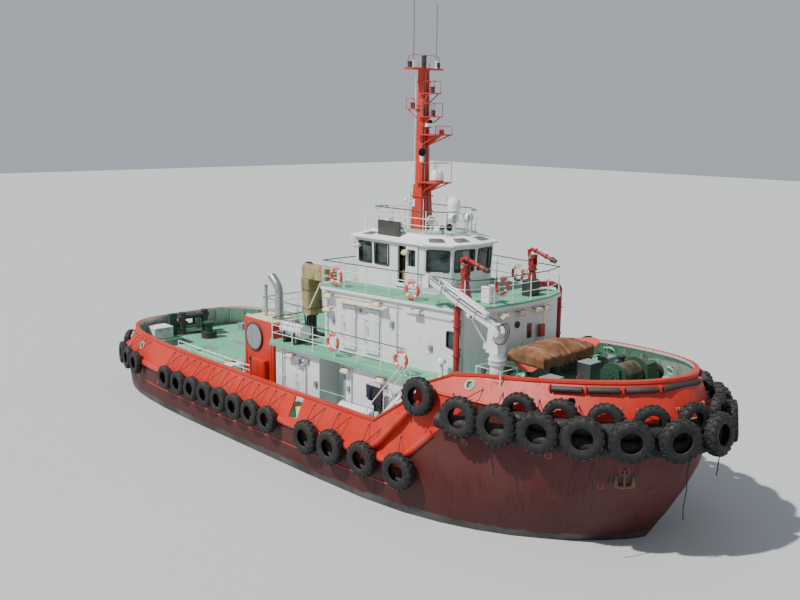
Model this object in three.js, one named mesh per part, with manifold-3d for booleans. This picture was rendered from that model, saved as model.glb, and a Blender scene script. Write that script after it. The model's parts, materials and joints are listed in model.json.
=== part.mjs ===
// A 33 m harbour tug with two azimuth thrusters, in millimetres.
// +X is forward, +Y is port, +Z is up, and the origin is on the waterline amidships, on the centreline.
import * as THREE from "three";
import { mergeVertices } from "three/addons/utils/BufferGeometryUtils.js";
import Module from "manifold-3d";

const wasm = await Module();
wasm.setup();

// Driving heights
const DECK = 2000; // main deck
const BOAT_DECK = 4700; // also the forecastle deck
const BRIDGE_DECK = 7300;
const ROOF_EDGE = 9150;
const TOP_DECK = 9500;
const MAST_TOP = 15800;
const PLATE = 80; // thickness of bulwarks
const WALL = 120; // thickness of house walls
const SLAB = 200; // thickness of decks
const GAP = 0.3; // between faces that touch
const RUN = 12; // clearance round a turning piece
const SIDES = { starboard: -1, port: 1 };

// Driving places along the hull
const MID_AFT = -2000; // the outline is parallel from here
const MID_FORE = 2000; // to here
const BREAK = 7600; // the forecastle's aft face
const SLOPE_START = 5500; // the bulwark rises from here
const FORE_RAIL_START = 8900; // to the height of the forecastle's rail
const AFT_RAIL = 3050;
const FORE_RAIL = 5400;
const BOW_RAIL = 5950;
const LEAN = 450; // how far the bulwarks lean inboard

const finishes = {
  hull_orange: { color: 0xd8401f, roughness: 0.5, metalness: 0 },
  house_white: { color: 0xd9dcdb, roughness: 0.5, metalness: 0 },
  deck_green: { color: 0x6fae8e, roughness: 0.75, metalness: 0 },
  monitor_red: { color: 0xa01f1c, roughness: 0.45, metalness: 0 },
  winch_green: { color: 0x1d4a35, roughness: 0.55, metalness: 0 },
  bronze: { color: 0x9a7a3c, roughness: 0.35, metalness: 1 },
  steel_bare: { color: 0xa9abab, roughness: 0.35, metalness: 1 },
  steel_dark: { color: 0x2b2d2e, roughness: 0.6, metalness: 0 },
  tyre_black: { color: 0x1b1b1c, roughness: 0.9, metalness: 0 },
  canvas_tan: { color: 0x9a8c66, roughness: 0.95, metalness: 0 },
  cover_orange: { color: 0xa5643a, roughness: 0.9, metalness: 0 },
  glass_dark: { color: 0x22302f, roughness: 0.08, metalness: 0 },
  dash_grey: { color: 0x3b4043, roughness: 0.7, metalness: 0 },
  rope: { color: 0xb9b098, roughness: 0.95, metalness: 0 },
};
const materials = {};
for (const [name, look] of Object.entries(finishes)) {
  materials[name] = new THREE.MeshStandardMaterial(look);
}

const group = new THREE.Group();

// Solids

// A closed solid from corner points and triangles.
function closed(points, triangles) {
  const geometry = new THREE.BufferGeometry().setFromPoints(points);
  geometry.setIndex(triangles.flat());
  return solid(geometry);
}

// A three.js geometry as a solid that can be joined and cut, turned so that its faces point out.
function solid(geometry) {
  for (const name of Object.keys(geometry.attributes)) {
    if (name !== "position") geometry.deleteAttribute(name);
  }
  const merged = mergeVertices(geometry, 1e-3);
  const index = merged.index.array;
  const place = merged.attributes.position;
  const corner = (i) => new THREE.Vector3().fromBufferAttribute(place, i);
  const triVerts = [];
  let volume = 0;
  for (let i = 0; i < index.length; i += 3) {
    const [a, b, c] = [index[i], index[i + 1], index[i + 2]];
    if (a === b || b === c || c === a) continue;
    triVerts.push(a, b, c);
    volume += corner(a).dot(corner(b).cross(corner(c)));
  }
  if (volume < 0) triVerts.reverse();
  return new wasm.Manifold(
    new wasm.Mesh({
      numProp: 3,
      vertProperties: new Float32Array(place.array),
      triVerts: new Uint32Array(triVerts),
    }),
  );
}

const join = (...parts) => parts.flat().reduce((a, b) => a.add(b));
const cut = (whole, ...tools) => tools.flat().reduce((a, b) => a.subtract(b), whole);
const vec = (x, y, z) => new THREE.Vector3(x, y, z);

// Rings of points, each with as many points as the next, skinned and capped at both ends.
function loft(rings) {
  const count = rings[0].length;
  const triangles = [];
  for (let r = 0; r + 1 < rings.length; r++) {
    for (let i = 0; i < count; i++) {
      const a = r * count + i;
      const b = r * count + ((i + 1) % count);
      triangles.push([a, b, b + count], [a, b + count, a + count]);
    }
  }
  const last = (rings.length - 1) * count;
  for (const [a, b, c] of capOf(rings[0])) triangles.push([a, c, b]);
  for (const [a, b, c] of capOf(rings.at(-1))) triangles.push([last + a, last + b, last + c]);
  return closed(rings.flat(), triangles);
}

// The triangles that close one ring, listed in the ring's own sense.
function capOf(ring) {
  const normal = vec(0, 0, 0);
  ring.forEach((p, i) => {
    normal.add(new THREE.Vector3().crossVectors(p, ring[(i + 1) % ring.length]));
  });
  normal.normalize();
  const turn = new THREE.Quaternion().setFromUnitVectors(normal, vec(0, 0, 1));
  const flat = ring.map((p) => {
    const q = p.clone().applyQuaternion(turn);
    return new THREE.Vector2(q.x, q.y);
  });
  return THREE.ShapeUtils.triangulateShape(flat, []);
}

function box(x0, x1, y0, y1, z0, z1) {
  const geometry = new THREE.BoxGeometry(Math.abs(x1 - x0), Math.abs(y1 - y0), Math.abs(z1 - z0));
  return solid(geometry.translate((x0 + x1) / 2, (y0 + y1) / 2, (z0 + z1) / 2));
}

// A round or many-sided bar from p to q, which may taper from radius r to radius r2.
function bar(p, q, r, sides = 12, r2 = r) {
  const along = q.clone().sub(p);
  const geometry = new THREE.CylinderGeometry(r2, r, along.length(), sides);
  geometry.applyQuaternion(
    new THREE.Quaternion().setFromUnitVectors(vec(0, 1, 0), along.clone().normalize()),
  );
  return solid(geometry.translate(...p.clone().add(q).multiplyScalar(0.5).toArray()));
}

// A tube of a given radius along a line of points, mitred at each bend.
function tube(points, radius, sides = 6) {
  const way = (i) => points[i + 1].clone().sub(points[i]).normalize();
  const first = way(0);
  const turn = new THREE.Quaternion().setFromUnitVectors(vec(0, 0, 1), first);
  const start = [];
  for (let i = 0; i < sides; i++) {
    const a = ((i + 0.5) / sides) * 2 * Math.PI;
    start.push(
      vec(radius * Math.cos(a), radius * Math.sin(a), 0).applyQuaternion(turn).add(points[0]),
    );
  }
  const rings = [start];
  for (let i = 1; i < points.length; i++) {
    const into = way(i - 1);
    const normal = i + 1 < points.length ? into.clone().add(way(i)).normalize() : into;
    rings.push(
      rings[i - 1].map((p) => {
        const t = points[i].clone().sub(p).dot(normal) / into.dot(normal);
        return p.clone().addScaledVector(into, t);
      }),
    );
  }
  return loft(rings);
}

// A flat outline of [x, y] pairs raised from z0 to z1, with another outline at the top if one is given.
function prism(outline, z0, z1, top = outline) {
  return loft([outline.map(([x, y]) => vec(x, y, z0)), top.map(([x, y]) => vec(x, y, z1))]);
}

// An outline of [x, z] pairs from y0 to y1.
function slice(outline, y0, y1) {
  return loft([outline.map(([x, z]) => vec(x, y0, z)), outline.map(([x, z]) => vec(x, y1, z))]);
}

// An outline of [x, y] pairs moved inwards by a distance, for outlines listed anticlockwise.
function inset(outline, by) {
  return outline.map(([x, y], i) => {
    const [px, py] = outline.at(i - 1);
    const [nx, ny] = outline[(i + 1) % outline.length];
    const a = new THREE.Vector2(x - px, y - py).normalize();
    const b = new THREE.Vector2(nx - x, ny - y).normalize();
    const k = by / (1 + a.dot(b));
    return [x - (a.y + b.y) * k, y + (a.x + b.x) * k];
  });
}

// A half outline of [x, y] pairs, listed from aft to fore with y positive, closed by its mirror image.
function bothSides(half) {
  const starboard = half.map(([x, y]) => [x, -y]);
  const port = half.filter(([, y]) => y > 0).reverse();
  return [...starboard, ...port];
}

// Walls on an outline, from z0 to z1, which may lean to another outline at the top.
function walls(outline, z0, z1, top = outline, thick = WALL) {
  const inner = prism(inset(outline, thick), z0 - 1, z1 + 1, inset(top, thick));
  return cut(prism(outline, z0, z1, top), inner);
}

function add(name, shape, finish) {
  const mesh = shape.getMesh();
  const geometry = new THREE.BufferGeometry();
  geometry.setAttribute("position", new THREE.BufferAttribute(mesh.vertProperties, 3));
  geometry.setIndex(new THREE.BufferAttribute(mesh.triVerts, 1));
  const piece = new THREE.Mesh(geometry, materials[finish]);
  piece.name = name;
  group.add(piece);
}

// Hull

// Columns: height, aft end, fore end, half-breadth, and the power that fills out the bow.
const hullLevels = [
  [-3600, -4500, 9000, 1500, 1.2],
  [-3300, -5400, 10800, 2600, 1.2],
  [-2400, -8600, 12500, 3900, 1.2],
  [-1500, -13200, 13400, 4650, 1.2],
  [-700, -15900, 13850, 5020, 1.25],
  [0, -16300, 14200, 5180, 1.3],
  [1000, -16450, 14850, 5260, 1.4],
  [DECK, -16600, 15420, 5300, 1.5],
];
const forecastleLevels = [
  [DECK - 100, -16000, 15000, 5100, 1.5],
  [DECK, -16600, 15420, 5300, 1.5],
  [2900, -16600, 15800, 5180, 1.67],
  [3800, -16600, 15950, 4950, 1.85],
  [BOAT_DECK, -16600, 16000, 4750, 2],
];
const END_STEPS = 11;

// The outline's half-breadth at x, on one level.
function halfBreadth([, aft, fore, breadth, fill], x) {
  if (x < MID_AFT) {
    const s = Math.min(1, (MID_AFT - x) / (MID_AFT - aft));
    return breadth * (1 - s ** 4) ** (1 / 4);
  }
  const s = Math.min(1, Math.max(0, (x - MID_FORE) / (fore - MID_FORE)));
  return breadth * (1 - s ** 3) ** (1 / fill);
}

// One level's outline as a ring of points, starboard from aft to fore and back along port.
function levelRing(level) {
  const [z, aft, fore] = level;
  const half = [];
  for (let i = 0; i <= END_STEPS; i++) {
    const s = Math.cos(((i / END_STEPS) * Math.PI) / 2) ** (1 / 2);
    half.push(MID_AFT - (MID_AFT - aft) * s);
  }
  for (let i = 0; i <= END_STEPS; i++) {
    const s = Math.sin(((i / END_STEPS) * Math.PI) / 2) ** (2 / 3);
    half.push(MID_FORE + (fore - MID_FORE) * s);
  }
  const ends = [0, half.length - 1];
  const outline = half.map((x, i) => [x, ends.includes(i) ? 0 : halfBreadth(level, x)]);
  return bothSides(outline).map(([x, y]) => vec(x, y, z));
}

const deckLevel = hullLevels.at(-1);
const foreLevel = forecastleLevels.at(-1);

// The outline's measures at any height of the side.
function levelAt(z) {
  const levels = [...hullLevels, ...forecastleLevels.slice(2)];
  const above = Math.max(1, levels.findIndex((level) => level[0] >= z));
  const [low, high] = [levels[above - 1], levels[above]];
  const t = (z - low[0]) / (high[0] - low[0]);
  return low.map((value, i) => value + (high[i] - value) * t);
}

// The hull and forecastle, grown all round by a little so that neighbours can be cut to lie against it.
function hullBody(grow = 0) {
  const grown = ([z, aft, fore, breadth, fill], i, all) => {
    const rise = i === all.length - 1 ? grow : 0;
    return [z + rise, aft - grow, fore + grow, breadth + grow, fill];
  };
  const lower = loft(hullLevels.map(grown).map(levelRing));
  const raised = cut(
    loft(forecastleLevels.map(grown).map(levelRing)),
    box(-20000, BREAK - grow, -9000, 9000, -9000, 9000),
  );
  return join(lower, raised);
}

const thruster = { x: -11500, y: 2300, seat: -2450, z: -3760, inner: 1120, outer: 1290, length: 1150 };

function makeHull() {
  const skeg = [
    [-9800, -2000],
    [-9200, -4000],
    [-2000, -4000],
    [7600, -3800],
    [8600, -3000],
  ];
  const seats = Object.values(SIDES).map((side) =>
    bar(vec(thruster.x, side * thruster.y, -900), vec(thruster.x, side * thruster.y, thruster.seat), 950, 20),
  );
  add("hull", join(hullBody(), slice(skeg, -160, 160), seats, deckFittings()), "hull_orange");
}

const CAP = { wide: 90, tall: 90 }; // half the width of the rail on the bulwarks, and its height

// A plate with a rail on top that stands on a line of [x, y, zTop, lean] posts, each moved inboard at its top.
function leaningPlate(posts, base) {
  return loft(
    posts.map(([x, y, top, lean]) => {
      const away = new THREE.Vector2(x - Math.sign(x) * Math.min(Math.abs(x), 11000), y).normalize();
      const at = (by, z) => vec(x - away.x * by, y - away.y * by, z);
      const middle = lean + PLATE / 2;
      const under = Math.max(base + 5, top - CAP.tall);
      return [
        at(0, base),
        at(lean, under),
        at(middle - CAP.wide, under),
        at(middle - CAP.wide, under + CAP.tall),
        at(middle + CAP.wide, under + CAP.tall),
        at(middle + CAP.wide, under),
        at(lean + PLATE, under),
        at(PLATE, base),
      ];
    }),
  );
}

// The deck edge's points between two values of x, by the stern or by the bow, moved in by a margin.
function edgePoints(level, from, margin, steps, end) {
  const tip = (end < 0 ? level[1] : level[2]) - end * margin;
  const points = [];
  for (let i = -steps; i <= steps; i++) {
    const t = Math.abs(i) / steps;
    const x = tip + (from - tip) * t ** 2.2;
    const y = i === 0 ? 0 : Math.max(0, halfBreadth(level, x + end * margin) - margin);
    points.push([x, Math.sign(i) * y]);
  }
  return points;
}

const EDGE_MARGIN = 60;

function makeAftBulwark() {
  const riseOf = (x) => Math.max(0, (x - SLOPE_START) / (FORE_RAIL_START - SLOPE_START));
  const stern = edgePoints(deckLevel, MID_AFT, EDGE_MARGIN, 14, -1);
  const sideXs = [1500, SLOPE_START, 6600, BREAK - 10];
  const along = (side) => sideXs.map((x) => [x, side * (halfBreadth(deckLevel, x) - EDGE_MARGIN)]);
  const line = [...along(-1).reverse(), ...stern, ...along(1)];
  const posts = line.map(([x, y]) => [x, y, AFT_RAIL + riseOf(x) * (FORE_RAIL - AFT_RAIL), LEAN]);
  const plate = leaningPlate(posts, DECK + GAP);
  const gate = box(850, 1380, -6000, -3500, DECK + 80, AFT_RAIL - 160);
  const fairlead = box(-18000, -15500, -560, 560, DECK + 250, AFT_RAIL - 170);
  const chocks = [
    [-15100, -3600],
    [-12400, -4500],
    [-15100, 3600],
    [-12400, 4500],
  ].map(([x, y]) => bar(vec(x, y * 0.6, 2600), vec(x, y * 1.5, 2400), 150, 10));
  add("bulwark_aft", cut(plate, gate, fairlead, chocks, hullBody(GAP)), "hull_orange");
}

function makeForeBulwark() {
  const line = edgePoints(foreLevel, BREAK + 40, EDGE_MARGIN, 16, 1);
  const riseOf = (x) => Math.min(1, (x - BREAK + 80) / (FORE_RAIL_START - BREAK + 80));
  const topOf = (x) => {
    const bow = Math.max(0, (x - FORE_RAIL_START) / (16000 - FORE_RAIL_START));
    return BOAT_DECK + riseOf(x) * (FORE_RAIL - BOAT_DECK) + bow * (BOW_RAIL - FORE_RAIL);
  };
  const leanOf = (x) => 500 * Math.min(1, (topOf(x) - BOAT_DECK) / (FORE_RAIL - BOAT_DECK));
  const posts = line.map(([x, y]) => [x, y, topOf(x), leanOf(x)]);
  const plate = leaningPlate(posts, BOAT_DECK + GAP);
  const chocks = [
    [9650, -1],
    [13100, -1],
    [9650, 1],
    [13100, 1],
  ].map(([x, side]) => {
    const y = side * (halfBreadth(foreLevel, x) - 300);
    return bar(vec(x - 200, y * 0.7, 5150), vec(x + 200, y * 1.3, 5000), 150, 10);
  });
  add("bulwark_fore", cut(plate, chocks, hullBody(GAP)), "hull_orange");
}

// Fenders

// A low ring of rubber at a point, whose hole looks along a direction.
function tyre(at, facing, radius, steps = 8) {
  const half = radius * 0.3;
  const profile = [
    [radius * 0.52, 0],
    [radius, -half],
    [radius, half],
    [radius * 0.52, 0],
  ].map(([r, z]) => new THREE.Vector2(r, z));
  const geometry = new THREE.LatheGeometry(profile, steps);
  geometry.applyQuaternion(
    new THREE.Quaternion().setFromUnitVectors(vec(0, 1, 0), facing.clone().normalize()),
  );
  return solid(geometry.translate(at.x, at.y, at.z));
}

// The hull edge's point and outward direction at x, on one level.
function edgeAt(level, x, side) {
  const step = 20;
  const y = halfBreadth(level, x);
  const slope = (halfBreadth(level, x + step) - halfBreadth(level, x - step)) / (2 * step);
  const out = vec(-slope, side, 0).normalize();
  return { at: vec(x, side * y, level[0]), out };
}

const GUARD = { out: 160, low: DECK - 230, high: DECK - 20 }; // the square guard along the deck edge
const SIDE_TYRE = 560;
const TYRE_OFF = 250; // from the hull to the middle of a tyre that hangs on the guard
const sideTyresAft = [-14200, -13050, -11900, -8500, -7250, -6050, -4900, -3750, -2550, -1350, -150];
const sideTyresFore = [2450, 3950, 5700, 7450];
const sternTyres = [-3100, -2050, -1000, 150, 1300, 2350, 3350];
const SUNK = -20; // the guard starts inside the hull's face, and is then cut to lie against it

// The guard between two of the hull outline's points, counted from the stern along port or starboard.
function guardAlong(from, to, side) {
  const low = levelRing(levelAt(GUARD.low));
  const high = levelRing(levelAt(GUARD.high));
  const count = low.length;
  const posts = [];
  for (let i = from; i <= to; i++) {
    const k = side < 0 ? (count + i) % count : (count - i) % count;
    const before = low.at((k + count - 1) % count);
    const after = low.at((k + 1) % count);
    const out = vec(after.y - before.y, before.x - after.x, 0).normalize();
    const at = (p, by) => p.clone().addScaledVector(out, by);
    posts.push([at(low[k], SUNK), at(low[k], GUARD.out), at(high[k], GUARD.out), at(high[k], SUNK)]);
  }
  return cut(loft(posts), hullBody(GAP));
}

const CORNER_POINT = 4; // the outline's point, counted from the stern, where the stern guard ends
const FORE_POINT = 15; // and where the side guards end

function makeSideFender(name, side) {
  const level = levelAt(GUARD.high);
  const tyres = [...sideTyresAft, ...sideTyresFore].map((x, i) => {
    const { at, out } = edgeAt(level, x, side);
    const radius = i < sideTyresAft.length ? SIDE_TYRE : SIDE_TYRE + 90;
    const drop = i < sideTyresAft.length ? 200 : 280;
    return tyre(at.addScaledVector(out, TYRE_OFF).setZ(DECK - drop), out, radius);
  });
  add(name, join(guardAlong(CORNER_POINT + 1, FORE_POINT, side), tyres), "tyre_black");
}

function makeSternFender() {
  const level = levelAt(GUARD.high);
  const xOf = (y) => {
    const s = (1 - (Math.abs(y) / level[3]) ** 4) ** (1 / 4);
    return MID_AFT - (MID_AFT - level[1]) * s;
  };
  const tyres = sternTyres.map((y) => {
    const slope = (xOf(y + 20) - xOf(y - 20)) / 40;
    const out = vec(-1, slope, 0).normalize();
    return tyre(vec(xOf(y), y, DECK - 130).addScaledVector(out, TYRE_OFF - 30), out, SIDE_TYRE);
  });
  const half = guardAlong(0, CORNER_POINT, -1);
  add("fender_stern", join(half, guardAlong(0, CORNER_POINT, 1), tyres), "tyre_black");
}

// Two rows of tyres round the bow, each on a round log against the hull: the tyres' height, distance off the
// hull, radius and spacing, the first one's share of a spacing from the stem, how far aft they reach, and the
// log's height, distance off and radius.
const bowRows = [
  { z: 4920, off: 60, radius: 560, spread: 1360, first: 0.5, reach: 11300, logZ: 4400, logOff: 100, log: 275 },
  { z: 4260, off: 420, radius: 680, spread: 1330, first: 1, reach: 8700, logZ: 3900, logOff: 275, log: 290 },
];

// Points evenly spaced along the forecastle's edge, measured from the stem, as distance and point.
function bowPath(level, off, spacing, start, reach) {
  const points = [];
  let travelled = 0;
  let last = null;
  let next = start;
  for (let i = 0; i <= 4000; i++) {
    const theta = (Math.PI / 2) * (1 - i / 4000);
    const x = MID_FORE + (level[2] - MID_FORE) * Math.sin(theta) ** (2 / 3);
    const y = halfBreadth(level, Math.min(x, level[2] - 1e-6));
    if (last) travelled += Math.hypot(x - last[0], y - last[1]);
    last = [x, y];
    if (x < reach) break;
    if (travelled >= next) {
      const { out } = edgeAt(level, Math.min(x, level[2] - 40), 1);
      points.push({ at: vec(x, y, level[0]).addScaledVector(out, off), out });
      next += spacing;
    }
  }
  return points;
}

const bowRound = (half, stem) => {
  const mirror = (v) => vec(v.x, -v.y, v.z);
  return [...half.map(({ at, out }) => ({ at: mirror(at), out: mirror(out) })).reverse(), ...stem, ...half];
};

function makeBowFender() {
  const rows = bowRows.flatMap(({ z, off, radius, spread, first, reach, logZ, logOff, log }) => {
    const place = levelAt(Math.min(z, BOAT_DECK));
    const ahead = vec(1, 0, 0);
    const stem = first === 1 ? [{ at: vec(place[2] + off, 0, z), out: ahead }] : [];
    const places = bowRound(bowPath(place, off, spread, spread * first, reach), stem);
    const logPlace = levelAt(logZ);
    const logStem = [{ at: vec(logPlace[2] + logOff, 0, logZ), out: ahead }];
    const logLine = bowRound(bowPath(logPlace, logOff, spread / 2, spread / 2, reach), logStem);
    const line = logLine.map(({ at }) => at);
    const tyres = places.map(({ at, out }) => tyre(at.clone().addScaledVector(out, radius * 0.3).setZ(z), out, radius));
    return [tube(line, log, 6), ...tyres];
  });
  add("fender_bow", cut(join(rows), hullBody(GAP)), "tyre_black");
}

// Houses

const lowerHouseHalf = [
  [-4600, 2080],
  [-1400, 2080],
  [-1400, 4170],
  [BREAK - 10, 3610],
];
const upperHouseHalf = [
  [950, 3387],
  [8000, 2650],
  [8350, 1500],
  [8450, 0],
];
const bridgeDeckHalf = [
  [800, 3506],
  [8080, 2750],
  [8470, 1560],
  [8590, 0],
];
const boatDeckHalf = [
  [-5500, 2120],
  [-1500, 2120],
  [-1500, 4420],
  [BREAK - 10, 3860],
];
const wheelFootHalf = [
  [1080, 1800],
  [4970, 1800],
  [5800, 1100],
  [5970, 0],
];
const wheelHeadHalf = [
  [960, 1800],
  [5020, 1800],
  [5920, 1150],
  [6100, 0],
];
const roofEdgeHalf = [
  [830, 1950],
  [5070, 1950],
  [6070, 1260],
  [6280, 0],
];
const topDeckHalf = [
  [1500, 1400],
  [4600, 1380],
  [5300, 900],
  [5450, 0],
];

const DOOR = { wide: 650, narrow: 510, tall: 1750, sill: 180, thick: 60, clear: 6, seal: 14 };
const alcove = { x0: 1340, x1: 2900, deep: 1150 };

// The doors: their side, the wall they are on, the middle of the doorway, the deck they stand on and their
// height. Those of the wheelhouse slide forward along the wall, and the starboard one stands open.
const lowerSide = lowerHouseHalf.slice(2);
const upperSide = upperHouseHalf.slice(0, 2);
const wheelSide = wheelFootHalf.slice(0, 2);
const doorTable = [
  { name: "door_lower_starboard", side: -1, wall: lowerSide, x: 300, base: DECK },
  { name: "door_lower_port", side: 1, wall: lowerSide, x: 300, base: DECK },
  { name: "door_upper_aft_starboard", side: -1, wall: upperSide, x: 2370, base: BOAT_DECK },
  { name: "door_upper_fore_starboard", side: -1, wall: upperSide, x: 3630, base: BOAT_DECK },
  { name: "door_upper_port", side: 1, wall: upperSide, x: 3000, base: BOAT_DECK },
  { name: "door_wheelhouse_starboard", side: -1, wall: wheelSide, x: 3800, base: BRIDGE_DECK, open: 600 },
  { name: "door_wheelhouse_port", side: 1, wall: wheelSide, x: 3800, base: BRIDGE_DECK, open: 0 },
];
const slides = (door) => door.base === BRIDGE_DECK;
const leafHeight = (door) => (slides(door) ? 1600 : DOOR.tall);
const halfLeaf = (door) => (door.base === DECK ? DOOR.narrow : DOOR.wide) / 2;

// The wall's point at x and its unit directions along (forward) and outward.
function onWall([[x0, y0], [x1, y1]], x, side) {
  const t = (x - x0) / (x1 - x0);
  const along = vec(x1 - x0, side * (y1 - y0), 0).normalize();
  const out = vec(-side * along.y, side * along.x, 0);
  return { at: vec(x, side * (y0 + (y1 - y0) * t), 0), along, out };
}

// A block on a wall: from s0 to s1 along it, d0 to d1 outward of its face, z0 to z1 high.
function wallBlock({ at, along, out }, s0, s1, d0, d1, z0, z1) {
  const corner = (s, d) => at.clone().addScaledVector(along, s).addScaledVector(out, d);
  const plan = [corner(s0, d0), corner(s1, d0), corner(s1, d1), corner(s0, d1)];
  return loft([plan.map((p) => p.clone().setZ(z0)), plan.map((p) => p.clone().setZ(z1))]);
}

// The doors hang outside the wall's face on two lugs, so that they swing flat back against the wall.
const HINGE_OFF = 45;
const HINGE_GAP = 24; // from the leaf's edge to the pin's axis
const LUG = 17; // half a lug's width

function doorOpening(door) {
  const { side, wall, x, base } = door;
  const half = halfLeaf(door) - 60;
  const top = base + DOOR.sill + leafHeight(door) - 60;
  return wallBlock(onWall(wall, x, side), -half, half, -400, 300, base + DOOR.sill + 60, top);
}

function makeDoors() {
  for (const door of doorTable) {
    const spot = onWall(door.wall, door.x, door.side);
    const z0 = door.base + DOOR.sill;
    const z1 = z0 + leafHeight(door);
    const half = halfLeaf(door);
    const shift = slides(door) ? door.open : 0;
    const back = slides(door) ? DOOR.clear : DOOR.seal;
    const face = back + DOOR.thick;
    const leaf = wallBlock(spot, shift - half, shift + half, back, face, z0, z1);
    const handle = wallBlock(spot, shift - half + 80, shift - half + 160, face - 20, 105, z0 + 850, z0 + 890);
    if (slides(door)) {
      const pane = wallBlock(spot, shift - 210, shift + 210, -200, 300, z0 + 800, z1 - 150);
      add(door.name, cut(join(leaf, handle), pane), "house_white");
      continue;
    }
    const knuckles = hingeShares.flatMap((share) => {
      const z = z0 + DOOR.tall * share;
      const pin = hingePoint(door);
      return [
        bar(pin.clone().setZ(z - KNUCKLE), pin.clone().setZ(z + KNUCKLE), 22, 8),
        wallBlock(spot, half - 20, half + HINGE_GAP, 33, 57, z - KNUCKLE, z + KNUCKLE),
      ];
    });
    add(door.name, join(leaf, knuckles, handle), "house_white");
  }
}

const hingeShares = [0.2, 0.8];
const KNUCKLE = 60; // half a hinge knuckle's height

// The hinged doors' pins are at their forward edges.
function hingePoint(door) {
  const { at, along, out } = onWall(door.wall, door.x, door.side);
  return at.clone().addScaledVector(along, halfLeaf(door) + HINGE_GAP).addScaledVector(out, HINGE_OFF);
}

// What carries a door: plates above and below each knuckle, or a rail under and over a sliding leaf.
function doorLugs(door) {
  const spot = onWall(door.wall, door.x, door.side);
  const z0 = door.base + DOOR.sill;
  if (slides(door)) {
    const half = halfLeaf(door);
    const reach = DOOR.clear + DOOR.thick + 10;
    return [z0 - GAP - 40, z0 + leafHeight(door) + GAP].map((z) =>
      wallBlock(spot, -half - 20, half + 650, -20, reach, z, z + 40),
    );
  }
  const s = halfLeaf(door) + HINGE_GAP;
  const pin = hingePoint(door);
  return hingeShares.flatMap((share) =>
    [-1, 1].flatMap((end) => {
      const z = z0 + DOOR.tall * share + end * (KNUCKLE + GAP + 15);
      return [
        wallBlock(spot, s - LUG, s + LUG, -20, HINGE_OFF, z - 15, z + 15),
        bar(pin.clone().setZ(z - 15), pin.clone().setZ(z + 15), LUG + 1, 8),
      ];
    }),
  );
}

const doorsAt = (base) => doorTable.filter((door) => door.base === base);

// A rain hood over a door.
function hood(door) {
  const spot = onWall(door.wall, door.x, door.side);
  const z = door.base + DOOR.sill + DOOR.tall + 60;
  return wallBlock(spot, -halfLeaf(door), halfLeaf(door), -20, 200, z, z + 40);
}

function makeLowerHouse() {
  const top = BOAT_DECK - SLAB - GAP;
  let shell = walls(bothSides(lowerHouseHalf), DECK + GAP, top);
  const alcoveY = -4130;
  const recess = box(alcove.x0, alcove.x1, -5200, alcoveY + alcove.deep, DECK - 10, top + 10);
  const pocket = box(
    alcove.x0 - WALL,
    alcove.x1 + WALL,
    -3880,
    alcoveY + alcove.deep + WALL,
    DECK + GAP,
    top,
  );
  shell = cut(join(shell, pocket), recess, doorsAt(DECK).map(doorOpening));
  shell = join(shell, doorsAt(DECK).flatMap(doorLugs), doorsAt(DECK).map(hood));
  add("deckhouse_lower", shell, "house_white");
  const deck = prism(bothSides(boatDeckHalf), BOAT_DECK - SLAB, BOAT_DECK);
  add("boat_deck", join(deck, Object.values(SIDES).map(raftSaddles)), "deck_green");
  const locker = join(
    bar(vec(2450, -3330, DECK + GAP), vec(2450, -3330, 4000), 250, 12),
    bar(vec(2450, -3330, 4000), vec(2450, -3330, 4120), 130, 12),
  );
  add("alcove_tank", locker, "steel_bare");
}

function makeUpperHouse() {
  const top = BRIDGE_DECK - SLAB - GAP;
  const doors = doorsAt(BOAT_DECK);
  let shell = walls(bothSides(upperHouseHalf), BOAT_DECK + GAP, top);
  const windows = [-1, 1].map((s) =>
    wallBlock(onWall(upperSide, 7400, s), -190, 190, -400, 300, 5750, 6350),
  );
  shell = cut(shell, doors.map(doorOpening), windows);
  shell = join(shell, doors.flatMap(doorLugs), doors.map(hood));
  add("deckhouse_upper", shell, "house_white");
  add("bridge_deck", prism(bothSides(bridgeDeckHalf), BRIDGE_DECK - SLAB, BRIDGE_DECK), "deck_green");
}

const WINDOW = { sill: 8150, head: 8980 };

// Window openings: columns are the wall's index along the half outline, and the shares where each starts
// and ends.
const windowTable = [
  { wall: 0, from: 0.05, to: 0.25 },
  { wall: 0, from: 0.29, to: 0.51 },
  { wall: 0, from: 0.8, to: 0.92 },
  { wall: 1, from: 0.1, to: 0.9 },
  { wall: 2, from: 0.1, to: 0.92 },
];

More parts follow.
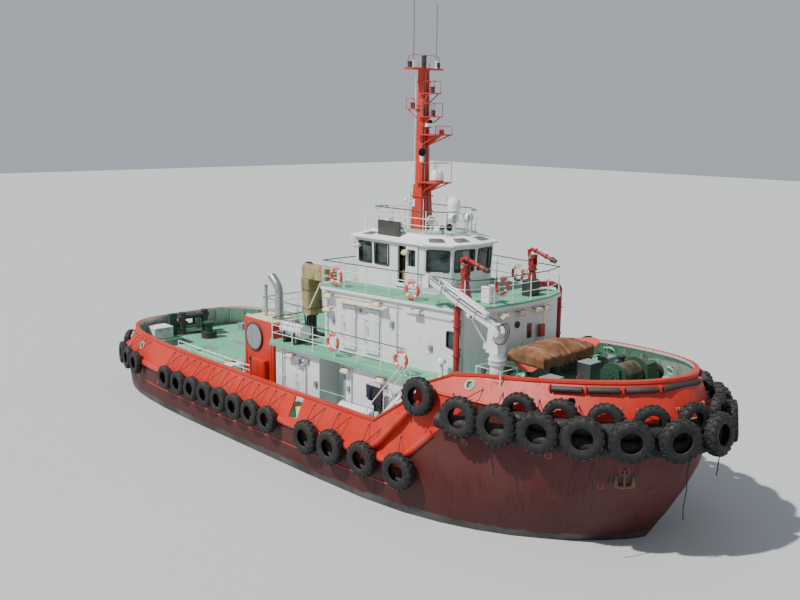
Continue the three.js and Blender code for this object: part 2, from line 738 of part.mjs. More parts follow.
function makeWheelhouse() {
  const foot = bothSides(wheelFootHalf);
  const head = bothSides(wheelHeadHalf);
  const doors = doorsAt(BRIDGE_DECK);
  let shell = walls(foot, BRIDGE_DECK + GAP, ROOF_EDGE - GAP, head, 90);
  const openings = [];
  for (const side of Object.values(SIDES)) {
    for (const { wall, from, to } of windowTable) {
      const ends = wheelHeadHalf.slice(wall, wall + 2);
      const length = Math.hypot(ends[1][0] - ends[0][0], ends[1][1] - ends[0][1]);
      const spot = onWall(ends, ends[0][0], side);
      openings.push(wallBlock(spot, length * from, length * to, -500, 300, WINDOW.sill, WINDOW.head));
    }
  }
  const aftPane = (y0, y1) => box(500, 1500, y0, y1, WINDOW.sill, WINDOW.head);
  openings.push(aftPane(-1550, -800), aftPane(-600, 600), aftPane(800, 1550));
  shell = cut(shell, openings, doors.map(doorOpening));
  shell = join(shell, doors.flatMap(doorLugs));
  add("wheelhouse", shell, "house_white");
  const pane = cut(
    walls(inset(foot, 91), BRIDGE_DECK + GAP, ROOF_EDGE - GAP, inset(head, 91), 14),
    box(0, 9000, -4000, 4000, BRIDGE_DECK - 100, WINDOW.sill - 100),
    box(0, 9000, -4000, 4000, WINDOW.head + 130, TOP_DECK),
  );
  const doorways = doors.map((door) => {
    const spot = onWall(door.wall, door.x, door.side);
    return wallBlock(spot, -360, 360, -500, 300, BRIDGE_DECK, WINDOW.head + 60);
  });
  add("wheelhouse_glazing", cut(pane, doorways), "glass_dark");
  const edge = bothSides(roofEdgeHalf);
  const crown = bothSides(topDeckHalf);
  const roof = join(
    prism(edge, ROOF_EDGE, ROOF_EDGE + 70),
    prism(edge, ROOF_EDGE + 70, TOP_DECK - 60, crown),
    prism(crown, TOP_DECK - 60, TOP_DECK),
  );
  const board = box(2240, 3490, -1680, -1620, ROOF_EDGE + 60, 9900);
  add("wheelhouse_roof", join(roof, board, topDeckDome()), "house_white");
  const console = join(
    box(4250, 4900, -1150, 1150, BRIDGE_DECK + GAP, 8050),
    box(3500, 4260, 750, 1150, BRIDGE_DECK + GAP, 8050),
  );
  const chair = join(
    box(3200, 4300, -200, 200, BRIDGE_DECK + GAP, BRIDGE_DECK + 80),
    bar(vec(3400, 0, BRIDGE_DECK + GAP), vec(3400, 0, 7760), 60, 8),
    box(3150, 3680, -270, 270, 7750, 7870),
    box(3080, 3190, -270, 270, 7800, 8500),
    box(3160, 3550, -330, -260, 7860, 8050),
    box(3160, 3550, 260, 330, 7860, 8050),
  );
  add("helm_station", join(console, chair), "dash_grey");
}

// A domed lamp on a post, on the top deck.
function topDeckDome() {
  return join(
    bar(vec(4800, 0, TOP_DECK - 20), vec(4800, 0, 10250), 90, 10),
    bar(vec(4800, 0, 10230), vec(4800, 0, 10700), 260, 12),
    bar(vec(4800, 0, 10690), vec(4800, 0, 10850), 260, 12, 110),
  );
}

// Casings beside the boat deck, with their exhausts

function makeCasing(name, side) {
  const y0 = 2200;
  const y1 = 3600;
  const body = prism(
    [
      [-4600, side * y0],
      [-2400, side * y0],
      [-2400, side * y1],
      [-4600, side * y1],
    ],
    DECK + GAP,
    5150,
  );
  const disc = bar(vec(-3800, side * (y1 - 5), 4350), vec(-3800, side * (y1 + 45), 4350), 570, 24);
  const thin = tube([vec(-3900, side * 2900, 5100), vec(-3900, side * 2900, 6500)], 70, 8);
  add(name, join(body, disc, thin), "hull_orange");
}

function makeExhaust(name, side) {
  const y = side * 2900;
  const pipe = tube(
    [
      vec(-2900, y, 5150 + GAP),
      vec(-2900, y, 6300),
      vec(-2960, y, 6560),
      vec(-3110, y, 6760),
      vec(-3420, y, 7020),
    ],
    185,
    12,
  );
  const base = bar(vec(-2900, y, 5150 + GAP), vec(-2900, y, 5210), 270, 12);
  add(name, join(pipe, base), "steel_bare");
}

// Mast

function makeMast() {
  const x = 3000;
  const square = (half, deep) => [
    [x - deep, -half],
    [x + deep, -half],
    [x + deep, half],
    [x - deep, half],
  ];
  const base = prism(square(340, 300), TOP_DECK + GAP, 11300, square(270, 240));
  const pole = prism(square(215, 200), 11200, MAST_TOP, square(165, 160));
  const platforms = [
    box(x, x + 1250, -420, 420, 11380, 11430),
    box(x, x + 1250, -420, 420, 13250, 13300),
    box(x, x + 800, -320, 320, 13950, 13990),
    box(x, x + 700, -300, 300, 14850, 14890),
    box(x - 750, x, -260, 260, 14250, 14290),
    box(x - 250, x + 250, -850, 850, MAST_TOP - 20, MAST_TOP + 50),
  ];
  const braces = [11380, 13250].map((z) =>
    slice(
      [
        [x, z - 600],
        [x + 1100, z + 10],
        [x, z + 10],
      ],
      -25,
      25,
    ),
  );
  const lamp = (px, py, pz) => bar(vec(px, py, pz - 5), vec(px, py, pz + 220), 90, 8);
  const lamps = [
    lamp(x, -760, MAST_TOP + 50),
    lamp(x, 760, MAST_TOP + 50),
    lamp(x, 0, MAST_TOP + 50),
    lamp(x, 0, MAST_TOP + 270),
    lamp(x + 500, 0, 14890),
    lamp(x + 550, 0, 13990),
    lamp(x - 600, 0, 14290),
  ];
  const whips = [
    tube([vec(x - 180, -400, MAST_TOP), vec(x - 180, -400, 18700)], 22, 4),
    tube([vec(x + 180, 500, MAST_TOP), vec(x + 180, 500, 18300)], 22, 4),
  ];
  const seat = bar(vec(x + 1050, 0, 13295), vec(x + 1050, 0, 13480), 110, 10);
  const dome = join(
    bar(vec(x + 850, 0, 11420), vec(x + 850, 0, 11780), 250, 14, 200),
    bar(vec(x + 850, 0, 11775), vec(x + 850, 0, 11900), 200, 14, 90),
  );
  add("mast", join(base, pole, platforms, braces, lamps, whips, seat, dome), "hull_orange");
  const array = join(
    bar(vec(x + 1050, 0, 13480 + GAP), vec(x + 1050, 0, 13600), 60, 10),
    box(x + 990, x + 1110, -840, 840, 13590, 13720),
  );
  add("radar_scanner", array, "house_white");
}

// Railings

// A railing along a line of [x, y] pairs on a deck: posts on the deck and level rails.
function railing(line, deck, { height = 1000, rails = 2, pitch = 2200, size = 40 } = {}) {
  const parts = [];
  for (let r = 1; r <= rails; r++) {
    const z = deck + (height * r) / rails - size / 2;
    parts.push(tube(line.map(([x, y]) => vec(x, y, z)), size * 0.62, 4));
  }
  const post = (x, y) => box(x - size / 2, x + size / 2, y - size / 2, y + size / 2, deck + GAP, deck + height);
  for (let i = 0; i + 1 < line.length; i++) {
    const [x0, y0] = line[i];
    const [x1, y1] = line[i + 1];
    const count = Math.max(1, Math.round(Math.hypot(x1 - x0, y1 - y0) / pitch));
    for (let k = i ? 1 : 0; k <= count; k++) {
      parts.push(post(x0 + ((x1 - x0) * k) / count, y0 + ((y1 - y0) * k) / count));
    }
  }
  return join(parts);
}

function makeRailings() {
  const boatLine = [
    [6300, -3880],
    [-1420, -4330],
    [-1420, -2040],
    [-5420, -2040],
    [-5420, 2040],
    [-1420, 2040],
    [-1420, 4330],
    [6300, 3880],
  ];
  add("railing_boat_deck", railing(boatLine, BOAT_DECK), "house_white");
  const bridgeLine = [
    [880, -700],
    [880, -3427],
    [8020, -2680],
    [8400, -1530],
    [8400, 1530],
    [8020, 2680],
    [880, 3427],
    [880, 700],
  ];
  add("railing_bridge_deck", railing(bridgeLine, BRIDGE_DECK), "house_white");
  const topLine = [
    [1600, -600],
    [1600, -1310],
    [4570, -1290],
    [5210, -840],
    [5340, -400],
    [5340, 400],
    [5210, 840],
    [4570, 1290],
    [1600, 1310],
    [1600, 600],
  ];
  add("railing_top_deck", railing(topLine, TOP_DECK, { height: 900, pitch: 1800 }), "house_white");
}

// Fire monitors

const monitor = { x: 7300, y: 1900, base: BRIDGE_DECK, slewZ: 8250, tiltZ: 8650 };

const EARS = 115; // from a barrel's middle to the ears that hold its trunnion

function makeMonitor(name, side) {
  const { x, base, slewZ, tiltZ } = monitor;
  const y = side * monitor.y;
  const pedestal = join(
    bar(vec(x, y, base + GAP), vec(x, y, base + 60), 330, 14),
    bar(vec(x, y, base + 50), vec(x, y, slewZ - 120), 270, 14, 120),
    bar(vec(x, y, slewZ - 125), vec(x, y, slewZ), 160, 14),
  );
  add(`${name}_pedestal`, join(pedestal, feedPipe(side)), "monitor_red");
  const head = join(
    bar(vec(x, y, slewZ + GAP), vec(x, y, slewZ + 70), 140, 14),
    box(x - 110, x + 110, y - 150, y - EARS, slewZ + 60, tiltZ + 90),
    box(x - 110, x + 110, y + EARS, y + 150, slewZ + 60, tiltZ + 90),
    box(x - 110, x + 110, y - 150, y + 150, slewZ + 60, slewZ + 120),
  );
  add(`${name}_head`, head, "monitor_red");
  const barrel = join(
    bar(vec(x, y - EARS + GAP, tiltZ), vec(x, y + EARS - GAP, tiltZ), 75, 12),
    tube(
      [
        vec(x - 20, y, tiltZ),
        vec(x - 185, y, tiltZ + 60),
        vec(x - 195, y, tiltZ + 225),
        vec(x - 50, y, tiltZ + 300),
        vec(x + 900, y, tiltZ + 20),
      ],
      72,
      8,
    ),
    bar(vec(x + 880, y, tiltZ + 26), vec(x + 1120, y, tiltZ - 51), 95, 10, 75),
  );
  add(`${name}_barrel`, barrel, "monitor_red");
}

// The pipe that feeds a monitor, up the front corner of the house and over to the pedestal.
function feedPipe(side) {
  const y = side * 2900;
  const x = 7880;
  const z = BRIDGE_DECK + 260;
  return tube(
    [
      vec(x, y, BOAT_DECK + GAP),
      vec(x, y, z - 200),
      vec(x - 60, y - side * 70, z - 50),
      vec(x - 190, y - side * 230, z),
      vec(monitor.x, side * monitor.y, z),
    ],
    115,
    10,
  );
}

// Deck crane on the starboard side of the forecastle

const crane = { x: 10150, y: -3300, slewZ: 5900, luffX: 10000, luffZ: 7050, tipX: 6700, tipZ: 8290 };

// The cylinder that lifts the boom: its barrel turns on a pin of the column, and the rod's eye lies between
// two plates under the boom.
const cylinderFoot = { x: 9720, z: 6350 };
const barrelSize = { length: 820, radius: 75, rod: 42, rodLength: 860 };
const CHEEKS = 150; // from the crane's middle to the cheeks that hold the boom's pin
const FOOT_LUGS = 90; // and to the lugs that hold the cylinder's foot

function makeLuffCylinder(eye) {
  const foot = vec(cylinderFoot.x, crane.y, cylinderFoot.z);
  const along = eye.clone().sub(foot).normalize();
  const at = (s) => foot.clone().addScaledVector(along, s);
  const { length, radius, rod, rodLength } = barrelSize;
  const across = (p, r, half) => bar(vec(p.x, p.y - half, p.z), vec(p.x, p.y + half, p.z), r, 12);
  const barrel = cut(
    join(bar(at(70), at(length), radius, 12), across(foot, 80, FOOT_LUGS - GAP), bar(at(30), at(120), 60, 12)),
    bar(at(240), at(length + 50), rod + GAP, 12),
    across(foot, 33, 200),
  );
  add("crane_cylinder", barrel, "steel_bare");
  const reach = eye.distanceTo(foot);
  const shaft = join(bar(at(reach - rodLength), at(reach), rod, 12), across(eye, 55, 45));
  add("crane_rod", shaft, "steel_bare");
}

function makeCrane() {
  const { x, y, slewZ, luffX, luffZ, tipX, tipZ } = crane;
  const pedestal = join(
    bar(vec(x, y, BOAT_DECK + GAP), vec(x, y, BOAT_DECK + 60), 360, 14),
    bar(vec(x, y, BOAT_DECK + 50), vec(x, y, slewZ), 230, 14),
  );
  add("crane_pedestal", pedestal, "house_white");
  const cheek = (y0, y1) =>
    slice(
      [
        [x - 330, slewZ + 300],
        [x + 200, slewZ + 300],
        [x + 200, luffZ - 100],
        [luffX + 110, luffZ + 110],
        [luffX - 110, luffZ + 110],
        [luffX - 110, luffZ - 100],
      ],
      y0,
      y1,
    );
  const { x: ax, z: az } = cylinderFoot;
  const column = join(
    [-FOOT_LUGS - 30, FOOT_LUGS].map((w) => box(ax - 90, x - 250, y + w, y + w + 30, az - 90, az + 90)),
    bar(vec(ax, y - FOOT_LUGS - 20, az), vec(ax, y + FOOT_LUGS + 20, az), 28, 10),
    bar(vec(x, y, slewZ + GAP), vec(x, y, slewZ + 330), 260, 14),
    cheek(y - 200, y - CHEEKS),
    cheek(y + CHEEKS, y + 200),
    box(x - 330, x + 200, y - 200, y + 200, slewZ + 280, slewZ + 420),
    box(x + 120, x + 200, y - 200, y + 200, slewZ + 300, luffZ - 160),
  );
  add("crane_column", column, "house_white");
  const along = vec(tipX - luffX, 0, tipZ - luffZ).normalize();
  const up = vec(-along.z, 0, along.x).multiplyScalar(-1);
  const start = vec(luffX, y, luffZ);
  const reach = Math.hypot(tipX - luffX, tipZ - luffZ);
  const beam = (s0, s1, low, high, half, middle = 0) =>
    loft(
      [s0, s1].map((s) =>
        [
          [low, middle - half],
          [high, middle - half],
          [high, middle + half],
          [low, middle + half],
        ].map(([u, w]) => start.clone().addScaledVector(along, s).addScaledVector(up, u).add(vec(0, w, 0))),
      ),
    );
  const lugAt = 1150;
  const boom = join(
    bar(vec(luffX, y - CHEEKS + GAP, luffZ), vec(luffX, y + CHEEKS - GAP, luffZ), 60, 10),
    beam(-80, 2300, -110, 110, 100),
    beam(2200, reach, -80, 80, 75),
    beam(400, 620, 100, 300, 60),
    beam(500, 2000, 180, 300, 55),
    beam(reach - 120, reach + 60, -190, 110, 60),
    [-80, 80].map((w) => beam(lugAt - 90, lugAt + 90, -250, -100, 15, w)),
  );
  add("crane_boom", boom, "house_white");
  makeLuffCylinder(start.clone().addScaledVector(along, lugAt).addScaledVector(up, -190));
}

// Deck gear

const INNER = 710; // from the winch's middle to its side plates

function makeWinch() {
  const x = 13000;
  const z = 5450;
  const plates = [-INNER - 50, INNER + 50].map((y) =>
    slice(
      [
        [x - 520, BOAT_DECK + GAP],
        [x + 520, BOAT_DECK + GAP],
        [x + 300, z + 330],
        [x - 300, z + 330],
      ],
      y - 50,
      y + 50,
    ),
  );
  const frame = join(
    plates,
    box(x - 520, x + 520, -800, 800, BOAT_DECK + GAP, BOAT_DECK + 90),
    box(x - 300, x + 300, 805, 1450, BOAT_DECK + GAP, z + 250),
  );
  const hole = bar(vec(x, -900, z), vec(x, 1300, z), 100 + RUN, 16);
  add("winch_frame", cut(frame, hole), "winch_green");
  const drum = join(
    bar(vec(x, -860, z), vec(x, 780, z), 100, 14),
    bar(vec(x, -640, z), vec(x, 640, z), 260, 18),
    bar(vec(x, -680, z), vec(x, -620, z), 520, 18),
    bar(vec(x, 620, z), vec(x, 680, z), 520, 18),
    bar(vec(x, -INNER + GAP, z), vec(x, INNER - GAP, z), 160, 14),
  );
  add("winch_drum", drum, "winch_green");
}

// A pair of posts on a base plate with a crossbar.
function bollards(x, y, deck, radius, apart, tall) {
  return join(
    box(x - apart, x + apart, y - radius * 1.4, y + radius * 1.4, deck - 20, deck + 40),
    [-1, 1].map((s) => bar(vec(x + (s * apart) / 2, y, deck + 30), vec(x + (s * apart) / 2, y, deck + tall), radius, 10)),
    bar(vec(x - apart, y, deck + tall * 0.6), vec(x + apart, y, deck + tall * 0.6), radius * 0.4, 8),
  );
}

const capstan = { x: -13600, foot: DECK + 260 };

// A mooring rope that lies coiled on the aft deck, as its outer shape.
const ropeCoil = { x: -7200, y: -2600, outer: 620, inner: 200, height: 340 };

function makeRopeCoil() {
  const { x, y, outer, inner, height } = ropeCoil;
  const ring = (r, z0, z1) => bar(vec(x, y, z0), vec(x, y, z1), r, 20);
  const foot = DECK + GAP;
  add("rope_coil", cut(ring(outer, foot, foot + height), ring(inner, foot - 10, foot + height + 10)), "rope");
}

// What is welded to the hull's decks: bollards, the capstan's foot, a chest, a locker and the boat's cradle.
function deckFittings() {
  const foot = bar(vec(capstan.x, 0, DECK - 20), vec(capstan.x, 0, capstan.foot), 420, 16);
  const chest = box(-15700, -14800, -2600, -1500, DECK - 20, DECK + 620);
  const pairs = Object.values(SIDES).flatMap((side) => [
    bollards(-13000, side * 3650, DECK, 130, 420, 620),
    bollards(11400, side * 2500, BOAT_DECK, 130, 420, 620),
  ]);
  const locker = box(10950, 11500, 150, 750, BOAT_DECK - 20, 5450);
  return join(foot, chest, locker, pairs, boatCradle());
}

function makeDeckGear() {
  const { x, foot } = capstan;
  const barrel = join(
    bar(vec(x, 0, foot + GAP), vec(x, 0, foot + 80), 360, 16),
    bar(vec(x, 0, foot + 70), vec(x, 0, foot + 540), 220, 16),
    bar(vec(x, 0, foot + 530), vec(x, 0, foot + 620), 330, 16),
  );
  add("capstan_head", barrel, "winch_green");
  const towPost = join(
    box(-15500, -14900, -1000, 1000, DECK + GAP, DECK + 50),
    [-700, 700].map((y) => bar(vec(-15200, y, DECK + 40), vec(-15200, y, DECK + 1250), 190, 12)),
    bar(vec(-15200, -950, DECK + 950), vec(-15200, 950, DECK + 950), 130, 12),
  );
  add("towing_posts", towPost, "steel_dark");
}

// A boat's hull lying athwartships, from rings of points along its length.
const boat = { x: 9900, y: 600, z: 5150, half: 2050, beam: 830, tall: 620 };

const boatShares = [-1, -0.9, -0.6, -0.2, 0.2, 0.55, 0.82, 0.97];

function boatRings() {
  return boatShares.map((s) => {
    const full = s < 0 ? 1 - 0.12 * s * s : (1 - s ** 3.2) ** (1 / 1.6);
    const b = boat.beam * Math.max(0.1, full);
    const keel = boat.z + (s > 0 ? 330 * s ** 3 : 0);
    const y = boat.y + s * boat.half;
    return [
      [-1, 1],
      [-0.92, 0.45],
      [-0.5, 0.12],
      [0, 0],
      [0.5, 0.12],
      [0.92, 0.45],
      [1, 1],
    ].map(([u, h]) => vec(boat.x + u * b, y, keel + h * (boat.tall + boat.z - keel)));
  });
}

function makeRescueBoat() {
  add("rescue_boat", loft(boatRings()), "cover_orange");
  const coverRings = boatShares.slice(1).map((s) => {
    const full = s < 0 ? 1 - 0.12 * s * s : (1 - s ** 3.2) ** (1 / 1.6);
    const b = (boat.beam + 20) * Math.max(0.1, full);
    const y = boat.y + s * boat.half;
    const crown = 330 * (1 - 0.5 * s * s);
    const z = boat.z + boat.tall + GAP;
    return [
      [-1, 0],
      [1, 0],
      [0.75, 0.55],
      [0, 1],
      [-0.75, 0.55],
    ].map(([u, h]) => vec(boat.x + u * b, y, z + h * crown));
  });
  add("rescue_boat_cover", loft(coverRings), "cover_orange");
}

// Two chocks across the boat, cut to its bottom.
function boatCradle() {
  const rings = boatRings();
  const chocks = [-1100, 900].map((dy) =>
    box(boat.x - 650, boat.x + 650, boat.y + dy - 60, boat.y + dy + 60, BOAT_DECK - 20, boat.z + 180),
  );
  return cut(
    join(chocks),
    loft(rings.map((ring) => ring.map((p) => vec(p.x, p.y, p.z - 2 * GAP)))),
    loft(rings.map((ring) => ring.map((p) => vec(boat.x + (p.x - boat.x) * 1.002, p.y, p.z)))),
  );
}

// Liferaft canisters, each on two saddles of the boat deck.
const raft = { x0: -1150, x1: 250, y: 3860, z: 5260, radius: 300 };

const raftBar = (side, radius) =>
  bar(vec(raft.x0, side * raft.y, raft.z), vec(raft.x1, side * raft.y, raft.z), radius, 14);

function raftSaddles(side) {
  const y = side * raft.y;
  const blocks = [-850, -130].map((x) => box(x, x + 80, y - 300, y + 300, BOAT_DECK - 20, raft.z - 110));
  return cut(join(blocks), raftBar(side, raft.radius + 2 * GAP));
}

function makeRafts() {
  for (const [name, side] of Object.entries(SIDES)) {
    add(`liferaft_${name}`, raftBar(side, raft.radius), "house_white");
  }
}

// A small folded crane under a canvas cover, aft on the boat deck: a column with its jib laid forward.
function makeCoveredCrane() {
  const x = -970;
  const y = -2585;
  const post = join(
    bar(vec(x, y, BOAT_DECK + GAP), vec(x, y, BOAT_DECK + 50), 300, 12),
    bar(vec(x, y, BOAT_DECK + 40), vec(x, y, 5700), 210, 12),
    bar(vec(x, y, 5650), vec(x, y, 5720), 290, 12),
  );
  add("aft_crane_post", post, "steel_dark");
  // Columns: height, then the ends along X and along Y.
  const column = [
    [5720 + GAP, -1260, -680, -2970, -2200],
    [6300, -1290, -650, -3010, -2160],
    [7680, -1270, -670, -2990, -2180],
  ];
  const jib = [
    [7240, -1250, 400, -2980, -2500],
    [7740, -1270, 440, -2990, -2480],
    [7860, -1150, 340, -2900, -2560],
  ];
  const cut45 = 90; // the corners' cut
  const ring = ([z, x0, x1, y0, y1]) =>
    [
      [x0, y0 + cut45],
      [x0 + cut45, y0],
      [x1 - cut45, y0],
      [x1, y0 + cut45],
      [x1, y1 - cut45],
      [x1 - cut45, y1],
      [x0 + cut45, y1],
      [x0, y1 - cut45],
    ].map(([u, w]) => vec(u, w, z));
  add("aft_crane_cover", join(loft(column.map(ring)), loft(jib.map(ring))), "canvas_tan");
}

// A sloping ladder from the side deck up to the boat deck.
function makeLadder(name, side) {
  const y = side * 4190;
  const foot = [4450, DECK + GAP];
  const head = [7000, 4500];
  const rail = (dy) =>
    slice(
      [
        [foot[0] - 60, foot[1]],
        [foot[0] + 120, foot[1]],
        [head[0] + 60, head[1]],
        [head[0] - 120, head[1]],
      ],
      y + dy - 15,
      y + dy + 15,
    );
  const treads = [];
  for (let i = 1; i <= 8; i++) {
    const t = i / 9;
    const x = foot[0] + (head[0] - foot[0]) * t;
    const z = foot[1] + (head[1] - foot[1]) * t;
    treads.push(box(x - 90, x + 90, y - 220, y + 220, z - 15, z + 15));
  }
  add(name, join(rail(-220), rail(220), treads), "house_white");
}

// Thrusters: a leg and nozzle that turn about the vertical, and a propeller inside

// A blade is a flat plate: its pitch in degrees, half its thickness, and its turn, as a share of the angle
// between two blades, onto the middle of one of the hub's flat sides.
const BLADE = { pitch: 35, half: 20, turn: 0.25 };

// Columns: radius, half chord.
const bladeRows = [
  [150, 65],
  [500, 300],
  [850, 380],
  [1085, 240],
];

function makeThruster(name, side) {
  const { x, seat, z, inner, outer, length } = thruster;
  const y = side * thruster.y;
  const half = length / 2;
  const profile = [
    [inner + 60, -half],
    [inner, -half * 0.3],
    [inner, half * 0.4],
    [inner + 90, half],
    [outer, half * 0.8],
    [outer, -half * 0.7],
    [inner + 60, -half],
  ].map(([r, h]) => new THREE.Vector2(r, h));
  const ring = new THREE.LatheGeometry(profile, 24);
  ring.applyQuaternion(new THREE.Quaternion().setFromUnitVectors(vec(0, 1, 0), vec(1, 0, 0)));
  const nozzle = solid(ring.translate(x, y, z));
  const hubFront = x + half - 100;
  const leg = join(
    nozzle,
    bar(vec(x, y, seat - GAP), vec(x, y, z + outer - 10), 620, 16),
    bar(vec(x + half - 330, y, z + outer - 60), vec(x + half - 330, y, z), 130, 12),
    bar(vec(x + 60, y, z), vec(hubFront, y, z), 210, 14, 120),
    box(x + half - 430, x + half - 230, y - 35, y + 35, z - inner - 40, z),
  );
  add(`thruster_${name}`, leg, "steel_dark");
  const tips = bladeRows.map(([r, half]) => [r, -half]);
  const outline = [...bladeRows, ...tips.reverse()];
  const pitch = (BLADE.pitch * Math.PI) / 180;
  const blades = [0, 1, 2, 3].map((i) => {
    const a = ((i + BLADE.turn) / 4) * 2 * Math.PI;
    const radial = vec(0, Math.cos(a), Math.sin(a));
    const around = vec(0, -Math.sin(a), Math.cos(a));
    const chord = around.clone().multiplyScalar(Math.cos(pitch)).add(vec(Math.sin(pitch), 0, 0));
    const through = around.clone().multiplyScalar(-Math.sin(pitch)).add(vec(Math.cos(pitch), 0, 0));
    const ring = (off) =>
      outline.map(([r, s]) =>
        vec(x - 130, y, z).addScaledVector(radial, r).addScaledVector(chord, s).addScaledVector(through, off),
      );
    return loft([ring(-BLADE.half), ring(BLADE.half)]);
  });
  const hub = join(
    bar(vec(x - 330, y, z), vec(x + 60 - GAP, y, z), 205, 8),
    bar(vec(x - 520, y, z), vec(x - 329, y, z), 60, 8, 200),
  );
  add(`propeller_${name}`, join(hub, blades), "bronze");
}

makeHull();
makeAftBulwark();
makeForeBulwark();
for (const [name, side] of Object.entries(SIDES)) makeSideFender(`fender_side_${name}`, side);
makeSternFender();
makeBowFender();
makeLowerHouse();
makeUpperHouse();
makeWheelhouse();
makeDoors();
for (const [name, side] of Object.entries(SIDES)) {
  makeCasing(`casing_${name}`, side);
  makeExhaust(`exhaust_${name}`, side);
  makeMonitor(`monitor_${name}`, side);
  makeLadder(`ladder_${name}`, side);
  makeThruster(name, side);
}
makeRopeCoil();
makeMast();
makeRailings();
makeCrane();
makeWinch();
makeDeckGear();
makeRescueBoat();
makeRafts();
makeCoveredCrane();

export default group;
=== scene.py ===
# %% [markdown]
# A harbour tug, dressed for a studio picture.
# The solids of the hull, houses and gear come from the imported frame, in metres: +X is forward, +Y is port,
# +Z is up, and z = 0 is the waterline. Each cell below adds one kind of piece or finish to them, and every
# piece rides on the body that carries it, so that the doors, monitors and crane can still move.

# %% Frame
import json
import math
import random

import bmesh
import bpy
from mathutils import Matrix, Vector, noise
from mathutils.bvhtree import BVHTree

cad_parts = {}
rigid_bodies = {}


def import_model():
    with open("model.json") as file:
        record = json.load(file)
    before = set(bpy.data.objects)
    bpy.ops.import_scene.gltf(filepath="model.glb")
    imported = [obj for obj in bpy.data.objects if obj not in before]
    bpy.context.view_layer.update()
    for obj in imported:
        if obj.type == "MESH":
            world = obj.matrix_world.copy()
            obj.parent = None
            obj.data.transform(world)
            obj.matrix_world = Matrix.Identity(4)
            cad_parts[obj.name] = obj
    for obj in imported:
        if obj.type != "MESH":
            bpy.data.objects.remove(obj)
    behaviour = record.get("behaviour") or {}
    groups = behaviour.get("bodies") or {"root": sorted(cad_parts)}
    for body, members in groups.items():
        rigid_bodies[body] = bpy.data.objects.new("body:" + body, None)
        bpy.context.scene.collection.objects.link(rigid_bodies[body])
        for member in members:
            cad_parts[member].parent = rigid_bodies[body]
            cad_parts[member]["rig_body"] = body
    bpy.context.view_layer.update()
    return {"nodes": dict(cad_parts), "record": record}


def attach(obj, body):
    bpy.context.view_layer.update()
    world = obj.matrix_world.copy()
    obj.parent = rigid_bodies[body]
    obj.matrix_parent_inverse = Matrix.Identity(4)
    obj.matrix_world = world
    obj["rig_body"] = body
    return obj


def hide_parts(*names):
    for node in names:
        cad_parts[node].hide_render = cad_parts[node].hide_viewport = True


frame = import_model()
nodes = frame["nodes"]
random.seed(7)
print("frame:", len(nodes), "nodes")

# %% [markdown]
# The picture was taken from a quay or a ship's deck, a little above the wheelhouse roof, looking at the
# starboard bow. The camera's place and turn were worked out from the deck edges and the rows of tyres, so
# it is set once here, and nothing else in the scene depends on it.

# %% Camera
CAMERA_PLACE = Vector((30.7, -26.8, 13.9))
CAMERA_HEADING = math.radians(47.2)  # from +Y towards -X
CAMERA_DIP = math.radians(10.83)
CAMERA_ROLL = math.radians(0.63)
PICTURE_WIDTH = 800
FOCAL_PIXELS = 950
SENSOR = 36.0

forward = Vector(
    (
        -math.sin(CAMERA_HEADING) * math.cos(CAMERA_DIP),
        math.cos(CAMERA_HEADING) * math.cos(CAMERA_DIP),
        -math.sin(CAMERA_DIP),
    )
)
level_right = Vector((math.cos(CAMERA_HEADING), math.sin(CAMERA_HEADING), 0))
level_up = level_right.cross(forward)
right = level_right * math.cos(CAMERA_ROLL) + level_up * math.sin(CAMERA_ROLL)
up = level_up * math.cos(CAMERA_ROLL) - level_right * math.sin(CAMERA_ROLL)
camera = bpy.data.objects.new("camera", bpy.data.cameras.new("camera"))
camera.data.sensor_width = SENSOR
camera.data.lens = FOCAL_PIXELS / PICTURE_WIDTH * SENSOR
camera.data.clip_end = 500
camera.matrix_world = Matrix.Translation(CAMERA_PLACE) @ Matrix((right, up, -forward)).transposed().to_4x4()
bpy.context.scene.collection.objects.link(camera)
bpy.context.scene.camera = camera
print("camera lens:", round(camera.data.lens, 2), "mm")

# %% [markdown]
# Sun on a hazy day gives one hard key and a bright sky all round. The key stands high over the starboard
# side, a little aft, so that this side is lit along its length and the wheelhouse front lies in soft shade.
# The floor is pale and lies at the waterline, which hides the part of the hull that would be under water.

# %% Stage and light
TOWARDS_SUN = Vector((-0.25, -0.85, 1.15))
SUN_STRENGTH, SUN_SPREAD = 5.2, math.radians(1.5)
SKY_STRENGTH = 0.5
FLOOR_SIZE = 400


def studio():
    world = bpy.context.scene.world or bpy.data.worlds.new("studio")
    bpy.context.scene.world = world
    world.use_nodes = True
    sky = world.node_tree.nodes["Background"]
    sky.inputs["Color"].default_value = (0.86, 0.91, 1.0, 1)
    sky.inputs["Strength"].default_value = SKY_STRENGTH
    sun = bpy.data.objects.new("sun", bpy.data.lights.new("sun", "SUN"))
    sun.data.energy = SUN_STRENGTH
    sun.data.angle = SUN_SPREAD
    sun.data.color = (1.0, 0.96, 0.9)
    sun.rotation_euler = TOWARDS_SUN.to_track_quat("Z", "Y").to_euler()
    bpy.context.scene.collection.objects.link(sun)
    bm = bmesh.new()
    bmesh.ops.create_grid(bm, x_segments=1, y_segments=1, size=FLOOR_SIZE / 2)
    mesh = bpy.data.meshes.new("floor")
    bm.to_mesh(mesh)
    bm.free()
    floor = bpy.data.objects.new("floor", mesh)
    bpy.context.scene.collection.objects.link(floor)
    paper = bpy.data.materials.new("floor_paper")
    paper.use_nodes = True
    shader = paper.node_tree.nodes["Principled BSDF"]
    shader.inputs["Base Color"].default_value = (0.5, 0.53, 0.54, 1)
    shader.inputs["Roughness"].default_value = 0.9
    mesh.materials.append(paper)


studio()

# %% [markdown]
# Every material here is made of nodes, so a short helper adds a node, sets its sockets and links what is
# linked. The patterns read Object coordinates, which are metres in the frame, so a grain of 40 has the
# same size on the hull as on a door.

# %% Node helpers


